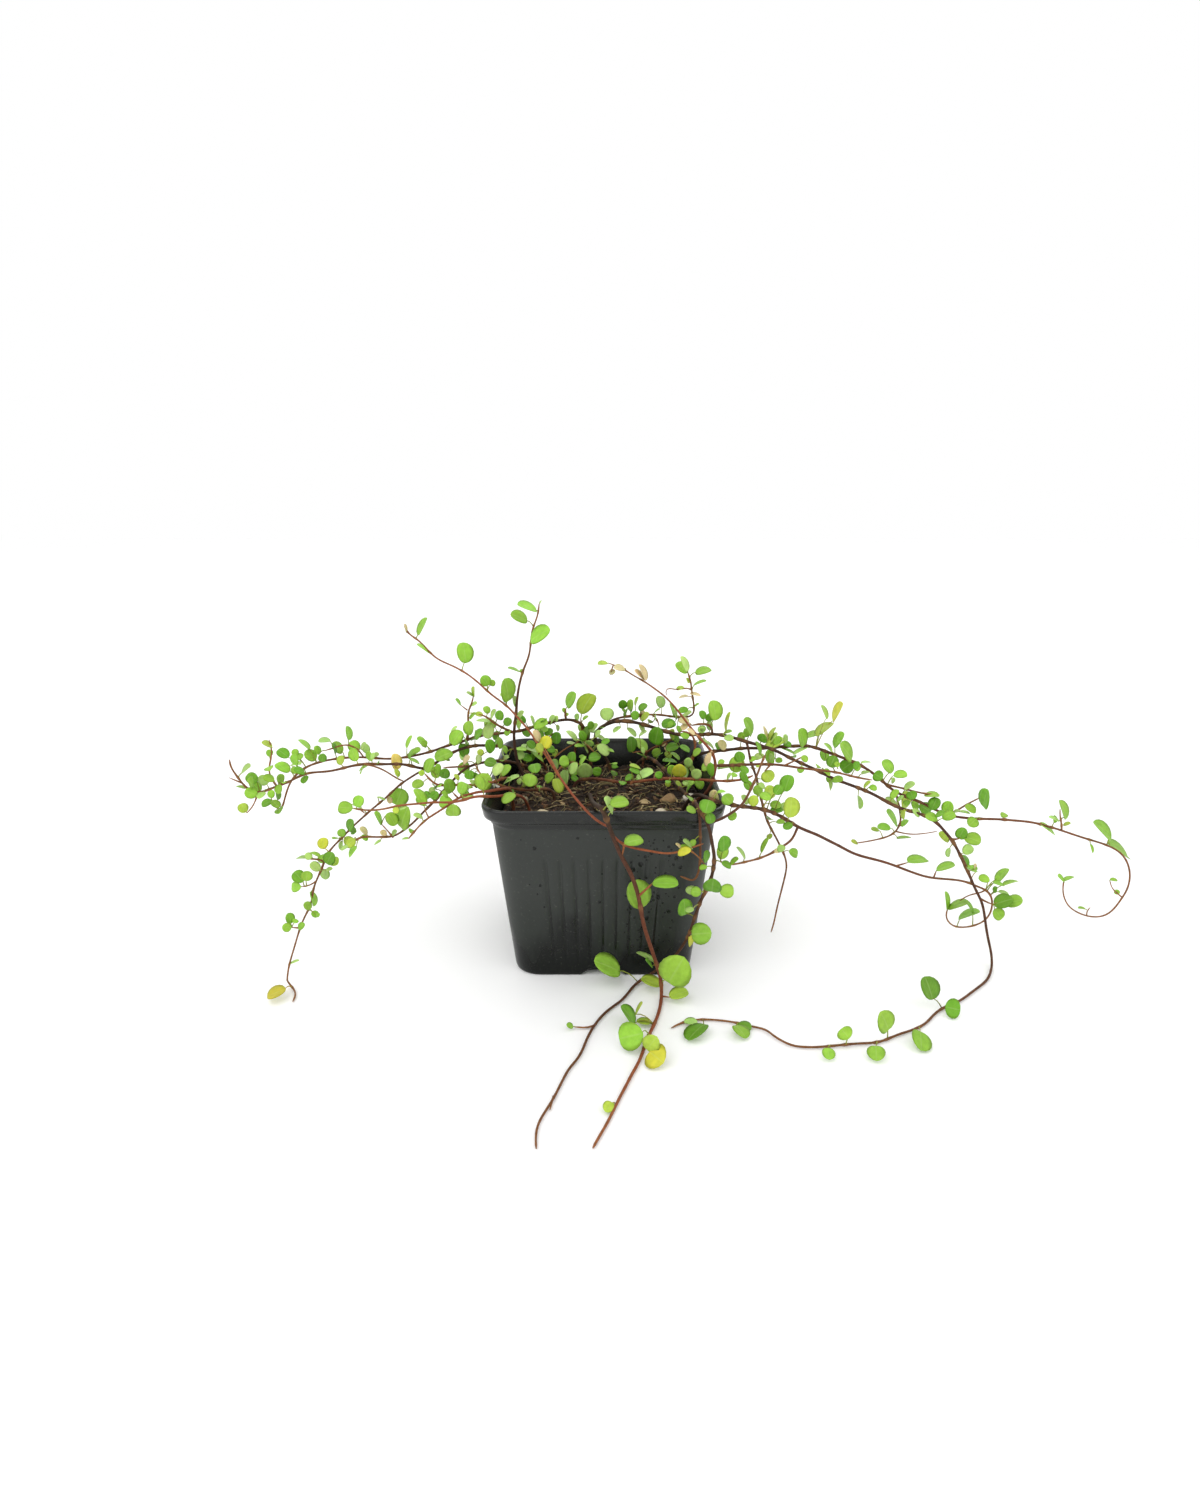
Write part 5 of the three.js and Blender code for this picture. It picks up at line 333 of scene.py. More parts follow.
stem 183.1 21.6 -20, 182 19.8 -18, 178.6 19.6 -16, 174.6 18.6 -15, 171.4 15.6 -14
stem 90.2 54.4 -33, 89.8 51.4 -35, 89 47.8 -37, 86.6 45.6 -39, 84 44 -41, 81.4 41.8 -43, 77 39.2 -45,
  71.8 37.2 -47, 66 35.8 -49, 61.4 34.4 -50, 58 34.6 -51, 55.4 36.4 -51.4
stem 140.3 33.2 -24, 143.6 35.6 -25
stem 155 27.9 -22, 158 31.4 -22
leaves 59.2 65.6 55.4 70 4.8, 58.4 60.8 61.6 58 3.8, 51.6 72.4 51.6 66 3.8 dry, 52.6 71 56.2 71.6 1.3,
  68.6 64.6 70 69.8 4 sallow, 66.6 65.2 63.6 69.8 2.4 pale, 86.4 58.6 86.4 69 6.4 sallow,
  85 61.6 82.4 66 3 pale, 88 55.4 84 53.2 3.2 deep, 72 69.6 69.8 74.6 3.6, 72 70.4 77 67.6 3.4,
  76.6 67.8 76 74.8 4.6 sallow, 79 70.2 81.6 74.6 4 deep, 83.4 71.6 85.6 79.6 5.4 deep,
  56 37.4 55.6 45.2 4.6, 56.6 41.6 56.2 49.6 5 deep, 60 34.6 64 37.8 2, 67 37.4 62.6 43.8 1.4 pale,
  74.6 40.8 77.6 48.6 1.8, 84.6 41.6 82.4 44.8 3.4 pale, 80.6 41 83.4 42.2 2 dry, 144 35.8 153 37.2 4,
  158 31.6 166.6 34.4 3.4, 187.8 25 192 32.6 3.6, 186 25 191 24 2.2, 191 23.8 197.6 26 1.8,
  187 20 188 23 2 deep, 189 20.4 194.6 18.4 1.6 pale, 184 26.8 178.6 27.2 3.6, 187 26.4 188.4 28.6 1.8,
  176.6 30 175.4 35 1.2 dry, 165.8 10.6 163.6 20.6 2, 166.4 10.8 176 14.6 3.4, 172 5.4 182 9.6 3.2,
  178.6 9 173.6 15.8 1.6
cross_runner 14 28 1.1 0.55
stem 16 86 27, 20 88.4 23, 25 85 15, 30 79.6 4, 33 75.6 -8, 36 72.4 -20, 39 69.6 -32, 42 66.6 -43,
  43.8 64.4 -50, 45.8 61.4 -54.6, 47.6 57.8 -57, 50 52 -57.6, 51.1 45.4 -57.6, 52.4 40.4 -57.6,
  52.7 36.6 -57.4, 52.2 31.4 -57.2, 51.4 26.8 -57, 49.8 22 -56.6, 47.6 17.6 -56, 45.5 10.6 -55,
  43.8 4.2 -54, 42.4 -2 -53, 40.4 -6.6 -52, 38 -11 -51, 35 -15.5 -50, 31 -19.6 -48.6, 26.8 -22.6 -47,
  22.4 -26 -45.4, 17.6 -29.4, 14.4 -33.2, 12 -37, 8.6 -41.2, 4.4 -44.4, 0.2 -48.6, -3.4 -53.6, -6.2 -58.8,
  -8.4 -63.9, -10 -69, -13.3 -76, -17.4 -81.2, -20.6 -88.2, -24 -96.2, -27.4 -103.4, -31 -109.9,
  -33.8 -115.4, -35.3 -121, -35.8 -127.4, -35.6 -133
stem 48 56.4 -57.2, 52 56.4 -57, 56 58.6 -55, 60 61.4 -52, 63 63.6 -50, 65.4 67 -47, 67.4 72 -43,
  69.4 77 -38, 70.8 81.6 -33, 72.4 87 -27, 73.4 89.4 -24
stem 43.6 64.6 -49.4, 44.6 61.6 -52.4, 45 58 -52.6, 45.4 50 -52.2, 45.7 43 -52, 46 36.4 -52, 45.6 31 -52,
  44.4 27 -52, 43 24.8 -52, 40.6 27 -52.4, 36.8 28.6 -52.8
stem -4 -54.6, -6.6 -57, -10 -56.4 -77, -14 -56 -77
stem -27.4 -103.4, -27.8 -107.6
leaves 47.4 60.8 48.8 67.4 6.2 deep, 49 61 50.2 55.6 3.8 deep, 48.8 36 48 41.8 2.8 deep,
  52 20.4 52.6 27.4 7 deep, 55.6 20.8 62.6 20.8 5.4, 47 20 42 20.8 4, 48.8 24.4 49.4 20 2.8 sallow,
  39.4 7.8 38.6 16.6 5.8 deep, 43.2 -2.6 53 -2 8.4, 42 -3.6 43 -9 2.6 yellow, 8.6 -23.6 -4.4 -17.6 8.4,
  19 -27.4 28.6 -32 4.6 sallow, -15 -56 -18.4 -54.6 2.2
withered_shoot 40.4 -14 0.95 0.35
stem 47 70 -15, 49.6 75 -16, 50.8 80 -16, 51.2 85 -15, 50 89.6 -14, 47.4 93 -12, 44 96.6 -10, 40 101 -8,
  36 106.4 -6, 32 111.4 -4, 28 116 -2, 23 119.8 0, 18 123.4 2, 12 126.6 4, 9 129 5, 5 130.6 6, 2.6 131.4 6
stem 4.6 130.6 6, 3.4 129.4 6, 3.4 127.6 6
leaves 9.6 128.6 4.6 129.4 2.8 dry, 5.4 128 2.6 127 2.4 dry, 2 131.4 -2.4 131 2 sallow,
  18.6 123.6 15.6 131 2.6 dry, 18 124 13.6 128.2 2 dry, 48.6 90.4 47.4 83.4 2.8 dry,
  49.8 84.6 44.8 82.4 3.6, 41 98.6 37.6 101.6 2 dry
red_bar -14 10 1.0 0.6
stem -11 77.4 9, -6 78 6, 0 77.4 2, 5 76.6 -2, 10 75.8 -5, 15 76.4 -8, 20 77 -11, 26 77.8 -14, 32 77.9 -17,
  38 77.8 -20, 44 77.4 -23, 50 77 -25, 56 76.6 -26, 62 77.2 -27, 66.4 77.8 -28, 68.4 79.4 -28
stem 15 76.4 -8, 12.4 75 -9
leaves -8.2 78.4 -8.4 85.4 7 pale, -5 82 -1 80.6 4.4 deep, 15 77.6 23 81 3.8 pale,
  16.6 80.2 12 82.6 2.6 deep, 12 84.2 17 82.6 1.6 sallow, 14 79 10 77.4 2.6 deep,
  34.6 78.8 34.8 85 6 yellow, 30 84.2 32.4 80.6 4.4, 41 78.6 44.4 81.8 4.4 pale, 41.8 76.6 46 73.8 4,
  33 76.2 36 73.6 1.8 sallow, 37 77 38.4 74.8 2.6 pale, 56.6 77.4 58.6 80.4 1.4 pale,
  64.6 76.8 67.6 72.4 3.4 deep, 27 79 23.6 80.2 3.2 deep, 30.4 76.4 29 74.2 2.4 sallow
soil_runner -22 -6 0.95 0.6
stem -23 72.6 -7, -26 73.2 -8, -30 72.6 -10, -36 72 -12, -39.8 73 -14, -43 73.4 -16, -46.6 74 -17,
  -49 75.4 -17
stem -30 72.6 -10, -31.4 76 -9, -32.4 80 -8
leaves -32.6 80 -34.4 74 6.6, -30.6 80.4 -31.4 85 5.6 deep, -37.6 78 -38.6 75 2.2 pale,
  -45.6 75.2 -38.2 79 1.8 pale, -49.4 75 -51 73 1.8 petal, -49.2 75.4 -47.6 73.6 1.8 petal,
  -49 76 -50.6 77.2 1.4 petal, -46.6 79 -42 84.2 3.6
spray_left -28 34 0.75 0.5
stem -28 86 33, -30 89 30, -33 91 27, -36.6 92.6 24, -41 92 21
stem -30 89 30, -27.6 93 30, -25 97 30, -22.6 99.6 30
leaves -37 93.4 -30 90.6 2.4 pale, -40 92 -34.6 91.4 1.8, -34 95.8 -31 92.4 3.6 deep,
  -37.6 89 -32.4 86.6 3.8 deep, -33 91 -27 86 2, -43.4 90 -45.6 93.4 2.4, -21 94.4 -20.6 100.2 4.8 deep,
  -22 88.4 -21 92 2.6 sallow, -26 98.4 -22.6 101.4 3.4 deep, -42.4 88.4 -46 86.6 2.2 pale
spray_mid -18 22 0.7 0.5
stem -17.4 82 20, -17 85 17, -14 86.4 15, -11 84.8 13
stem -17.4 82 20, -20.6 82 12, -21.6 79.4 4
leaves -22.4 80 -26.4 76.4 4, -22 78 -20 70.8 5 sallow, -17 82.4 -17.4 74.6 4.6 pale,
  -15.6 86.6 -20 85.6 5.4, -14 84.6 -13.6 90.8 4.2 deep, -12 85.6 -14.6 80 4 pale, -10.4 84 -7.6 88.6 1.8,
  -14.6 79 -11.6 76.6 2.6 deep
spray_back -14 38 0.75 0.5
stem -13 92 38, -12 94.6 37, -10 97 35, -9 100 34, -9.6 103 33, -10 106 32
stem -12 94.6 37, -16 93 34, -20 90 31, -22.6 87.4 29
stem -10 97 35, -6.6 93.6 31, -4 90.6 28
leaves -9.8 108.4 -4.4 117.6 7.8 olive, -6.4 102 -8.6 95.6 5.4 deep, -5.4 101.4 -6 105.2 3.4,
  -1 88.4 -6.6 87.8 4.4 deep, -2.4 94 2.2 89 4.6 pale, -0.8 94.6 3 96.2 2.8 deep,
  -2.8 98.2 1.6 95.2 1.8 pale, -3 97.4 -1.4 101 2.4 pale, 1.6 91.6 5 90.8 1.4,
  -12 95.6 -16.6 100.6 2.6 pale, -11.6 94 -16.4 95 1.4 pale, -9.6 95.4 -7 90 1.4 pale,
  -9.8 100 -11 103.6 2.4 pale
spray_right 20 38 0.8 0.5
stem 19 90 37, 21 91.6 35, 24 93.4 32, 28 95.4 30, 32 97 28
stem 21 91.6 35, 17 91 34, 13.4 90.4 33
stem 28 95.4 30, 29 92 28, 30 89.6 26
leaves 12.4 90.4 12.2 98.2 5 deep, 19.4 91 13.6 96.8 4.6, 26 91.6 22.4 89 4, 34 93.6 28.4 91.6 4 deep,
  34.4 93.6 39 90.6 2.6 deep, 28 90.8 30.6 87.8 3 sallow, 30.6 90.4 34.6 86.8 1.8, 27 86.4 33.6 85.6 2 deep,
  26.4 93.4 28.6 95.2 2 dry, 27.6 92.8 29.4 91.2 2 dry, 16 98 19.6 100.4 1.6 pale
brown_shoot 36 15 0.85 0.5
stem 38.6 82 14.6, 40.6 88 14, 41.8 93 13.6, 41.4 96.6 13, 39.4 99.6 12, 37 101 11.4, 34.6 100.4 11
leaves 38.6 83.4 39 88 4 pale, 38.8 84 41.8 79.6 2.4 pale, 40.8 89 44.2 91.8 3, 43 96.4 47.4 95.2 1.4 pale
"""

# Pebbles: x, y, long, wide, tall, turn, colour.
PEBBLES = {
    "pebble_white": (39.2, -4, 7.4, 6, 5, 10, "#D9D4C8"),
    "pebble_tan": (29.6, -7.5, 8.6, 6.4, 4.6, 20, "#A08258"),
    "pebble_cream": (-25.4, -26, 7, 5, 4.4, -20, "#CDBF9F"),
    "pebble_buff": (18.6, -13, 5.6, 4.6, 4.2, 15, "#B5A074"),
    "pebble_grey": (-4, -26, 6.2, 4.4, 3.6, 40, "#A9A492"),
    "pebble_rim": (24.6, -26, 5.8, 4, 3.8, 5, "#D0C6B0"),
    "pebble_back": (-36.4, -7, 6, 5, 4.2, 60, "#B4AB8E"),
}

# Leaf colours by name.
TINTS = {
    "mid": "#90BE40",
    "deep": "#6CA12C",
    "pale": "#ABCD70",
    "sallow": "#ADC548",
    "olive": "#97AB2C",
    "yellow": "#C4C13C",
    "gold": "#FFDB7A",
    "dry": "#D6C292",
    "petal": "#EFEBDC",
}

# Runners whose bark is still red, or already dark grey-brown; the others are between the two.
RED_BARK = ("red_bar", "front_trail", "left_low", "left_front", "left_brown", "brown_shoot", "withered_shoot")
DARK_BARK = ("upright", "back_runner", "left_arch", "left_spray", "left_drop", "cross_runner", "spray_mid")

# How thickly each runner carries small side leaves over the pot: leaves for each 6 mm of stem.
LEAFY = {
    "left_arch": 0.7, "left_spray": 0.75, "left_low": 0.6, "left_drop": 0.6, "left_front": 0.5,
    "left_brown": 0.5, "back_runner": 0.75, "mid_runner": 0.6, "cross_runner": 0.5, "red_bar": 0.45,
    "soil_runner": 0.9,
    "spray_left": 1.0, "spray_mid": 1.1, "spray_back": 1.0, "spray_right": 1.0, "far_curl": 0.2,
}


def linear(code):
    """sRGB hex colour as linear RGB: c/12.92 below 0.04045, else ((c + 0.055)/1.055)^2.4."""
    parts = [int(code[i:i + 2], 16) / 255 for i in (1, 3, 5)]
    return tuple(c / 12.92 if c <= 0.04045 else ((c + 0.055) / 1.055) ** 2.4 for c in parts)


# Laying the stems, as the solid model does, so that the fine runners keep its routes.

def read_runners():
    """The runners above as {name: {root, girth, stems, leaves}}."""
    runners = {}
    for line in RUNNERS.strip().splitlines():
        words = line.split()
        if words[0] == "stem":
            runner["stems"].append([])
            mode, line = "stem", line.removeprefix("stem")
        elif words[0] == "leaves":
            mode, line = "leaf", line.removeprefix("leaves")
        elif not line.startswith(" "):
            runner = {"root": (float(words[1]), float(words[2])), "stems": [], "leaves": []}
            runner["girth"] = (float(words[3]), float(words[4]))
            runners[words[0]] = runner
            continue
        for item in line.strip().rstrip(",").split(","):
            fields = item.split()
            if mode == "stem":
                runner["stems"][-1].append([float(field) for field in fields])
            else:
                tint = fields[5] if len(fields) > 5 else "mid"
                runner["leaves"].append([*(float(field) for field in fields[:5]), tint])
    return runners


def on_sight(spots):
    """World points of (across, up, depth): EYE + (P - EYE) (1 - depth / EYE_y), at y = depth."""
    across, up, depth = np.asarray(spots, float)[..., :3].T
    grow = 1 - depth / EYE[1]
    return np.stack([EYE[0] + (across - EYE[0]) * grow, depth, EYE[2] + (up - EYE[2]) * grow]).T


def depth_at(up, height):
    """Depth at which the line of sight through up reaches a height."""
    return -EYE[1] * ((EYE[2] - height) / (EYE[2] - up) - 1)


def soil_height(x, y):
    """Rolling top of the soil: two crossed sines, banked a little towards the front edge."""
    rolls = 0.8 * np.sin(x * 0.11 + 1.3) * np.cos(y * 0.13 - 0.4) + 0.5 * np.sin(x * 0.31 + y * 0.23)
    edge = np.maximum(np.abs(x), np.abs(y)) / 45
    return SOIL_TOP + rolls + 1.6 * np.maximum(0, -y / 45) * edge - 0.8 * edge * edge


def spline(points):
    """Centripetal Catmull-Rom curve through points, at places about STEP apart by arc length."""
    points = np.asarray(points, float)
    last = len(points) - 1
    row = np.vstack([2 * points[0] - points[1], points, 2 * points[-1] - points[-2]])
    gaps = np.linalg.norm(np.diff(row, axis=0), axis=1) ** 0.5

    def at(place):
        span = np.minimum(place.astype(int), last - 1)
        t = (place - span)[:, None]
        x0, x1, x2, x3 = (row[span + k] for k in range(4))
        d0, d1, d2 = (gaps[span + k][:, None] for k in range(3))
        m1 = ((x1 - x0) / d0 - (x2 - x0) / (d0 + d1) + (x2 - x1) / d1) * d1
        m2 = ((x2 - x1) / d1 - (x3 - x1) / (d1 + d2) + (x3 - x2) / d2) * d1
        return x1 + m1 * t + (3 * (x2 - x1) - 2 * m1 - m2) * t**2 + (2 * (x1 - x2) + m1 + m2) * t**3

    even = np.linspace(0, last, 201)
    run = np.concatenate([[0], np.cumsum(np.linalg.norm(np.diff(at(even), axis=0), axis=1))])
    count = max(2, math.floor(run[-1] / STEP + 0.5))
    return at(np.interp(np.linspace(0, run[-1], count + 1), run, even))


def reach_of(points, starts, ends):
    """Distances from points (k, 3) to segments (m, 3)-(m, 3), as (k, m)."""
    along = ends - starts
    t = ((points[:, None] - starts) * along).sum(2) / np.maximum((along * along).sum(1), 1e-12)
    near = starts + along * np.clip(t, 0, 1)[..., None]
    return np.linalg.norm(points[:, None] - near, axis=2)


def runner_pushes(spots, others):
    """Depth pushes that free each stretch from the one other stem that it presses on most."""
    if not len(others["radius"]):
        return []
    world = on_sight(spots)
    first, last = world[:-1], world[1:]
    gap = np.full((len(first), len(others["radius"])), np.inf)
    for t in QUARTERS:
        gap = np.minimum(gap, reach_of(first + (last - first) * t, others["start"], others["end"]))
        mid = others["start"] + (others["end"] - others["start"]) * t
        gap = np.minimum(gap, reach_of(mid, first, last).T)
    press = spots[:-1, 3:4] + others["radius"] + STEM_GAP - gap
    depth = (spots[:-1, 2] + spots[1:, 2]) / 2
    pushes = []
    for i, k in enumerate(press.argmax(axis=1)):
        if press[i, k] > 0:
            way = 1 if depth[i] >= others["depth"][k] else -1
            pushes.append((i + 0.5, way * (press[i, k] + 0.25)))
    return pushes


def pot_pushes(spots, buried):
    """Pushes towards the eye that lift a stem over the rim where it would cut the wall."""
    world = on_sight(spots)
    first, last = world[:-1], world[1:]
    gap = np.full(len(first), np.inf)
    for t in QUARTERS:
        at = first + (last - first) * t
        cut = np.stack([np.abs(at[:, :2]).max(axis=1), at[:, 2]], axis=1)
        gap = np.minimum(gap, reach_of(cut, WALL[:-1], WALL[1:]).min(axis=1) - WALL_HALF)
    press = spots[:-1, 3] + RIM_GAP - gap
    return [(i + 0.5, -1.5 * press[i] - 0.2) for i in range(len(press)) if press[i] > 0 and i + 1 >= buried]


def bend_clear(spots, fixed, buried, others):
    """Slides a stem's points along the line of sight until it is clear of pot, soil, table and others."""
    places = np.arange(len(spots))
    for _ in range(PUSH_ROUNDS):
        pushes = pot_pushes(spots, buried) + runner_pushes(spots, others)
        for place, amount in pushes:
            spots[~fixed, 2] += (amount * np.exp(-(((places - place) / PUSH_REACH) ** 2)))[~fixed]
        low = spots[:, 3] + TABLE_LIFT
        under = ~fixed & (on_sight(spots)[:, 2] < low)
        spots[under, 2] = depth_at(spots[under, 1], low[under])
        world = on_sight(spots)
        low = soil_height(world[:, 0], world[:, 1]) + SOIL_GAP + spots[:, 3]
        inside = (np.abs(world[:, :2]).max(axis=1) < SOIL_REACH) & (world[:, 2] > SOIL_LOW)
        under = ~fixed & inside & (world[:, 2] < low)
        spots[under, 2] = depth_at(spots[under, 1], low[under])
        if not pushes:
            return


def thinned(spots):
    """The points that a stem's bends need, to within SLACK."""
    if len(spots) < 3:
        return spots
    world = on_sight(spots)
    off = reach_of(world[1:-1], world[:1], world[-1:])[:, 0]
    worst = int(off.argmax()) + 1
    if off.max() < SLACK:
        return spots[[0, -1]]
    return np.vstack([thinned(spots[:worst + 1]), thinned(spots[worst:])[1:]])


def nearest_spot(stems, across, up):
    """The point (across, up, depth, radius) of a runner's stems that looks nearest to a place."""
    best, least = None, np.inf
    for order, spots in enumerate(stems):
        bare = spots if order else spots[2:]
        for a, b in zip(bare[:-1], bare[1:]):
            for t in QUARTERS:
                mixed = a + (b - a) * t
                gap = math.hypot(mixed[0] - across, mixed[1] - up)
                if gap < least:
                    best, least = mixed, gap
    return best


def lay_runners():
    """Every runner's stems: fine points to draw and thinned points that the leaves hang from."""
    laid = {"start": np.zeros((0, 3)), "end": np.zeros((0, 3)), "radius": np.zeros(0), "depth": np.zeros(0)}
    plants = {}
    for name, runner in read_runners().items():
        thick, thin = runner["girth"]
        fine, coarse = [], []
        for order, rows in enumerate(runner["stems"]):
            start, end = thick, thin
            if order:
                twig = nearest_spot(coarse, rows[0][0], rows[0][1])
                start = min(thick * 0.72, twig[3] * 0.85)
                end = min(thin, start * 0.7)
                rows = [list(twig[:3]), *rows[1:]]
            girth = np.linspace(start, end, len(rows))
            drawn = [row if len(row) > 2 else [*row, depth_at(row[1], girth[i] + TABLE_LIFT)]
                     for i, row in enumerate(rows)]
            curve = spline(drawn)
            real = np.linspace(start, end, len(curve))
            spots = np.column_stack([curve, np.maximum(LEAST_STEM, real)])
            buried = 0
            if not order:
                x, y = runner["root"]
                grow = 1 - y / EYE[1]
                heights = np.array([SOIL_TOP - ROOT_DEPTH, soil_height(x, y) + 2.4])
                root = [[EYE[0] + (x - EYE[0]) / grow, EYE[2] + (z - EYE[2]) / grow, y, thick]
                        for z in heights]
                spots = np.vstack([root, spots])
                real = np.concatenate([[thick, thick], real])
                buried = 2
            fixed = np.arange(len(spots)) < max(buried, 1 if order else 0)
            bend_clear(spots, fixed, buried, laid)
            fine.append(np.column_stack([on_sight(spots), real]))
            head = 1 if buried else 0
            coarse.append(np.vstack([spots[:head], thinned(spots[head:])]))
        plants[name] = {"fine": fine, "coarse": coarse, "leaves": runner["leaves"]}
        for spots in coarse:
            world = on_sight(spots)
            laid["start"] = np.vstack([laid["start"], world[:-1]])
            laid["end"] = np.vstack([laid["end"], world[1:]])
            laid["radius"] = np.concatenate([laid["radius"], spots[:-1, 3]])
            laid["depth"] = np.concatenate([laid["depth"], (spots[:-1, 2] + spots[1:, 2]) / 2])
    return plants


# Runner meshes.

BLADE_ROWS = 7
BLADE_LIFT = 0.15  # least height of a blade over the table
STEM_LIFT = 0.05  # least height of a stem's skin
BLADE_SPOTS = 8  # points of one row: 2 on the rim, 3 on top and 3 under
LEAF_ROOM = 2.6  # kept clear round a leaf's foot by small side leaves
GOLD_ROOM = 7  # the same for the gold leaf
GOLD_SIGHT = 5.5  # kept clear round the line of sight to it
GOLD_LEAF = np.array([-94.1, -1.0, 86.3])  # its middle
BROAD_LEAF = 5  # leaves of the trail over the rim wider than this are drawn nearer to the eye
BROAD_LIFT = 2.4
TRAIL_GIRTH = (1.2, 0.85)  # how thick that trail is drawn: its main stem, and its twigs


def unit(vectors):
    """Vectors scaled to length one."""
    return vectors / np.maximum(np.linalg.norm(vectors, axis=-1, keepdims=True), 1e-9)


def leaf_pose(twig, row, swing, tilt):
    """Stalk start, blade foot, tip, facing and real width of a leaf that looks as its row says.

    The tip leans tilt * sqrt(long^2 - seen^2) along the line of sight, and a blade seen narrow is rolled
    about its length by acos(seen width / real width).
    """
    foot_across, foot_up, tip_across, tip_up, width = row[:5]
    depth = twig[2] + swing
    foot = on_sight([foot_across, foot_up, depth])
    seen = np.linalg.norm(foot - on_sight([tip_across, tip_up, depth]))
    long = max(seen * 1.04, width / 0.9)
    depth += math.sqrt(max(0, long * long - seen * seen)) * tilt
    if on_sight([tip_across, tip_up, depth])[2] < TIP_LIFT:
        depth = depth_at(tip_up, TIP_LIFT)
    if foot[2] < FOOT_LIFT:
        foot = on_sight([foot_across, foot_up, depth_at(foot_up, FOOT_LIFT)])
    tip = on_sight([tip_across, tip_up, depth])
    along = unit(tip - foot)
    sight = unit(EYE - foot)
    face = unit(sight - along * (sight @ along))
    real = max(width, min(0.82 * long, width * 2.6))
    roll = math.acos(min(1, width / real))
    side = np.cross(along, face) * math.sin(roll)
    turned = [face * math.cos(roll) + side, face * math.cos(roll) - side]
    up = turned[0] if turned[0][2] > turned[1][2] else turned[1]
    return on_sight(twig[:3]), foot, tip, up, real


def hung_leaves(name, plant):
    """Poses of a runner's leaves: those of the solid model are found by their tips in its mesh."""
    mesh = bpy.data.objects[name].data
    tree = KDTree(len(mesh.vertices))
    for i, vertex in enumerate(mesh.vertices):
        tree.insert(vertex.co / MM, i)
    tree.balance()
    poses = []
    for row in plant["leaves"]:
        twig = nearest_spot(plant["coarse"], row[0], row[1])
        shift = 0.6 * math.sin(row[0] * 1.7 + row[1] * 2.9)
        first = 1 if math.sin(row[2] * 2.3 + row[3] * 1.9) > 0 else -1
        best, least = leaf_pose(twig, row, shift, first), 0.25
        if row[4] >= LEAST_WIDTH:
            for swing in SWINGS:
                for tilt in TILTS:
                    pose = leaf_pose(twig, row, swing + shift, tilt * first)
                    off = sum(tree.find(pose[2] + pose[3] * lift)[2] for lift in (STALK_HALF, -STALK_HALF))
                    if off < least:
                        best, least = pose, off
        start, foot, tip, up, real = best
        if name == "front_trail" and row[4] > BROAD_LEAF:
            forward = unit(EYE - foot) * BROAD_LIFT
            foot, tip = foot + forward, tip + forward
        poses.append((start, foot, tip, up, real, row[5]))
    return poses


class Shell:
    """Vertices, faces, tints and UVs gathered for one mesh."""

    def __init__(self):
        self.spots, self.faces, self.tints, self.uvs, self.slots = [], [], [], [], []
        self.count = 0

    def add(self, spots, faces, tint, uvs=None, slot=0):
        """Adds a patch: spots (n, 3) in millimetres, faces of local indices, a tint for all or each spot."""
        spots = np.asarray(spots, float)
        self.faces.extend([[i + self.count for i in face] for face in faces])
        self.slots.extend([slot] * len(faces))
        self.spots.append(spots)
        self.tints.append(np.broadcast_to(np.asarray(tint, float), (len(spots), 3)))
        self.uvs.append(np.zeros((len(spots), 2)) if uvs is None else uvs)
        self.count += len(spots)

    def build(self, name, materials, smooth=True):
        """Makes the mesh object with its point attributes tint and place, and its materials."""
        spots = np.vstack(self.spots) * MM
        mesh = bpy.data.meshes.new(name)
        mesh.from_pydata(spots, [], self.faces)
        tint = mesh.attributes.new("tint", "FLOAT_COLOR", "POINT")
        tint.data.foreach_set("color", np.column_stack([np.vstack(self.tints), np.ones(len(spots))]).ravel())
        place = mesh.attributes.new("place", "FLOAT2", "POINT")
        place.data.foreach_set("vector", np.vstack(self.uvs).astype(np.float32).ravel())
        mesh.polygons.foreach_set("material_index", self.slots)
        mesh.polygons.foreach_set("use_smooth", [smooth] * len(self.faces))
        for material in materials:
            mesh.materials.append(material)
        mesh.update()
        body = bpy.data.objects.new(name, mesh)
        bpy.context.scene.collection.objects.link(body)
        return body


def ring_faces(rings, sides):
    """Quads between rings of points that follow each other, each ring closed."""
    return [[level * sides + k, level * sides + (k + 1) % sides,
             (level + 1) * sides + (k + 1) % sides, (level + 1) * sides + k]
            for level in range(rings - 1) for k in range(sides)]


def capped_faces(rings, sides):
    """Quads between rings, closed by fans to one point below the first ring and one above the last."""
    foot, head = rings * sides, rings * sides + 1
    faces = ring_faces(rings, sides)
    faces += [[foot, (k + 1) % sides, k] for k in range(sides)]
    return faces + [[head, foot - sides + k, foot - sides + (k + 1) % sides] for k in range(sides)]


def ring_frames(path):
    """Two unit vectors across a path at each of its points, carried along it without twist."""
    along = unit(np.gradient(path, axis=0))
    across = np.zeros_like(path)
    guess = np.array([1.0, 0, 0]) if abs(along[0, 2]) > 0.8 else np.array([0, 0, 1.0])
    for i, way in enumerate(along):
        guess = guess - way * (guess @ way)
        guess = guess / np.linalg.norm(guess)
        across[i] = guess
    return across, np.cross(along, across)


def tube(path, radii, sides):
    """Round tube P(i, a) = path_i + r_i (cos a across_i + sin a third_i), its ends closed by points."""
    across, third = ring_frames(path)
    angle = np.linspace(0, 2 * np.pi, sides, endpoint=False)
    wheel = np.cos(angle)[None, :, None] * across[:, None] + np.sin(angle)[None, :, None] * third[:, None]
    spots = (path[:, None] + radii[:, None, None] * wheel).reshape(-1, 3)
    return np.vstack([spots, path[:1], path[-1:]]), capped_faces(len(path), sides)


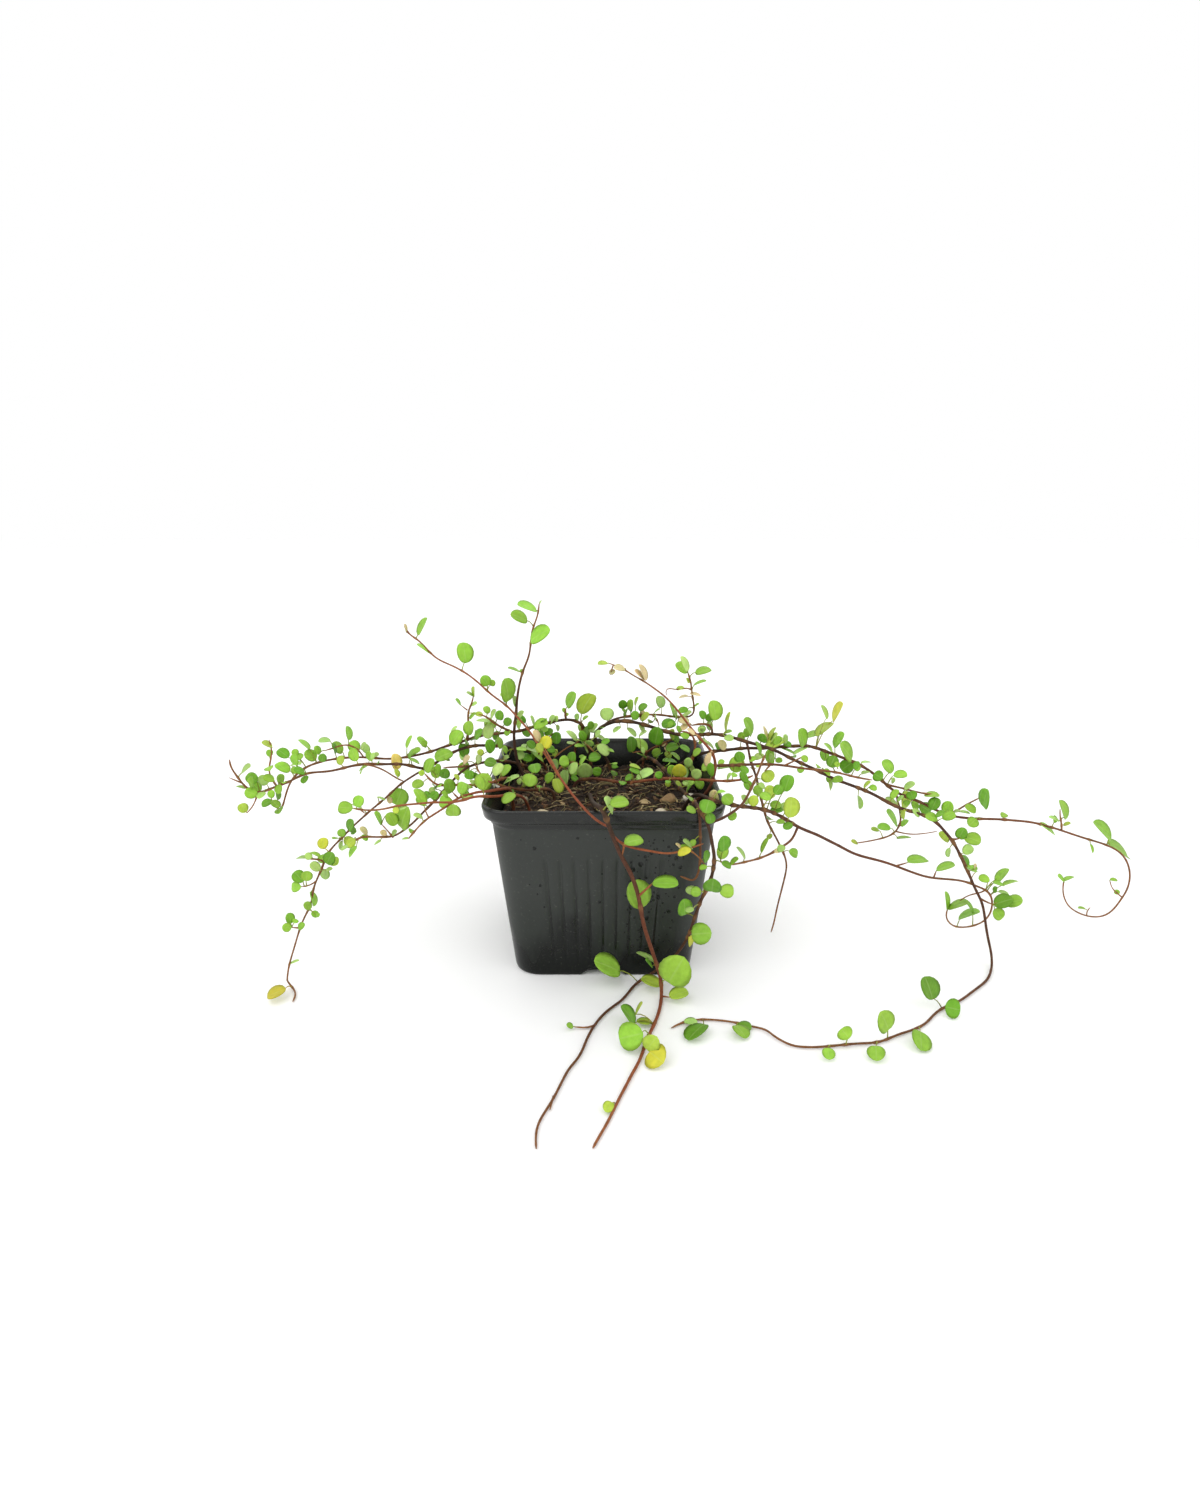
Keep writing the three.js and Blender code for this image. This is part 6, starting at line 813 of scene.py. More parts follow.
def resampled(points, pitch):
    """A smooth finer run of (x, y, z, radius) points: straight mixing, then a 1-2-1 mean of the places."""
    run = np.concatenate([[0], np.cumsum(np.linalg.norm(np.diff(points[:, :3], axis=0), axis=1))])
    even = np.linspace(0, run[-1], max(3, int(run[-1] / pitch) + 1))
    fine = np.column_stack([np.interp(even, run, points[:, k]) for k in range(4)])
    for _ in range(4):
        fine[1:-1, :3] = 0.5 * fine[1:-1, :3] + 0.25 * (fine[:-2, :3] + fine[2:, :3])
    return fine


def blade_faces():
    """Faces of one closed blade: a foot point, rows of 2 rim, 3 top and 3 under points, and a tip point."""
    def at(row, top):
        base = 1 + row * BLADE_SPOTS
        inner = [base + 2, base + 3, base + 4] if top else [base + 5, base + 6, base + 7]
        return [base, *inner, base + 1]

    faces = []
    tip = 1 + BLADE_ROWS * BLADE_SPOTS
    for top in (True, False):
        for k in range(4):
            for row in range(BLADE_ROWS - 1):
                low, high = at(row, top), at(row + 1, top)
                quad = [low[k], low[k + 1], high[k + 1], high[k]]
                faces.append(quad[::-1] if top else quad)
            start = [0, at(0, top)[k + 1], at(0, top)[k]]
            end = [tip, at(BLADE_ROWS - 1, top)[k], at(BLADE_ROWS - 1, top)[k + 1]]
            faces += [start[::-1], end[::-1]] if top else [start, end]
    return faces


def blade_spots(foot, tip, up, width, thick, curl):
    """Oval blade of length L and width w, with t = (1 - cos(q)) / 2 and f = sin(q)^0.94 (0.97 + 0.08 t).

    P(t, s) = foot + t L a + s f w/2 b + (0.11 w f |s|^1.4 - curl L (t^2 - t) + k thick/2 (1 - 0.6 s^2)) u,
    where k is 1 on top, -1 underneath and 0 on the rim.
    """
    along = tip - foot
    long = np.linalg.norm(along)
    along = along / long
    across = np.cross(up, along)
    turn = np.pi * np.arange(1, BLADE_ROWS + 1) / (BLADE_ROWS + 1)
    t = 0.5 - 0.5 * np.cos(turn)
    full = np.sin(turn) ** 0.94 * (0.97 + 0.08 * t)
    s = np.array([-1, 1, -0.55, 0, 0.55, -0.55, 0, 0.55])
    way = np.array([0, 0, 1, 1, 1, -1, -1, -1])
    lift = 0.11 * width * np.abs(s)[None] ** 1.4 * full[:, None] - curl * long * (t**2 - t)[:, None]
    lift = lift + way[None] * thick / 2 * (1 - s[None] ** 2 * 0.6)
    spots = (foot + (t[:, None] * long * np.ones(BLADE_SPOTS))[..., None] * along
             + (s[None] * full[:, None] * width / 2)[..., None] * across + lift[..., None] * up)
    uvs = np.stack([np.repeat(t[:, None], BLADE_SPOTS, 1),
                    np.repeat(0.5 + 0.5 * s[None], BLADE_ROWS, 0)], axis=2)
    return (np.vstack([foot, spots.reshape(-1, 3), tip]),
            np.vstack([[0, 0.5], uvs.reshape(-1, 2), [1, 0.5]]))


def hides_gold(spot):
    """Whether the line of sight to a spot, drawn on behind it, passes close by the one gold leaf."""
    far = EYE + (spot - EYE) * 1.3
    return reach_of(GOLD_LEAF[None], EYE[None], far[None])[0, 0] < GOLD_SIGHT


def side_leaves(name, plant, poses, rng):
    """Small leaves drawn at random along the stems, where no other leaf stands close by.

    Each stands on a stalk across its stem, turned to a random side and upwards, and faces the sky. None
    hides the gold leaf, or comes near the pot's wall or the sides of the solid model's box.
    """
    share = LEAFY.get(name, 0)
    taken = [(pose[1], GOLD_ROOM if pose[5] == "gold" else LEAF_ROOM) for pose in poses]
    more = []
    for spots in plant["fine"]:
        fine = resampled(spots, 3.0)
        for i in range(3, len(fine) - 1):
            spot = fine[i, :3]
            if rng.random() > share * 0.5 or spot[2] < soil_height(spot[0], spot[1]) * 0.62:
                continue
            along = unit(fine[i + 1, :3] - fine[i - 1, :3])
            side = rng.normal(size=3) + [0, -0.25, 0.9]
            side = unit(side - along * (side @ along))
            foot = spot + side * rng.uniform(1.6, 3.4) + along * rng.uniform(0, 1.2)
            long = rng.uniform(3.2, 6.4)
            ahead = unit(side + along * rng.uniform(-0.3, 0.9) + rng.normal(size=3) * 0.25)
            tip = foot + ahead * long
            up = rng.normal(size=3) * 0.45 + [0, -0.45, 0.9]
            up = unit(up - ahead * (up @ ahead))
            if any(np.linalg.norm(foot - other) < room for other, room in taken):
                continue
            if np.abs(tip[:2]).max() < 48 and min(foot[2], tip[2]) < soil_height(tip[0], tip[1]) + 1:
                continue
            if np.any(tip < LOW + 3) or np.any(tip > HIGH - 3) or wall_near(foot, tip):
                continue
            if hides_gold(foot) or hides_gold(tip):
                continue
            tint = str(rng.choice(["mid", "deep", "pale", "sallow"], p=[0.5, 0.3, 0.13, 0.07]))
            taken.append((foot, LEAF_ROOM))
            more.append((spot, foot, tip, up, long * rng.uniform(0.6, 0.86), tint))
    return more


def wall_near(foot, tip):
    """Whether a leaf would come near the pot's wall, by its least height and its reach from the middle."""
    reach = [max(abs(spot[0]), abs(spot[1])) for spot in (foot, tip)]
    low = min(foot[2], tip[2]) < POT_HEIGHT + 2
    return low and min(reach) < RIM_HALF + 2 and max(reach) > WALL_INSIDE


def kept_in(spots, foot):
    """A blade shrunk about its foot to stay under the solid model's top, and kept off the table."""
    over = spots[:, 2].max()
    if over > HIGH[2]:
        spots = foot + (spots - foot) * max(0.3, (HIGH[2] - foot[2]) / (over - foot[2]))
    spots[:, 2] = np.maximum(spots[:, 2], BLADE_LIFT)
    return np.clip(spots, LOW, HIGH)


def stem_body(fine, girth, nodes, barks):
    """A stem's tube, swollen at its nodes, with its tint: old bark where it is thick, tender at its tip."""
    old, young, tender = barks
    swell = np.zeros(len(fine))
    if len(nodes):
        swell = np.exp(-((reach_of(fine[:, :3], nodes, nodes).min(axis=1) / 0.95) ** 2))
    radii = girth * fine[:, 3] * (1 + 0.5 * swell)
    radii += 0.02 * np.sin(np.arange(len(fine)) * 1.7)
    radii[-1] *= 0.5
    age = np.clip((fine[:, 3] - 0.45) / 0.6, 0, 1)[:, None]
    tint = np.where(age > 0.5, young + (old - young) * (age * 2 - 1), tender + (young - tender) * age * 2)
    tint = tint + (np.array(linear("#93693F")) - tint) * (0.6 * swell[:, None])
    sides = 8 if fine[:, 3].max() > 0.75 else 6
    body, faces = tube(fine[:, :3], radii, sides)
    body[:, 2] = np.maximum(body[:, 2], STEM_LIFT)
    return np.clip(body, LOW, HIGH), faces, np.vstack([np.repeat(tint, sides, axis=0), tint[:1], tint[-1:]])


def stalk_body(start, foot, tip):
    """A leaf's stalk: a thin tube bowed upwards, which ends a little way inside the blade."""
    t = np.linspace(0, 1, 5)[:, None]
    bow = 0.18 * np.linalg.norm(foot - start)
    sunk = foot + (tip - foot) * 0.08
    path = start + (sunk - start) * t + np.array([0, 0, 1.0]) * bow * (4 * t * (1 - t))
    body, faces = tube(path, np.linspace(0.27, 0.17, 5), 5)
    return np.clip(body, LOW, HIGH), faces


def make_runner(name, plant, settings, materials):
    """One runner: bark tubes thickened at the nodes, leaf stalks and folded blades."""
    rng = np.random.default_rng(sum(ord(letter) for letter in name))
    shell = Shell()
    poses = hung_leaves(name, plant)
    poses += side_leaves(name, plant, poses, rng)
    nodes = np.array([pose[0] for pose in poses]) if poses else np.zeros((0, 3))
    barks = (settings.old_bark, settings.young_bark, settings.tip_bark)
    old, young, tender = (np.array(colour) for colour in barks)
    if name in RED_BARK:
        young = np.array(settings.red_bark)
    if name in DARK_BARK:
        young = 0.5 * young + 0.5 * old
    girths = TRAIL_GIRTH if name == "front_trail" else (1.0, 1.0)
    for rank, spots in enumerate(plant["fine"]):
        girth = settings.slim * girths[min(rank, 1)]
        shell.add(*stem_body(resampled(spots, 1.6), girth, nodes, (old, young, tender)))
    faces = blade_faces()
    for start, foot, tip, up, width, tint in poses:
        colour = np.array(linear(TINTS[tint]))
        colour = np.clip(colour * (1 + rng.uniform(-0.16, 0.16)) * (1 + rng.uniform(-0.06, 0.06, 3)), 0, 1)
        under = 0.62 * colour + 0.38 * np.array(linear("#C3D2A4"))
        shell.add(*stalk_body(start, foot, tip), 0.55 * colour + 0.45 * tender)
        limp = settings.curl * rng.uniform(0.4, 1.4)
        spots, uvs = blade_spots(foot, tip, up, width * settings.fullness, settings.blade, limp)
        tints = np.tile(colour, (len(spots), 1))
        tints[1:-1].reshape(BLADE_ROWS, BLADE_SPOTS, 3)[:, 5:] = under
        shell.add(kept_in(spots, foot), faces, tints, uvs, slot=1)
    return shell.build(f"{name}_fine", materials)


# Pot, soil and pebbles.

# Flutes: pitch and half width as parts of half a side, and the heights where they fade out.
FLUTE_PITCH = 0.142
FLUTE_HALF = 0.029
FLUTE_FOOT = 6
FLUTE_TOP = 58.8

# The arch in each bottom edge, and the cover above it inside: height and half width in millimetres.
ARCH = (3.4, 9.5)
COVER = (4.8, 10.9)

# Drain holes: sides, radius and distance from the middle along X and Y.
HOLE_SIDES = 24
HOLE_RADIUS = 3.6
HOLE_PLACE = 24.0

# The soil's top: points along each side, and half its width.
SOIL_POINTS = 110
SOIL_HALF = 44.3


def wall_half(height):
    """Half width of the outside of the wall at a height: foot + spread * height / rise."""
    return WALL_FOOT + WALL_SPREAD * height / WALL_RISE


def half_ellipse(across, size):
    """Height of a half ellipse, tall * sqrt(1 - (across / half)^2), and nought beside it."""
    tall, half = size
    return tall * np.sqrt(np.maximum(0, 1 - (across / half) ** 2))


def flute_columns():
    """Places v from -1 to 1 along one side and corner run, close together at the nine flutes and the bend."""
    steps = (-1, -0.7, -0.4, 0, 0.4, 0.7, 1)
    flutes = [k * FLUTE_PITCH + step * FLUTE_HALF for k in range(-4, 5) for step in steps]
    bend = np.linspace(0.72, 1, 10)[:-1]
    between = [sign * (k + 0.5) * FLUTE_PITCH for k in range(5) for sign in (-1, 1)]
    return np.array(sorted([*flutes, *between, *bend, *-bend, -1]))


def square_ring(half, radius, columns):
    """Rounded square, columns per side and corner run, counter-clockwise from the corner before +X."""
    v = np.tile(columns, 4)
    side = np.repeat(np.arange(4), len(columns))
    flat = half - radius
    run = v * (flat + np.pi / 4 * radius)
    over = np.maximum(np.abs(run) - flat, 0) / max(radius, 1e-9)
    x = np.where(over > 0, flat + radius * np.cos(over), half)
    y = np.sign(run) * np.where(over > 0, flat + radius * np.sin(over), np.abs(run))
    turn = side * np.pi / 2
    return np.stack([x * np.cos(turn) - y * np.sin(turn), x * np.sin(turn) + y * np.cos(turn)], axis=1), v, y


def drained_floor(ring, base, start, height, flip):
    """Flat floor between a square ring and four round drain holes, one for each corner, and its centre.

    Each quarter joins the ring's corner run and the centre to its hole by the angle round the hole.
    """
    count = len(ring) // 4
    holes = [HOLE_PLACE * np.array(way, float) for way in ((1, 1), (-1, 1), (-1, -1), (1, -1))]
    angle = np.linspace(0, 2 * np.pi, HOLE_SIDES, endpoint=False)
    circle = HOLE_RADIUS * np.column_stack([np.cos(angle), np.sin(angle)])
    spots = np.vstack([hole + circle for hole in holes] + [[[0.0, 0.0]]])
    centre = start + 4 * HOLE_SIDES
    middle = int(np.argmin(np.abs(np.arctan2(ring[:count, 1], ring[:count, 0]))))
    faces = []
    for quarter, hole in enumerate(holes):
        run = [(quarter * count + middle + k) % len(ring) for k in range(count + 1)]
        edge = [(base + k, ring[k]) for k in run] + [(centre, np.zeros(2))]
        rim = [(start + quarter * HOLE_SIDES + k, hole + circle[k]) for k in range(HOLE_SIDES)]
        faces += zipped(edge, rim, hole)
    if flip:
        faces = [face[::-1] for face in faces]
    return np.column_stack([spots, np.full(len(spots), float(height))]), faces


def zipped(edge, rim, hole):
    """Triangles between two closed loops round a hole, walked together by their angle about it."""
    def turned(loop):
        angle = np.array([math.atan2(*(spot - hole)[::-1]) for _, spot in loop])
        first = int(np.argmin(angle))
        names = [name for name, _ in loop[first:] + loop[:first]]
        angle = np.roll(angle, -first)
        return names + names[:1], [*angle, angle[0] + 2 * np.pi]

    (outer, far), (inner, near) = turned(edge), turned(rim)
    faces = []
    i = k = 0
    while i + 1 < len(outer) or k + 1 < len(inner):
        if k + 1 == len(inner) or (i + 1 < len(outer) and far[i + 1] <= near[k + 1]):
            faces.append([outer[i], outer[i + 1], inner[k]])
            i += 1
        else:
            faces.append([outer[i], inner[k + 1], inner[k]])
            k += 1
    return faces


def pot_profile():
    """Half widths and heights of the pot's section: under its foot, up the outside, and down the inside."""
    under = [(34.6, 0.0), (34.9, 0.0)]
    foot = [(38.5, 0.0), (39.05, 0.5), (39.3, 1.5), (39.5, 3.2), (39.7, 5.0)]
    levels = (7, 8, 9.5, 11.5, 14, 20, 27, 34, 41, 48, 53, 55.5, 56.5, 57.3, 58, 58.6, 60, 64, 68, 71)
    wall = [(wall_half(height), height) for height in levels]
    rim = [(46.25, 72.2), (46.5, 72.9), (46.95, 73.3), (47.05, 74.2), (47.15, 75.2), (47.7, 75.8),
           (48.7, 76.1), (49.3, 76.7), (49.6, 78.2), (49.8, 79.6), (RIM_HALF, 80.6), (49.95, 81.3),
           (49.6, 81.8), (49.1, POT_HEIGHT), (48.6, 81.8)]
    inner = [(48.0, 81.0), (46.9, 79.0), (46.3, 76.0), (45.2, 72.0), (44.2, 60), (42.6, 40), (40.4, 16),
             (38.4, 3.4), (37.6, 1.9), (35.0, FLOOR), (33.4, FLOOR)]
    return under, foot + wall + rim, inner


def fluted(ring, v, height, depth):
    """A ring of the wall, drawn in by the part depth cos^2 across each of nine flutes a side."""
    place = ((v / FLUTE_PITCH + 0.5) % 1 - 0.5) * FLUTE_PITCH / FLUTE_HALF
    near = np.abs(v) < 4.4 * FLUTE_PITCH
    fade = np.clip((height - FLUTE_FOOT) / 7, 0, 1) * np.clip((FLUTE_TOP - height) / 2.4, 0, 1) ** 0.5
    wave = np.cos(np.pi / 2 * np.clip(place, -1, 1)) ** 2
    return ring * (1 - depth * fade * near * wave)[:, None]


def hole_walls(low, high):
    """Quads that join the four drain holes of the inner floor, from point low on, to those underneath."""
    faces = []
    for hole in range(4):
        for k in range(HOLE_SIDES):
            here, after = hole * HOLE_SIDES + k, hole * HOLE_SIDES + (k + 1) % HOLE_SIDES
            faces.append([low + here, high + here, high + after, low + after])
    return faces


def make_pot(settings, material):
    """Closed shell of the pot: a profile of half widths and heights swept round a rounded square.

    Nine flutes a side sink the wall by d cos^2(pi v / 2 w) of the place v across each, fading at both ends,
    and the bottom edge lifts by a half ellipse in the middle of each side.
    """
    under, outer, inner = pot_profile()
    profile = under + outer + inner
    outside = len(under) + len(outer)
    columns = flute_columns()
    rings = []
    for order, (half, height) in enumerate(profile):
        ring, v, across = square_ring(half, CORNER - 1.2 * (order >= outside), columns)
        z = np.full(len(ring), float(height))
        arch = half_ellipse(across, ARCH)
        if 0 < order < outside and height < 7:
            z = np.maximum(z, np.minimum(arch + height * 0.45, height + arch))
        if order >= outside and half > 34:
            z = np.maximum(z, half_ellipse(across, COVER))
        if len(under) <= order < outside and height < 60:
            ring = fluted(ring, v, height, settings.flute / half)
        rings.append(np.column_stack([ring, z]))
    around = len(columns) * 4
    spots = np.vstack(rings)
    faces = ring_faces(len(rings), around)
    ends = ((rings[-1], len(spots) - around, FLOOR, False), (rings[0], 0, 0.0, True))
    for ring, base, height, flip in ends:
        more, patch = drained_floor(ring[:, :2], base, len(spots), height, flip)
        spots = np.vstack([spots, more])
        faces += patch
    faces += hole_walls(len(spots) - 4 * HOLE_SIDES - 1, len(spots) - 8 * HOLE_SIDES - 2)
    # Tint mask: 1 on the outer wall below the rim, where the pot material may show dusting. 0 on the rim, the
    # inside and the underside, which it paints in its painted shade colour.
    wall = [len(under) < order < outside and height < 72.5 for order, (_, height) in enumerate(profile)]
    dust_and_shade_mask = np.zeros(len(spots))
    dust_and_shade_mask[:len(rings) * around] = np.repeat(wall, around)
    shell = Shell()
    shell.add(spots, faces, np.repeat(dust_and_shade_mask[:, None], 3, axis=1))
    return shell.build("pot_fine", [material])


def ripple(x, y, seed, waves, pitch):
    """Sum of sines in random directions: sum sin(k . (x, y) + p) / waves, k about 2 pi / pitch long."""
    rng = np.random.default_rng(seed)
    total = 0
    for _ in range(waves):
        turn, phase, size = rng.uniform(0, 2 * np.pi, 2).tolist() + [rng.uniform(0.6, 1.7)]
        reach = 2 * np.pi / pitch * size
        total = total + np.sin(reach * (x * math.cos(turn) + y * math.sin(turn)) + phase)
    return total / waves


def make_soil(settings, material):
    """Soil: a fine uneven top z = h(x, y) + crumbs on a tapering plug, its rim drawn down at the wall."""
    count = SOIL_POINTS
    gx, gy = np.meshgrid(np.linspace(-1, 1, count), np.linspace(-1, 1, count))
    square = np.maximum(np.abs(gx), np.abs(gy))
    corner = np.clip((np.sqrt(gx**2 + gy**2) + 1e-9 - 1.16) / 0.26, 0, 1)
    x, y = gx * SOIL_HALF * (1 - 0.07 * corner), gy * SOIL_HALF * (1 - 0.07 * corner)
    crumb = 1.1 * ripple(x, y, 3, 9, 7) + 1.0 * ripple(x, y, 5, 12, 3.2) + 0.7 * ripple(x, y, 8, 12, 1.7)
    z = soil_height(x, y) + settings.crumb * crumb - 1.2 * np.clip((square - 0.94) / 0.06, 0, 1)
    top = np.stack([x, y, z], axis=2).reshape(-1, 3)
    index = np.arange(count * count).reshape(count, count)
    quads = np.stack([index[:-1, :-1], index[:-1, 1:], index[1:, 1:], index[1:, :-1]], axis=2)
    faces = quads.reshape(-1, 4).tolist()
    edge = [*index[0], *index[1:, -1], *index[-1, -2::-1], *index[-2:0:-1, 0]]
    spots = [top]
    start, total = [int(k) for k in edge], len(top)
    for height, size in ((60.0, 0.972), (30.0, 0.905), (3.4, 0.845)):
        spots.append(top[edge] * [size, size, 0] + [0, 0, height])
        lower = list(range(total, total + len(edge)))
        faces += [[start[(k + 1) % len(edge)], start[k], lower[k], lower[(k + 1) % len(edge)]]
                  for k in range(len(edge))]
        start, total = lower, total + len(edge)
    spots.append([[0, 0, 2.1]])
    faces += [[start[(k + 1) % len(edge)], start[k], total] for k in range(len(edge))]
    shell = Shell()
    shell.add(np.vstack(spots), faces, linear("#2E2117"))
    rng = np.random.default_rng(21)
    scatter_chips(shell, settings.chips, rng)
    scatter_fibres(shell, settings.fibres, rng)
    return shell.build("soil_fine", [material], smooth=False)


def scatter_chips(shell, count, rng):
    """Bark chips and grit: small wedges, each turned at random and half sunk."""
    codes = ("#4A3222", "#6B4A30", "#2B1C12", "#8A6A48", "#B49A70", "#5A4030")
    share = [0.3, 0.25, 0.2, 0.12, 0.05, 0.08]
    faces = [[0, 2, 3, 1], [4, 5, 7, 6], [0, 1, 5, 4], [2, 6, 7, 3], [0, 4, 6, 2], [1, 3, 7, 5]]
    for _ in range(count):
        x, y = rng.uniform(-42, 42, 2)
        long, wide, tall = rng.uniform(1.2, 5.0), rng.uniform(0.7, 2.0), rng.uniform(0.4, 1.2)
        turn, tip = rng.uniform(0, 2 * np.pi), rng.uniform(-0.35, 0.35)
        box = np.array([[a, b, c] for c in (-1, 1) for b in (-1, 1) for a in (-1, 1)], float)
        box *= [long / 2, wide / 2, tall / 2]
        box[:, :2] *= 1 - 0.35 * rng.random((8, 1))
        box[:, 2] += box[:, 0] * tip
        c, s = math.cos(turn), math.sin(turn)
        spots = np.column_stack([box[:, 0] * c - box[:, 1] * s + x, box[:, 0] * s + box[:, 1] * c + y,
                                 box[:, 2] + soil_height(x, y) + rng.uniform(0, 0.5)])
        if np.abs(spots[:, :2]).max() < SOIL_HALF - 0.7:
            shell.add(spots, faces, linear(codes[rng.choice(len(codes), p=share)]))


def scatter_fibres(shell, count, rng):
    """Loose fibres: bent threads, thin towards one end, each turned at random on the soil."""
    codes = ["#7A6A48", "#2A1D14", "#A8986E", "#5C4A32", "#8E865C", "#4A3826"]
    for _ in range(count):
        x, y = rng.uniform(-41, 41, 2)
        turn, long = rng.uniform(0, 2 * np.pi), rng.uniform(4, 17)
        t = np.linspace(-0.5, 0.5, 8)
        bend, wag = rng.uniform(-0.8, 0.8), rng.uniform(-0.06, 0.06)
        sway = bend * t * t + wag * np.sin(t * 14)
        px = x + long * (t * math.cos(turn) - sway * math.sin(turn))
        py = y + long * (t * math.sin(turn) + sway * math.cos(turn))
        if max(np.abs(px).max(), np.abs(py).max()) < SOIL_HALF - 1.3:
            height = soil_height(px, py) + rng.uniform(0.5, 1.5) + rng.uniform(0, 1.2) * np.sin(t * 7 + turn)
            path = np.column_stack([px, py, height])
            body, faces = tube(path, np.linspace(rng.uniform(0.14, 0.45), 0.08, 8), 5)
            shell.add(body, faces, linear(str(rng.choice(codes))))


def make_pebble(name, row, material):
    """Stone: an ellipsoid whose radius, for each of six random ways w and the direction n, loses
    0.73 max(0, n . w - c), which flattens it, and gains 0.03 sin(k n . w + p), which ripples it.
    """
    x, y, long, wide, tall, turn, colour = row
    rng = np.random.default_rng(int(abs(x * 7 + y * 3)))
    rings, sides = 12, 20
    lat = np.linspace(-np.pi / 2, np.pi / 2, rings + 2)[1:-1, None]
    lon = np.linspace(0, 2 * np.pi, sides, endpoint=False)[None]
    ball = np.stack([np.cos(lat) * np.cos(lon), np.cos(lat) * np.sin(lon), np.sin(lat) * np.ones_like(lon)],
                    axis=2)
    ball = np.vstack([ball.reshape(-1, 3), [[0, 0, -1], [0, 0, 1]]])
    swell = np.ones(len(ball))
    for _ in range(6):
        way = unit(rng.normal(size=3))
        swell -= 0.22 * np.maximum(0, ball @ way - rng.uniform(0.62, 0.8)) / 0.3
        swell += 0.03 * np.sin(rng.uniform(2, 5) * (ball @ way) + rng.uniform(0, 6))
    spots = ball * swell[:, None] * [long / 2, wide / 2, tall / 2]
    c, s = math.cos(math.radians(turn)), math.sin(math.radians(turn))
    spots = spots @ np.array([[c, s, 0], [-s, c, 0], [0, 0, 1]]) + [x, y, soil_height(x, y) + tall * 0.16]
    shell = Shell()
    shell.add(spots, capped_faces(rings, sides), linear(colour))
    return shell.build(f"{name}_fine", [material])


def make_drops(settings, material):
    """Wet spots on the front of the pot: very low domes of radius r(a) = size (1 + two small waves).

    Each lies on the sloping wall, most of them towards the right, and none touches another.
    """
    rng = np.random.default_rng(4)
    shell = Shell()
    sides = 12
    turn = np.linspace(0, 2 * np.pi, sides, endpoint=False)
    slope = WALL_SPREAD / WALL_RISE
    rows = [(1.0, -0.12), (0.96, 0.05), (0.7, 0.11), (0.35, 0.14)]
    faces = ring_faces(len(rows), sides) + [list(range(3 * sides, 4 * sides)), list(range(sides))[::-1]]
    sizes, shares = [0.25, 0.4, 0.6, 0.85, 1.1], [0.34, 0.3, 0.2, 0.11, 0.05]
    laid = []
    for _ in range(settings.drops):
        across = 35 - 26 * rng.random() ** 1.3 if rng.random() < 0.88 else rng.uniform(-35, 35)
        up = rng.uniform(14, 70)
        size = rng.choice(sizes, p=shares) * rng.uniform(0.85, 1.15)
        wall = wall_half(up)
        near = any(math.hypot(across - a, up - b) < size + c for a, b, c in laid)
        if near or abs(across) > wall - CORNER - 1:
            continue
        laid.append((across, up, size))
        uneven = 1 + 0.1 * np.sin(turn * 2 + across) + 0.08 * np.sin(turn * 3 + up)
        spots = [np.column_stack([across + size * r * uneven * np.cos(turn),
                                  -wall - slope * size * r * 1.1 * np.sin(turn) - lift,
                                  up + size * 1.1 * r * uneven * np.sin(turn)]) for r, lift in rows]
        shell.add(np.vstack(spots), faces, (1, 1, 1))
    return shell.build("water_beads", [material])


# Materials.

def add_node(tree, kind, links=(), **settings):
    """A node with its settings; links are (own input, other node's output) pairs or constant values."""
    made = tree.nodes.new(kind)
    for key, value in settings.items():
        setattr(made, key, value)
    for socket, value in dict(links).items():
        if isinstance(value, bpy.types.NodeSocket):
            tree.links.new(value, made.inputs[socket])
        else:
            made.inputs[socket].default_value = value
    return made


def ramp(tree, factor, stops):
    """A colour ramp over factor with stops of (place, colour)."""
    made = add_node(tree, "ShaderNodeValToRGB", {"Fac": factor})
    band = made.color_ramp
    while len(band.elements) < len(stops):
        band.elements.new(0.5)
    for element, (place, colour) in zip(band.elements, stops):
        element.position = place
        element.color = (*colour, 1)
    return made.outputs["Color"]


def new_material(name):
    """An empty node material with its output, and the tree to fill."""
    material = bpy.data.materials.new(name)
    material.use_nodes = True
    tree = material.node_tree
    tree.nodes.clear()
    return material, tree


def finish_material(tree, bump=None, **shader):
    """Ends a tree with a Principled shader whose inputs are given by name, spaces written as underscores.

    A bump is a pair of its height and its distance in metres.
    """
    links = {key.replace("_", " "): value for key, value in shader.items()}
    if bump:
        relief = add_node(tree, "ShaderNodeBump", dict(zip(("Height", "Distance"), bump)))
        links["Normal"] = relief.outputs["Normal"]
    body = add_node(tree, "ShaderNodeBsdfPrincipled", links)
    add_node(tree, "ShaderNodeOutputMaterial", {"Surface": body.outputs["BSDF"]})


def maths(tree, operation, *values):
    """A sum, product or other operation on one or two values."""
    return add_node(tree, "ShaderNodeMath", dict(enumerate(values)), operation=operation).outputs[0]


def remap(tree, value, start, end, low=0.0, high=1.0):
    """Carries a value from the range low to high over to the range start to end, and holds it there."""
    return add_node(tree, "ShaderNodeMapRange", dict(enumerate((value, low, high, start, end)))).outputs[0]


def attribute(tree, name, output="Color"):
    """An attribute that the shells store at their corners: tint, or place on a blade."""
    return add_node(tree, "ShaderNodeAttribute", attribute_name=name).outputs[output]


def mixed(tree, factor, first, second, blend="MIX"):
    """Colour mix of two colours or sockets."""
    made = add_node(tree, "ShaderNodeMix", {0: factor}, data_type="RGBA", blend_type=blend)
    for place, value in ((6, first), (7, second)):
        if isinstance(value, bpy.types.NodeSocket):
            tree.links.new(value, made.inputs[place])
        else:
            made.inputs[place].default_value = (*value, 1) if len(value) == 3 else value
    return made.outputs[2]


def noise(tree, scale, detail=3.0, stretch=(1, 1, 1)):
    """Noise over object coordinates, its scale counted per metre."""
    place = add_node(tree, "ShaderNodeTexCoord").outputs["Object"]
    moved = add_node(tree, "ShaderNodeMapping", {"Vector": place, "Scale": stretch}).outputs["Vector"]
    links = {"Vector": moved, "Scale": scale, "Detail": detail}
    return add_node(tree, "ShaderNodeTexNoise", links).outputs["Fac"]


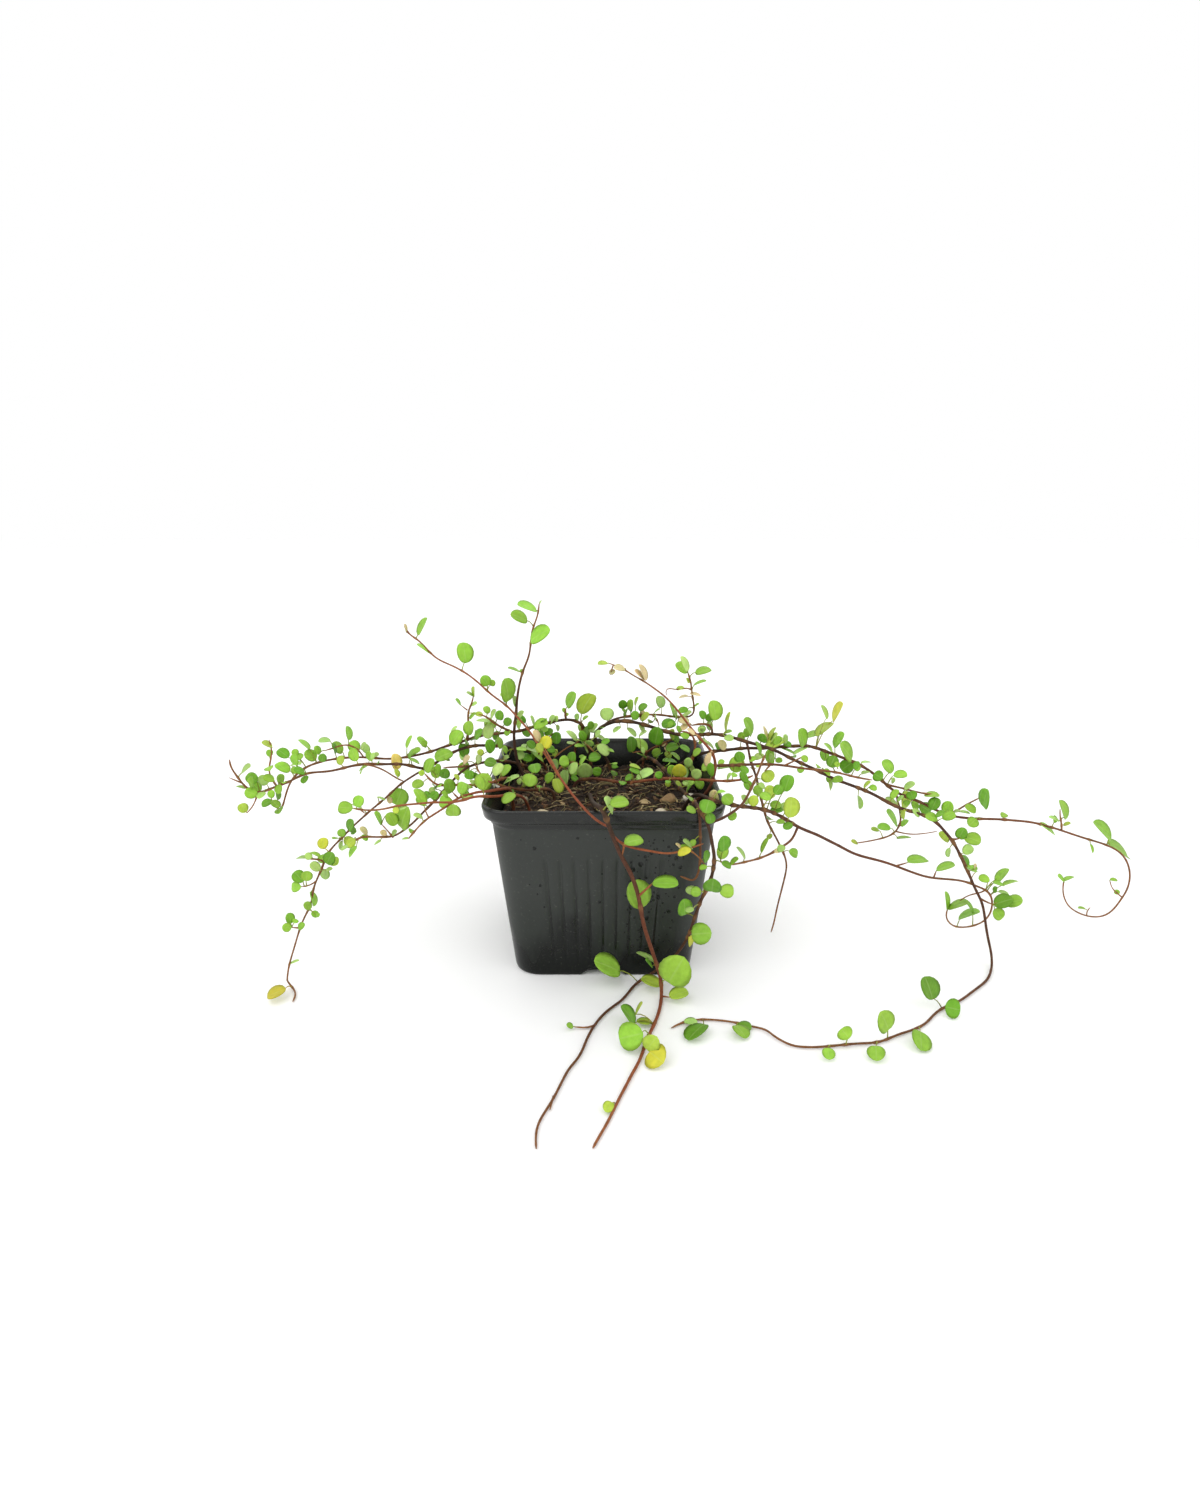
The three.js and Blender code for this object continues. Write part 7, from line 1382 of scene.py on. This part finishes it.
def mottled_material(name, scale, detail, stops, distance, **shader):
    """A material with the tint of the mesh, mottled and embossed by one noise: tint times ramp(noise)."""
    material, tree = new_material(name)
    tint = attribute(tree, "tint")
    grain = noise(tree, scale, detail)
    colour = mixed(tree, 1.0, tint, ramp(tree, grain, stops), "MULTIPLY")
    finish_material(tree, bump=(grain, distance), Base_Color=colour, **shader)
    return material


def bark_material():
    """Wiry stem bark: thin, matt, red-brown when young and grey-brown when old, finely mottled."""
    stops = [(0.25, (0.6, 0.58, 0.56)), (0.75, (1.3, 1.25, 1.2))]
    return mottled_material("wire vine bark", 900, 4.0, stops, 0.0001, Roughness=0.7, IOR=1.5,
                            Specular_IOR_Level=0.25)


def soil_material():
    """Moist potting mix, peat and bark: matt, dark brown, mottled by crumbs about a millimetre across."""
    stops = [(0.3, (0.35, 0.33, 0.3)), (0.55, (0.95, 0.95, 0.95)), (0.75, (1.9, 1.75, 1.6))]
    return mottled_material("moist potting mix", 650, 5.0, stops, 0.0006, Roughness=0.92, IOR=1.45)


def stone_material():
    """Weathered pebble, quartz and limestone, IOR 1.54: matt, faintly mottled."""
    stops = [(0.3, (0.66, 0.62, 0.56)), (0.7, (1.12, 1.1, 1.06))]
    return mottled_material("weathered pebble", 500, 5.0, stops, 0.0002, Roughness=0.75, IOR=1.54)


def leaf_material():
    """Wire vine leaf: smooth, slightly waxy, IOR 1.42, its midrib and side veins a little paler.

    The veins are where sin(40 (x - 1.1 s)) is high, of the place x along a blade and s beside its midrib.
    """
    material, tree = new_material("wire vine leaf")
    tint = attribute(tree, "tint")
    parts = add_node(tree, "ShaderNodeSeparateXYZ", {0: attribute(tree, "place", "Vector")}).outputs
    side = maths(tree, "ABSOLUTE", maths(tree, "SUBTRACT", parts["Y"], 0.5))
    rib = remap(tree, side, 0.4, 0.0, 0.015, 0.05)
    run = maths(tree, "SUBTRACT", parts["X"], maths(tree, "MULTIPLY", side, 1.1))
    comb = maths(tree, "SINE", maths(tree, "MULTIPLY", run, 40.0))
    both = maths(tree, "MAXIMUM", rib, remap(tree, comb, 0.0, 0.16, 0.86, 1.0))
    mottle = ramp(tree, noise(tree, 420), [(0.3, (0.84, 0.86, 0.8)), (0.7, (1.08, 1.06, 1.04))])
    toned = mixed(tree, 1.0, tint, mottle, "MULTIPLY")
    pale = mixed(tree, 0.4, toned, linear("#BFD68C"))
    colour = mixed(tree, both, toned, pale)
    finish_material(tree, bump=(both, 0.00012), Base_Color=colour, Roughness=0.5, IOR=1.42,
                    Subsurface_Weight=0.12, Subsurface_Radius=(0.0006, 0.0012, 0.0003),
                    Subsurface_Scale=1.0, Specular_IOR_Level=0.3)
    return material


def pot_material(settings):
    """Injection-moulded polypropylene, IOR 1.49, satin: charcoal, dusted higher up, with painted shade that
    darkens it towards the bottom.

    The dusting is thinned where noise, pushed by the height above the table, runs low, and there the painted
    shade colour shows. The tint of the mesh keeps the dusting off the rim and the inside, which take the
    painted shade colour too.
    """
    material, tree = new_material("charcoal polypropylene")
    place = add_node(tree, "ShaderNodeTexCoord").outputs["Object"]
    height = add_node(tree, "ShaderNodeSeparateXYZ", {0: place}).outputs["Z"]
    # Painted shade: this height ramp with noise picks the darker painted shade colour towards the bottom and
    # the lighter dusted colour higher up.
    level = remap(tree, height, -0.22, 0.16, 0.004, 0.038)
    wet = maths(tree, "ADD", noise(tree, 45, 3.0, (1, 1, 0.45)), level)
    bare = ramp(tree, wet, [(0.36, (0, 0, 0)), (0.52, (1, 1, 1))])
    dust_and_shade = mixed(tree, 1.0, bare, attribute(tree, "tint"), "MULTIPLY")
    # The lighter colour is the dusted plastic. The darker one, 0.6 of the plastic's colour, is painted shade
    # on the lower wall, the rim, the inside and the underside.
    dull, painted_shade_colour = (tuple(np.array(settings.colour) * factor) for factor in (2.0, 0.6))
    colour = mixed(tree, dust_and_shade, painted_shade_colour, dull)
    speck = ramp(tree, noise(tree, 900, 4.0), [(0.62, (0, 0, 0)), (0.8, (0.22, 0.22, 0.22))])
    colour = mixed(tree, speck, colour, linear("#7A7C72"))
    rough = remap(tree, dust_and_shade, 0.26, 0.48)
    shine = remap(tree, height, 0.16, 0.42, 0.006, 0.045)
    finish_material(tree, bump=(noise(tree, 700, 2.0), 0.00003), Base_Color=colour, Roughness=rough,
                    IOR=1.49, Specular_IOR_Level=shine)
    return material


def water_material(settings):
    """Wet spots: the charcoal plastic seen through a thin film of water, IOR 1.333, smooth."""
    material, tree = new_material("wet polypropylene")
    wet = tuple(np.array(settings.colour) * 0.8)
    finish_material(tree, Base_Color=(*wet, 1), Roughness=0.2, IOR=1.333)
    return material


def floor_material(settings):
    """Seamless white paper: matt."""
    material, tree = new_material("white paper")
    finish_material(tree, Base_Color=(*settings.floor, 1), Roughness=0.9, IOR=1.45)
    return material


# Stage: half width of the floor in millimetres, and the point in metres that the lights look at.
FLOOR_HALF = 3000.0
PLANT_MIDDLE = Vector((0, 0, 0.06))

# Camera: height of the photograph and focal length in pixels, film height in mm and dip in degrees.
PHOTO_HEIGHT = 1500
PHOTO_FOCAL = 820
SENSOR = 36
DIP = 18


# Add-on: settings, operators and panel.

def colour_property(name, description, default):
    """A colour setting whose default is an sRGB hex code."""
    return FloatVectorProperty(name=name, description=description, subtype="COLOR", size=3, min=0, max=1,
                               default=linear(default))


class WIREVINE_PG_pot(bpy.types.PropertyGroup):
    """Sizes and colours of the pot."""

    colour: colour_property("Colour", "Colour of the moulded plastic", "#1A1D1A")
    flute: FloatProperty(name="Flute depth", description="How far the flutes sink into the wall, in mm",
                         default=0.65, min=0, max=1, precision=2)
    drops: IntProperty(name="Wet spots", description="Number of wet spots tried on the front",
                       default=170, min=0, max=600)


class WIREVINE_PG_soil(bpy.types.PropertyGroup):
    """Relief and litter of the soil."""

    crumb: FloatProperty(name="Crumb height", description="Height of the soil's crumbs, in mm",
                         default=1.0, min=0, max=2, precision=2)
    chips: IntProperty(name="Chips", description="Bark chips and grit on top", default=420, min=0, max=2000)
    fibres: IntProperty(name="Fibres", description="Loose fibres on top", default=420, min=0, max=900)


class WIREVINE_PG_runners(bpy.types.PropertyGroup):
    """Looks of the runners."""

    blade: FloatProperty(name="Blade thickness", description="Thickness of a leaf along its midrib, in mm",
                         default=0.34, min=0.1, max=1, precision=2)
    fullness: FloatProperty(name="Leaf fullness", description="Width of a leaf against its drawn width",
                            default=1.06, min=0.5, max=1.5)
    slim: FloatProperty(name="Stem size", description="Thickness of a stem against the solid model's",
                        default=0.74, min=0.4, max=1)
    curl: FloatProperty(name="Leaf curl", description="Bow of a leaf, as a part of its length",
                        default=0.16, min=0, max=0.6)
    old_bark: colour_property("Old bark", "Colour of the thick old stems", "#38291F")
    young_bark: colour_property("Young bark", "Colour of the younger wiry stems", "#6A4029")
    red_bark: colour_property("Red bark", "Colour of the youngest runners' stems", "#8C4A2E")
    tip_bark: colour_property("Tip bark", "Colour of the thin tips and stalks", "#8F6038")


class WIREVINE_PG_stage(bpy.types.PropertyGroup):
    """Floor and light."""

    floor: colour_property("Floor", "Colour of the floor", "#FFFFFF")
    power: FloatProperty(name="Key light", description="Power of the large soft light", default=3.6, min=0,
                         unit="POWER")


GROUPS = {"pot": WIREVINE_PG_pot, "soil": WIREVINE_PG_soil, "runners": WIREVINE_PG_runners,
          "stage": WIREVINE_PG_stage}


def settings_of(context, part):
    """The settings of one part of the plant."""
    return getattr(context.scene, f"wirevine_{part}")


def hand_over(piece, slot, *nodes):
    """Ties a finished piece to the solid model: what it rides on, and the parts that it stands for, which are
    hidden. The slot is not used.
    """
    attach(piece, "root")
    if nodes:
        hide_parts(*nodes)


class WIREVINE_OT_pot(bpy.types.Operator):
    """Build the square pot and the wet spots on its front"""

    bl_idname = "wirevine.pot"
    bl_label = "Build pot"

    def execute(self, context):
        settings = settings_of(context, "pot")
        hand_over(make_pot(settings, pot_material(settings)), "pot", "pot")
        hand_over(make_drops(settings, water_material(settings)), "pot")
        return {"FINISHED"}


class WIREVINE_OT_soil(bpy.types.Operator):
    """Build the soil with its chips and fibres"""

    bl_idname = "wirevine.soil"
    bl_label = "Build soil"

    def execute(self, context):
        hand_over(make_soil(settings_of(context, "soil"), soil_material()), "soil", "soil")
        return {"FINISHED"}


class WIREVINE_OT_pebbles(bpy.types.Operator):
    """Build the pebbles that lie in the soil"""

    bl_idname = "wirevine.pebbles"
    bl_label = "Build pebbles"

    def execute(self, context):
        material = stone_material()
        for name, row in PEBBLES.items():
            hand_over(make_pebble(name, row, material), "pebble", name)
        return {"FINISHED"}


class WIREVINE_OT_runners(bpy.types.Operator):
    """Build every runner with its bark, stalks and leaves"""

    bl_idname = "wirevine.runners"
    bl_label = "Build runners"

    def execute(self, context):
        settings = settings_of(context, "runners")
        materials = [bark_material(), leaf_material()]
        for name, plant in lay_runners().items():
            hand_over(make_runner(name, plant, settings, materials), "vine", name)
        return {"FINISHED"}


def add_lights(scene, power):
    """Three soft square lights that look at the plant: name, place, size in metres and share of the power."""
    lights = (
        ("key", (-0.5, -0.55, 0.95), 0.9, 1.0),
        ("fill", (0.8, -0.5, 0.6), 1.0, 0.35),
        ("back", (0.1, 0.9, 0.7), 0.8, 0.5),
    )
    for name, place, size, share in lights:
        lamp = bpy.data.lights.new(name, "AREA")
        lamp.size = size
        lamp.energy = power * share
        body = bpy.data.objects.new(name, lamp)
        body.location = place
        body.rotation_euler = (PLANT_MIDDLE - Vector(place)).to_track_quat("-Z", "Y").to_euler()
        scene.collection.objects.link(body)


def add_world(scene):
    """An even white surrounding, shown without a tone curve."""
    world = bpy.data.worlds.new("soft white")
    world.use_nodes = True
    background = world.node_tree.nodes["Background"]
    background.inputs["Color"].default_value = (1, 1, 1, 1)
    background.inputs["Strength"].default_value = 1.0
    scene.world = world
    scene.view_settings.view_transform = "Standard"


def add_camera(scene):
    """The camera that took the photograph, as fitted to the pot's rim and base."""
    camera = bpy.data.cameras.new("camera")
    camera.sensor_fit = "VERTICAL"
    camera.sensor_height = SENSOR
    camera.lens = PHOTO_FOCAL / PHOTO_HEIGHT * SENSOR
    body = bpy.data.objects.new("camera", camera)
    body.location = EYE * MM
    body.rotation_euler = (math.radians(90 - DIP), 0, 0)
    scene.collection.objects.link(body)
    scene.camera = body


class WIREVINE_OT_stage(bpy.types.Operator):
    """Lay the floor and set the lights, world and camera"""

    bl_idname = "wirevine.stage"
    bl_label = "Set stage"

    def execute(self, context):
        settings = settings_of(context, "stage")
        shell = Shell()
        corners = FLOOR_HALF * np.array([[-1, -1, 0], [1, -1, 0], [1, 1, 0], [-1, 1, 0]])
        shell.add(corners, [[0, 1, 2, 3]], (1, 1, 1))
        shell.build("floor", [floor_material(settings)])
        add_lights(context.scene, settings.power)
        add_world(context.scene)
        add_camera(context.scene)
        return {"FINISHED"}


OPERATORS = (WIREVINE_OT_pot, WIREVINE_OT_soil, WIREVINE_OT_pebbles, WIREVINE_OT_runners, WIREVINE_OT_stage)


class WIREVINE_PT_sidebar(bpy.types.Panel):
    """Sidebar panel that lists the pieces and their settings."""

    bl_label = "Wire vine"
    bl_idname = "WIREVINE_PT_sidebar"
    bl_space_type = "VIEW_3D"
    bl_region_type = "UI"
    bl_category = "Wire vine"

    def draw(self, context):
        for operator in OPERATORS:
            part = operator.bl_idname.split(".")[1]
            box = self.layout.box()
            box.operator(operator.bl_idname)
            if part in GROUPS:
                settings = settings_of(context, part)
                for key in GROUPS[part].__annotations__:
                    box.prop(settings, key)


CLASSES = (*GROUPS.values(), *OPERATORS, WIREVINE_PT_sidebar)


def register():
    """Registers the classes and hangs the settings on the scene."""
    for each in CLASSES:
        bpy.utils.register_class(each)
    for part, group in GROUPS.items():
        setattr(bpy.types.Scene, f"wirevine_{part}", PointerProperty(type=group))


def unregister():
    """Takes the settings and classes away again."""
    for part in GROUPS:
        delattr(bpy.types.Scene, f"wirevine_{part}")
    for each in reversed(CLASSES):
        bpy.utils.unregister_class(each)


def main():
    register()
    for operator in OPERATORS:
        getattr(bpy.ops.wirevine, operator.bl_idname.split(".")[1])()


if __name__ == "__main__":
    main()
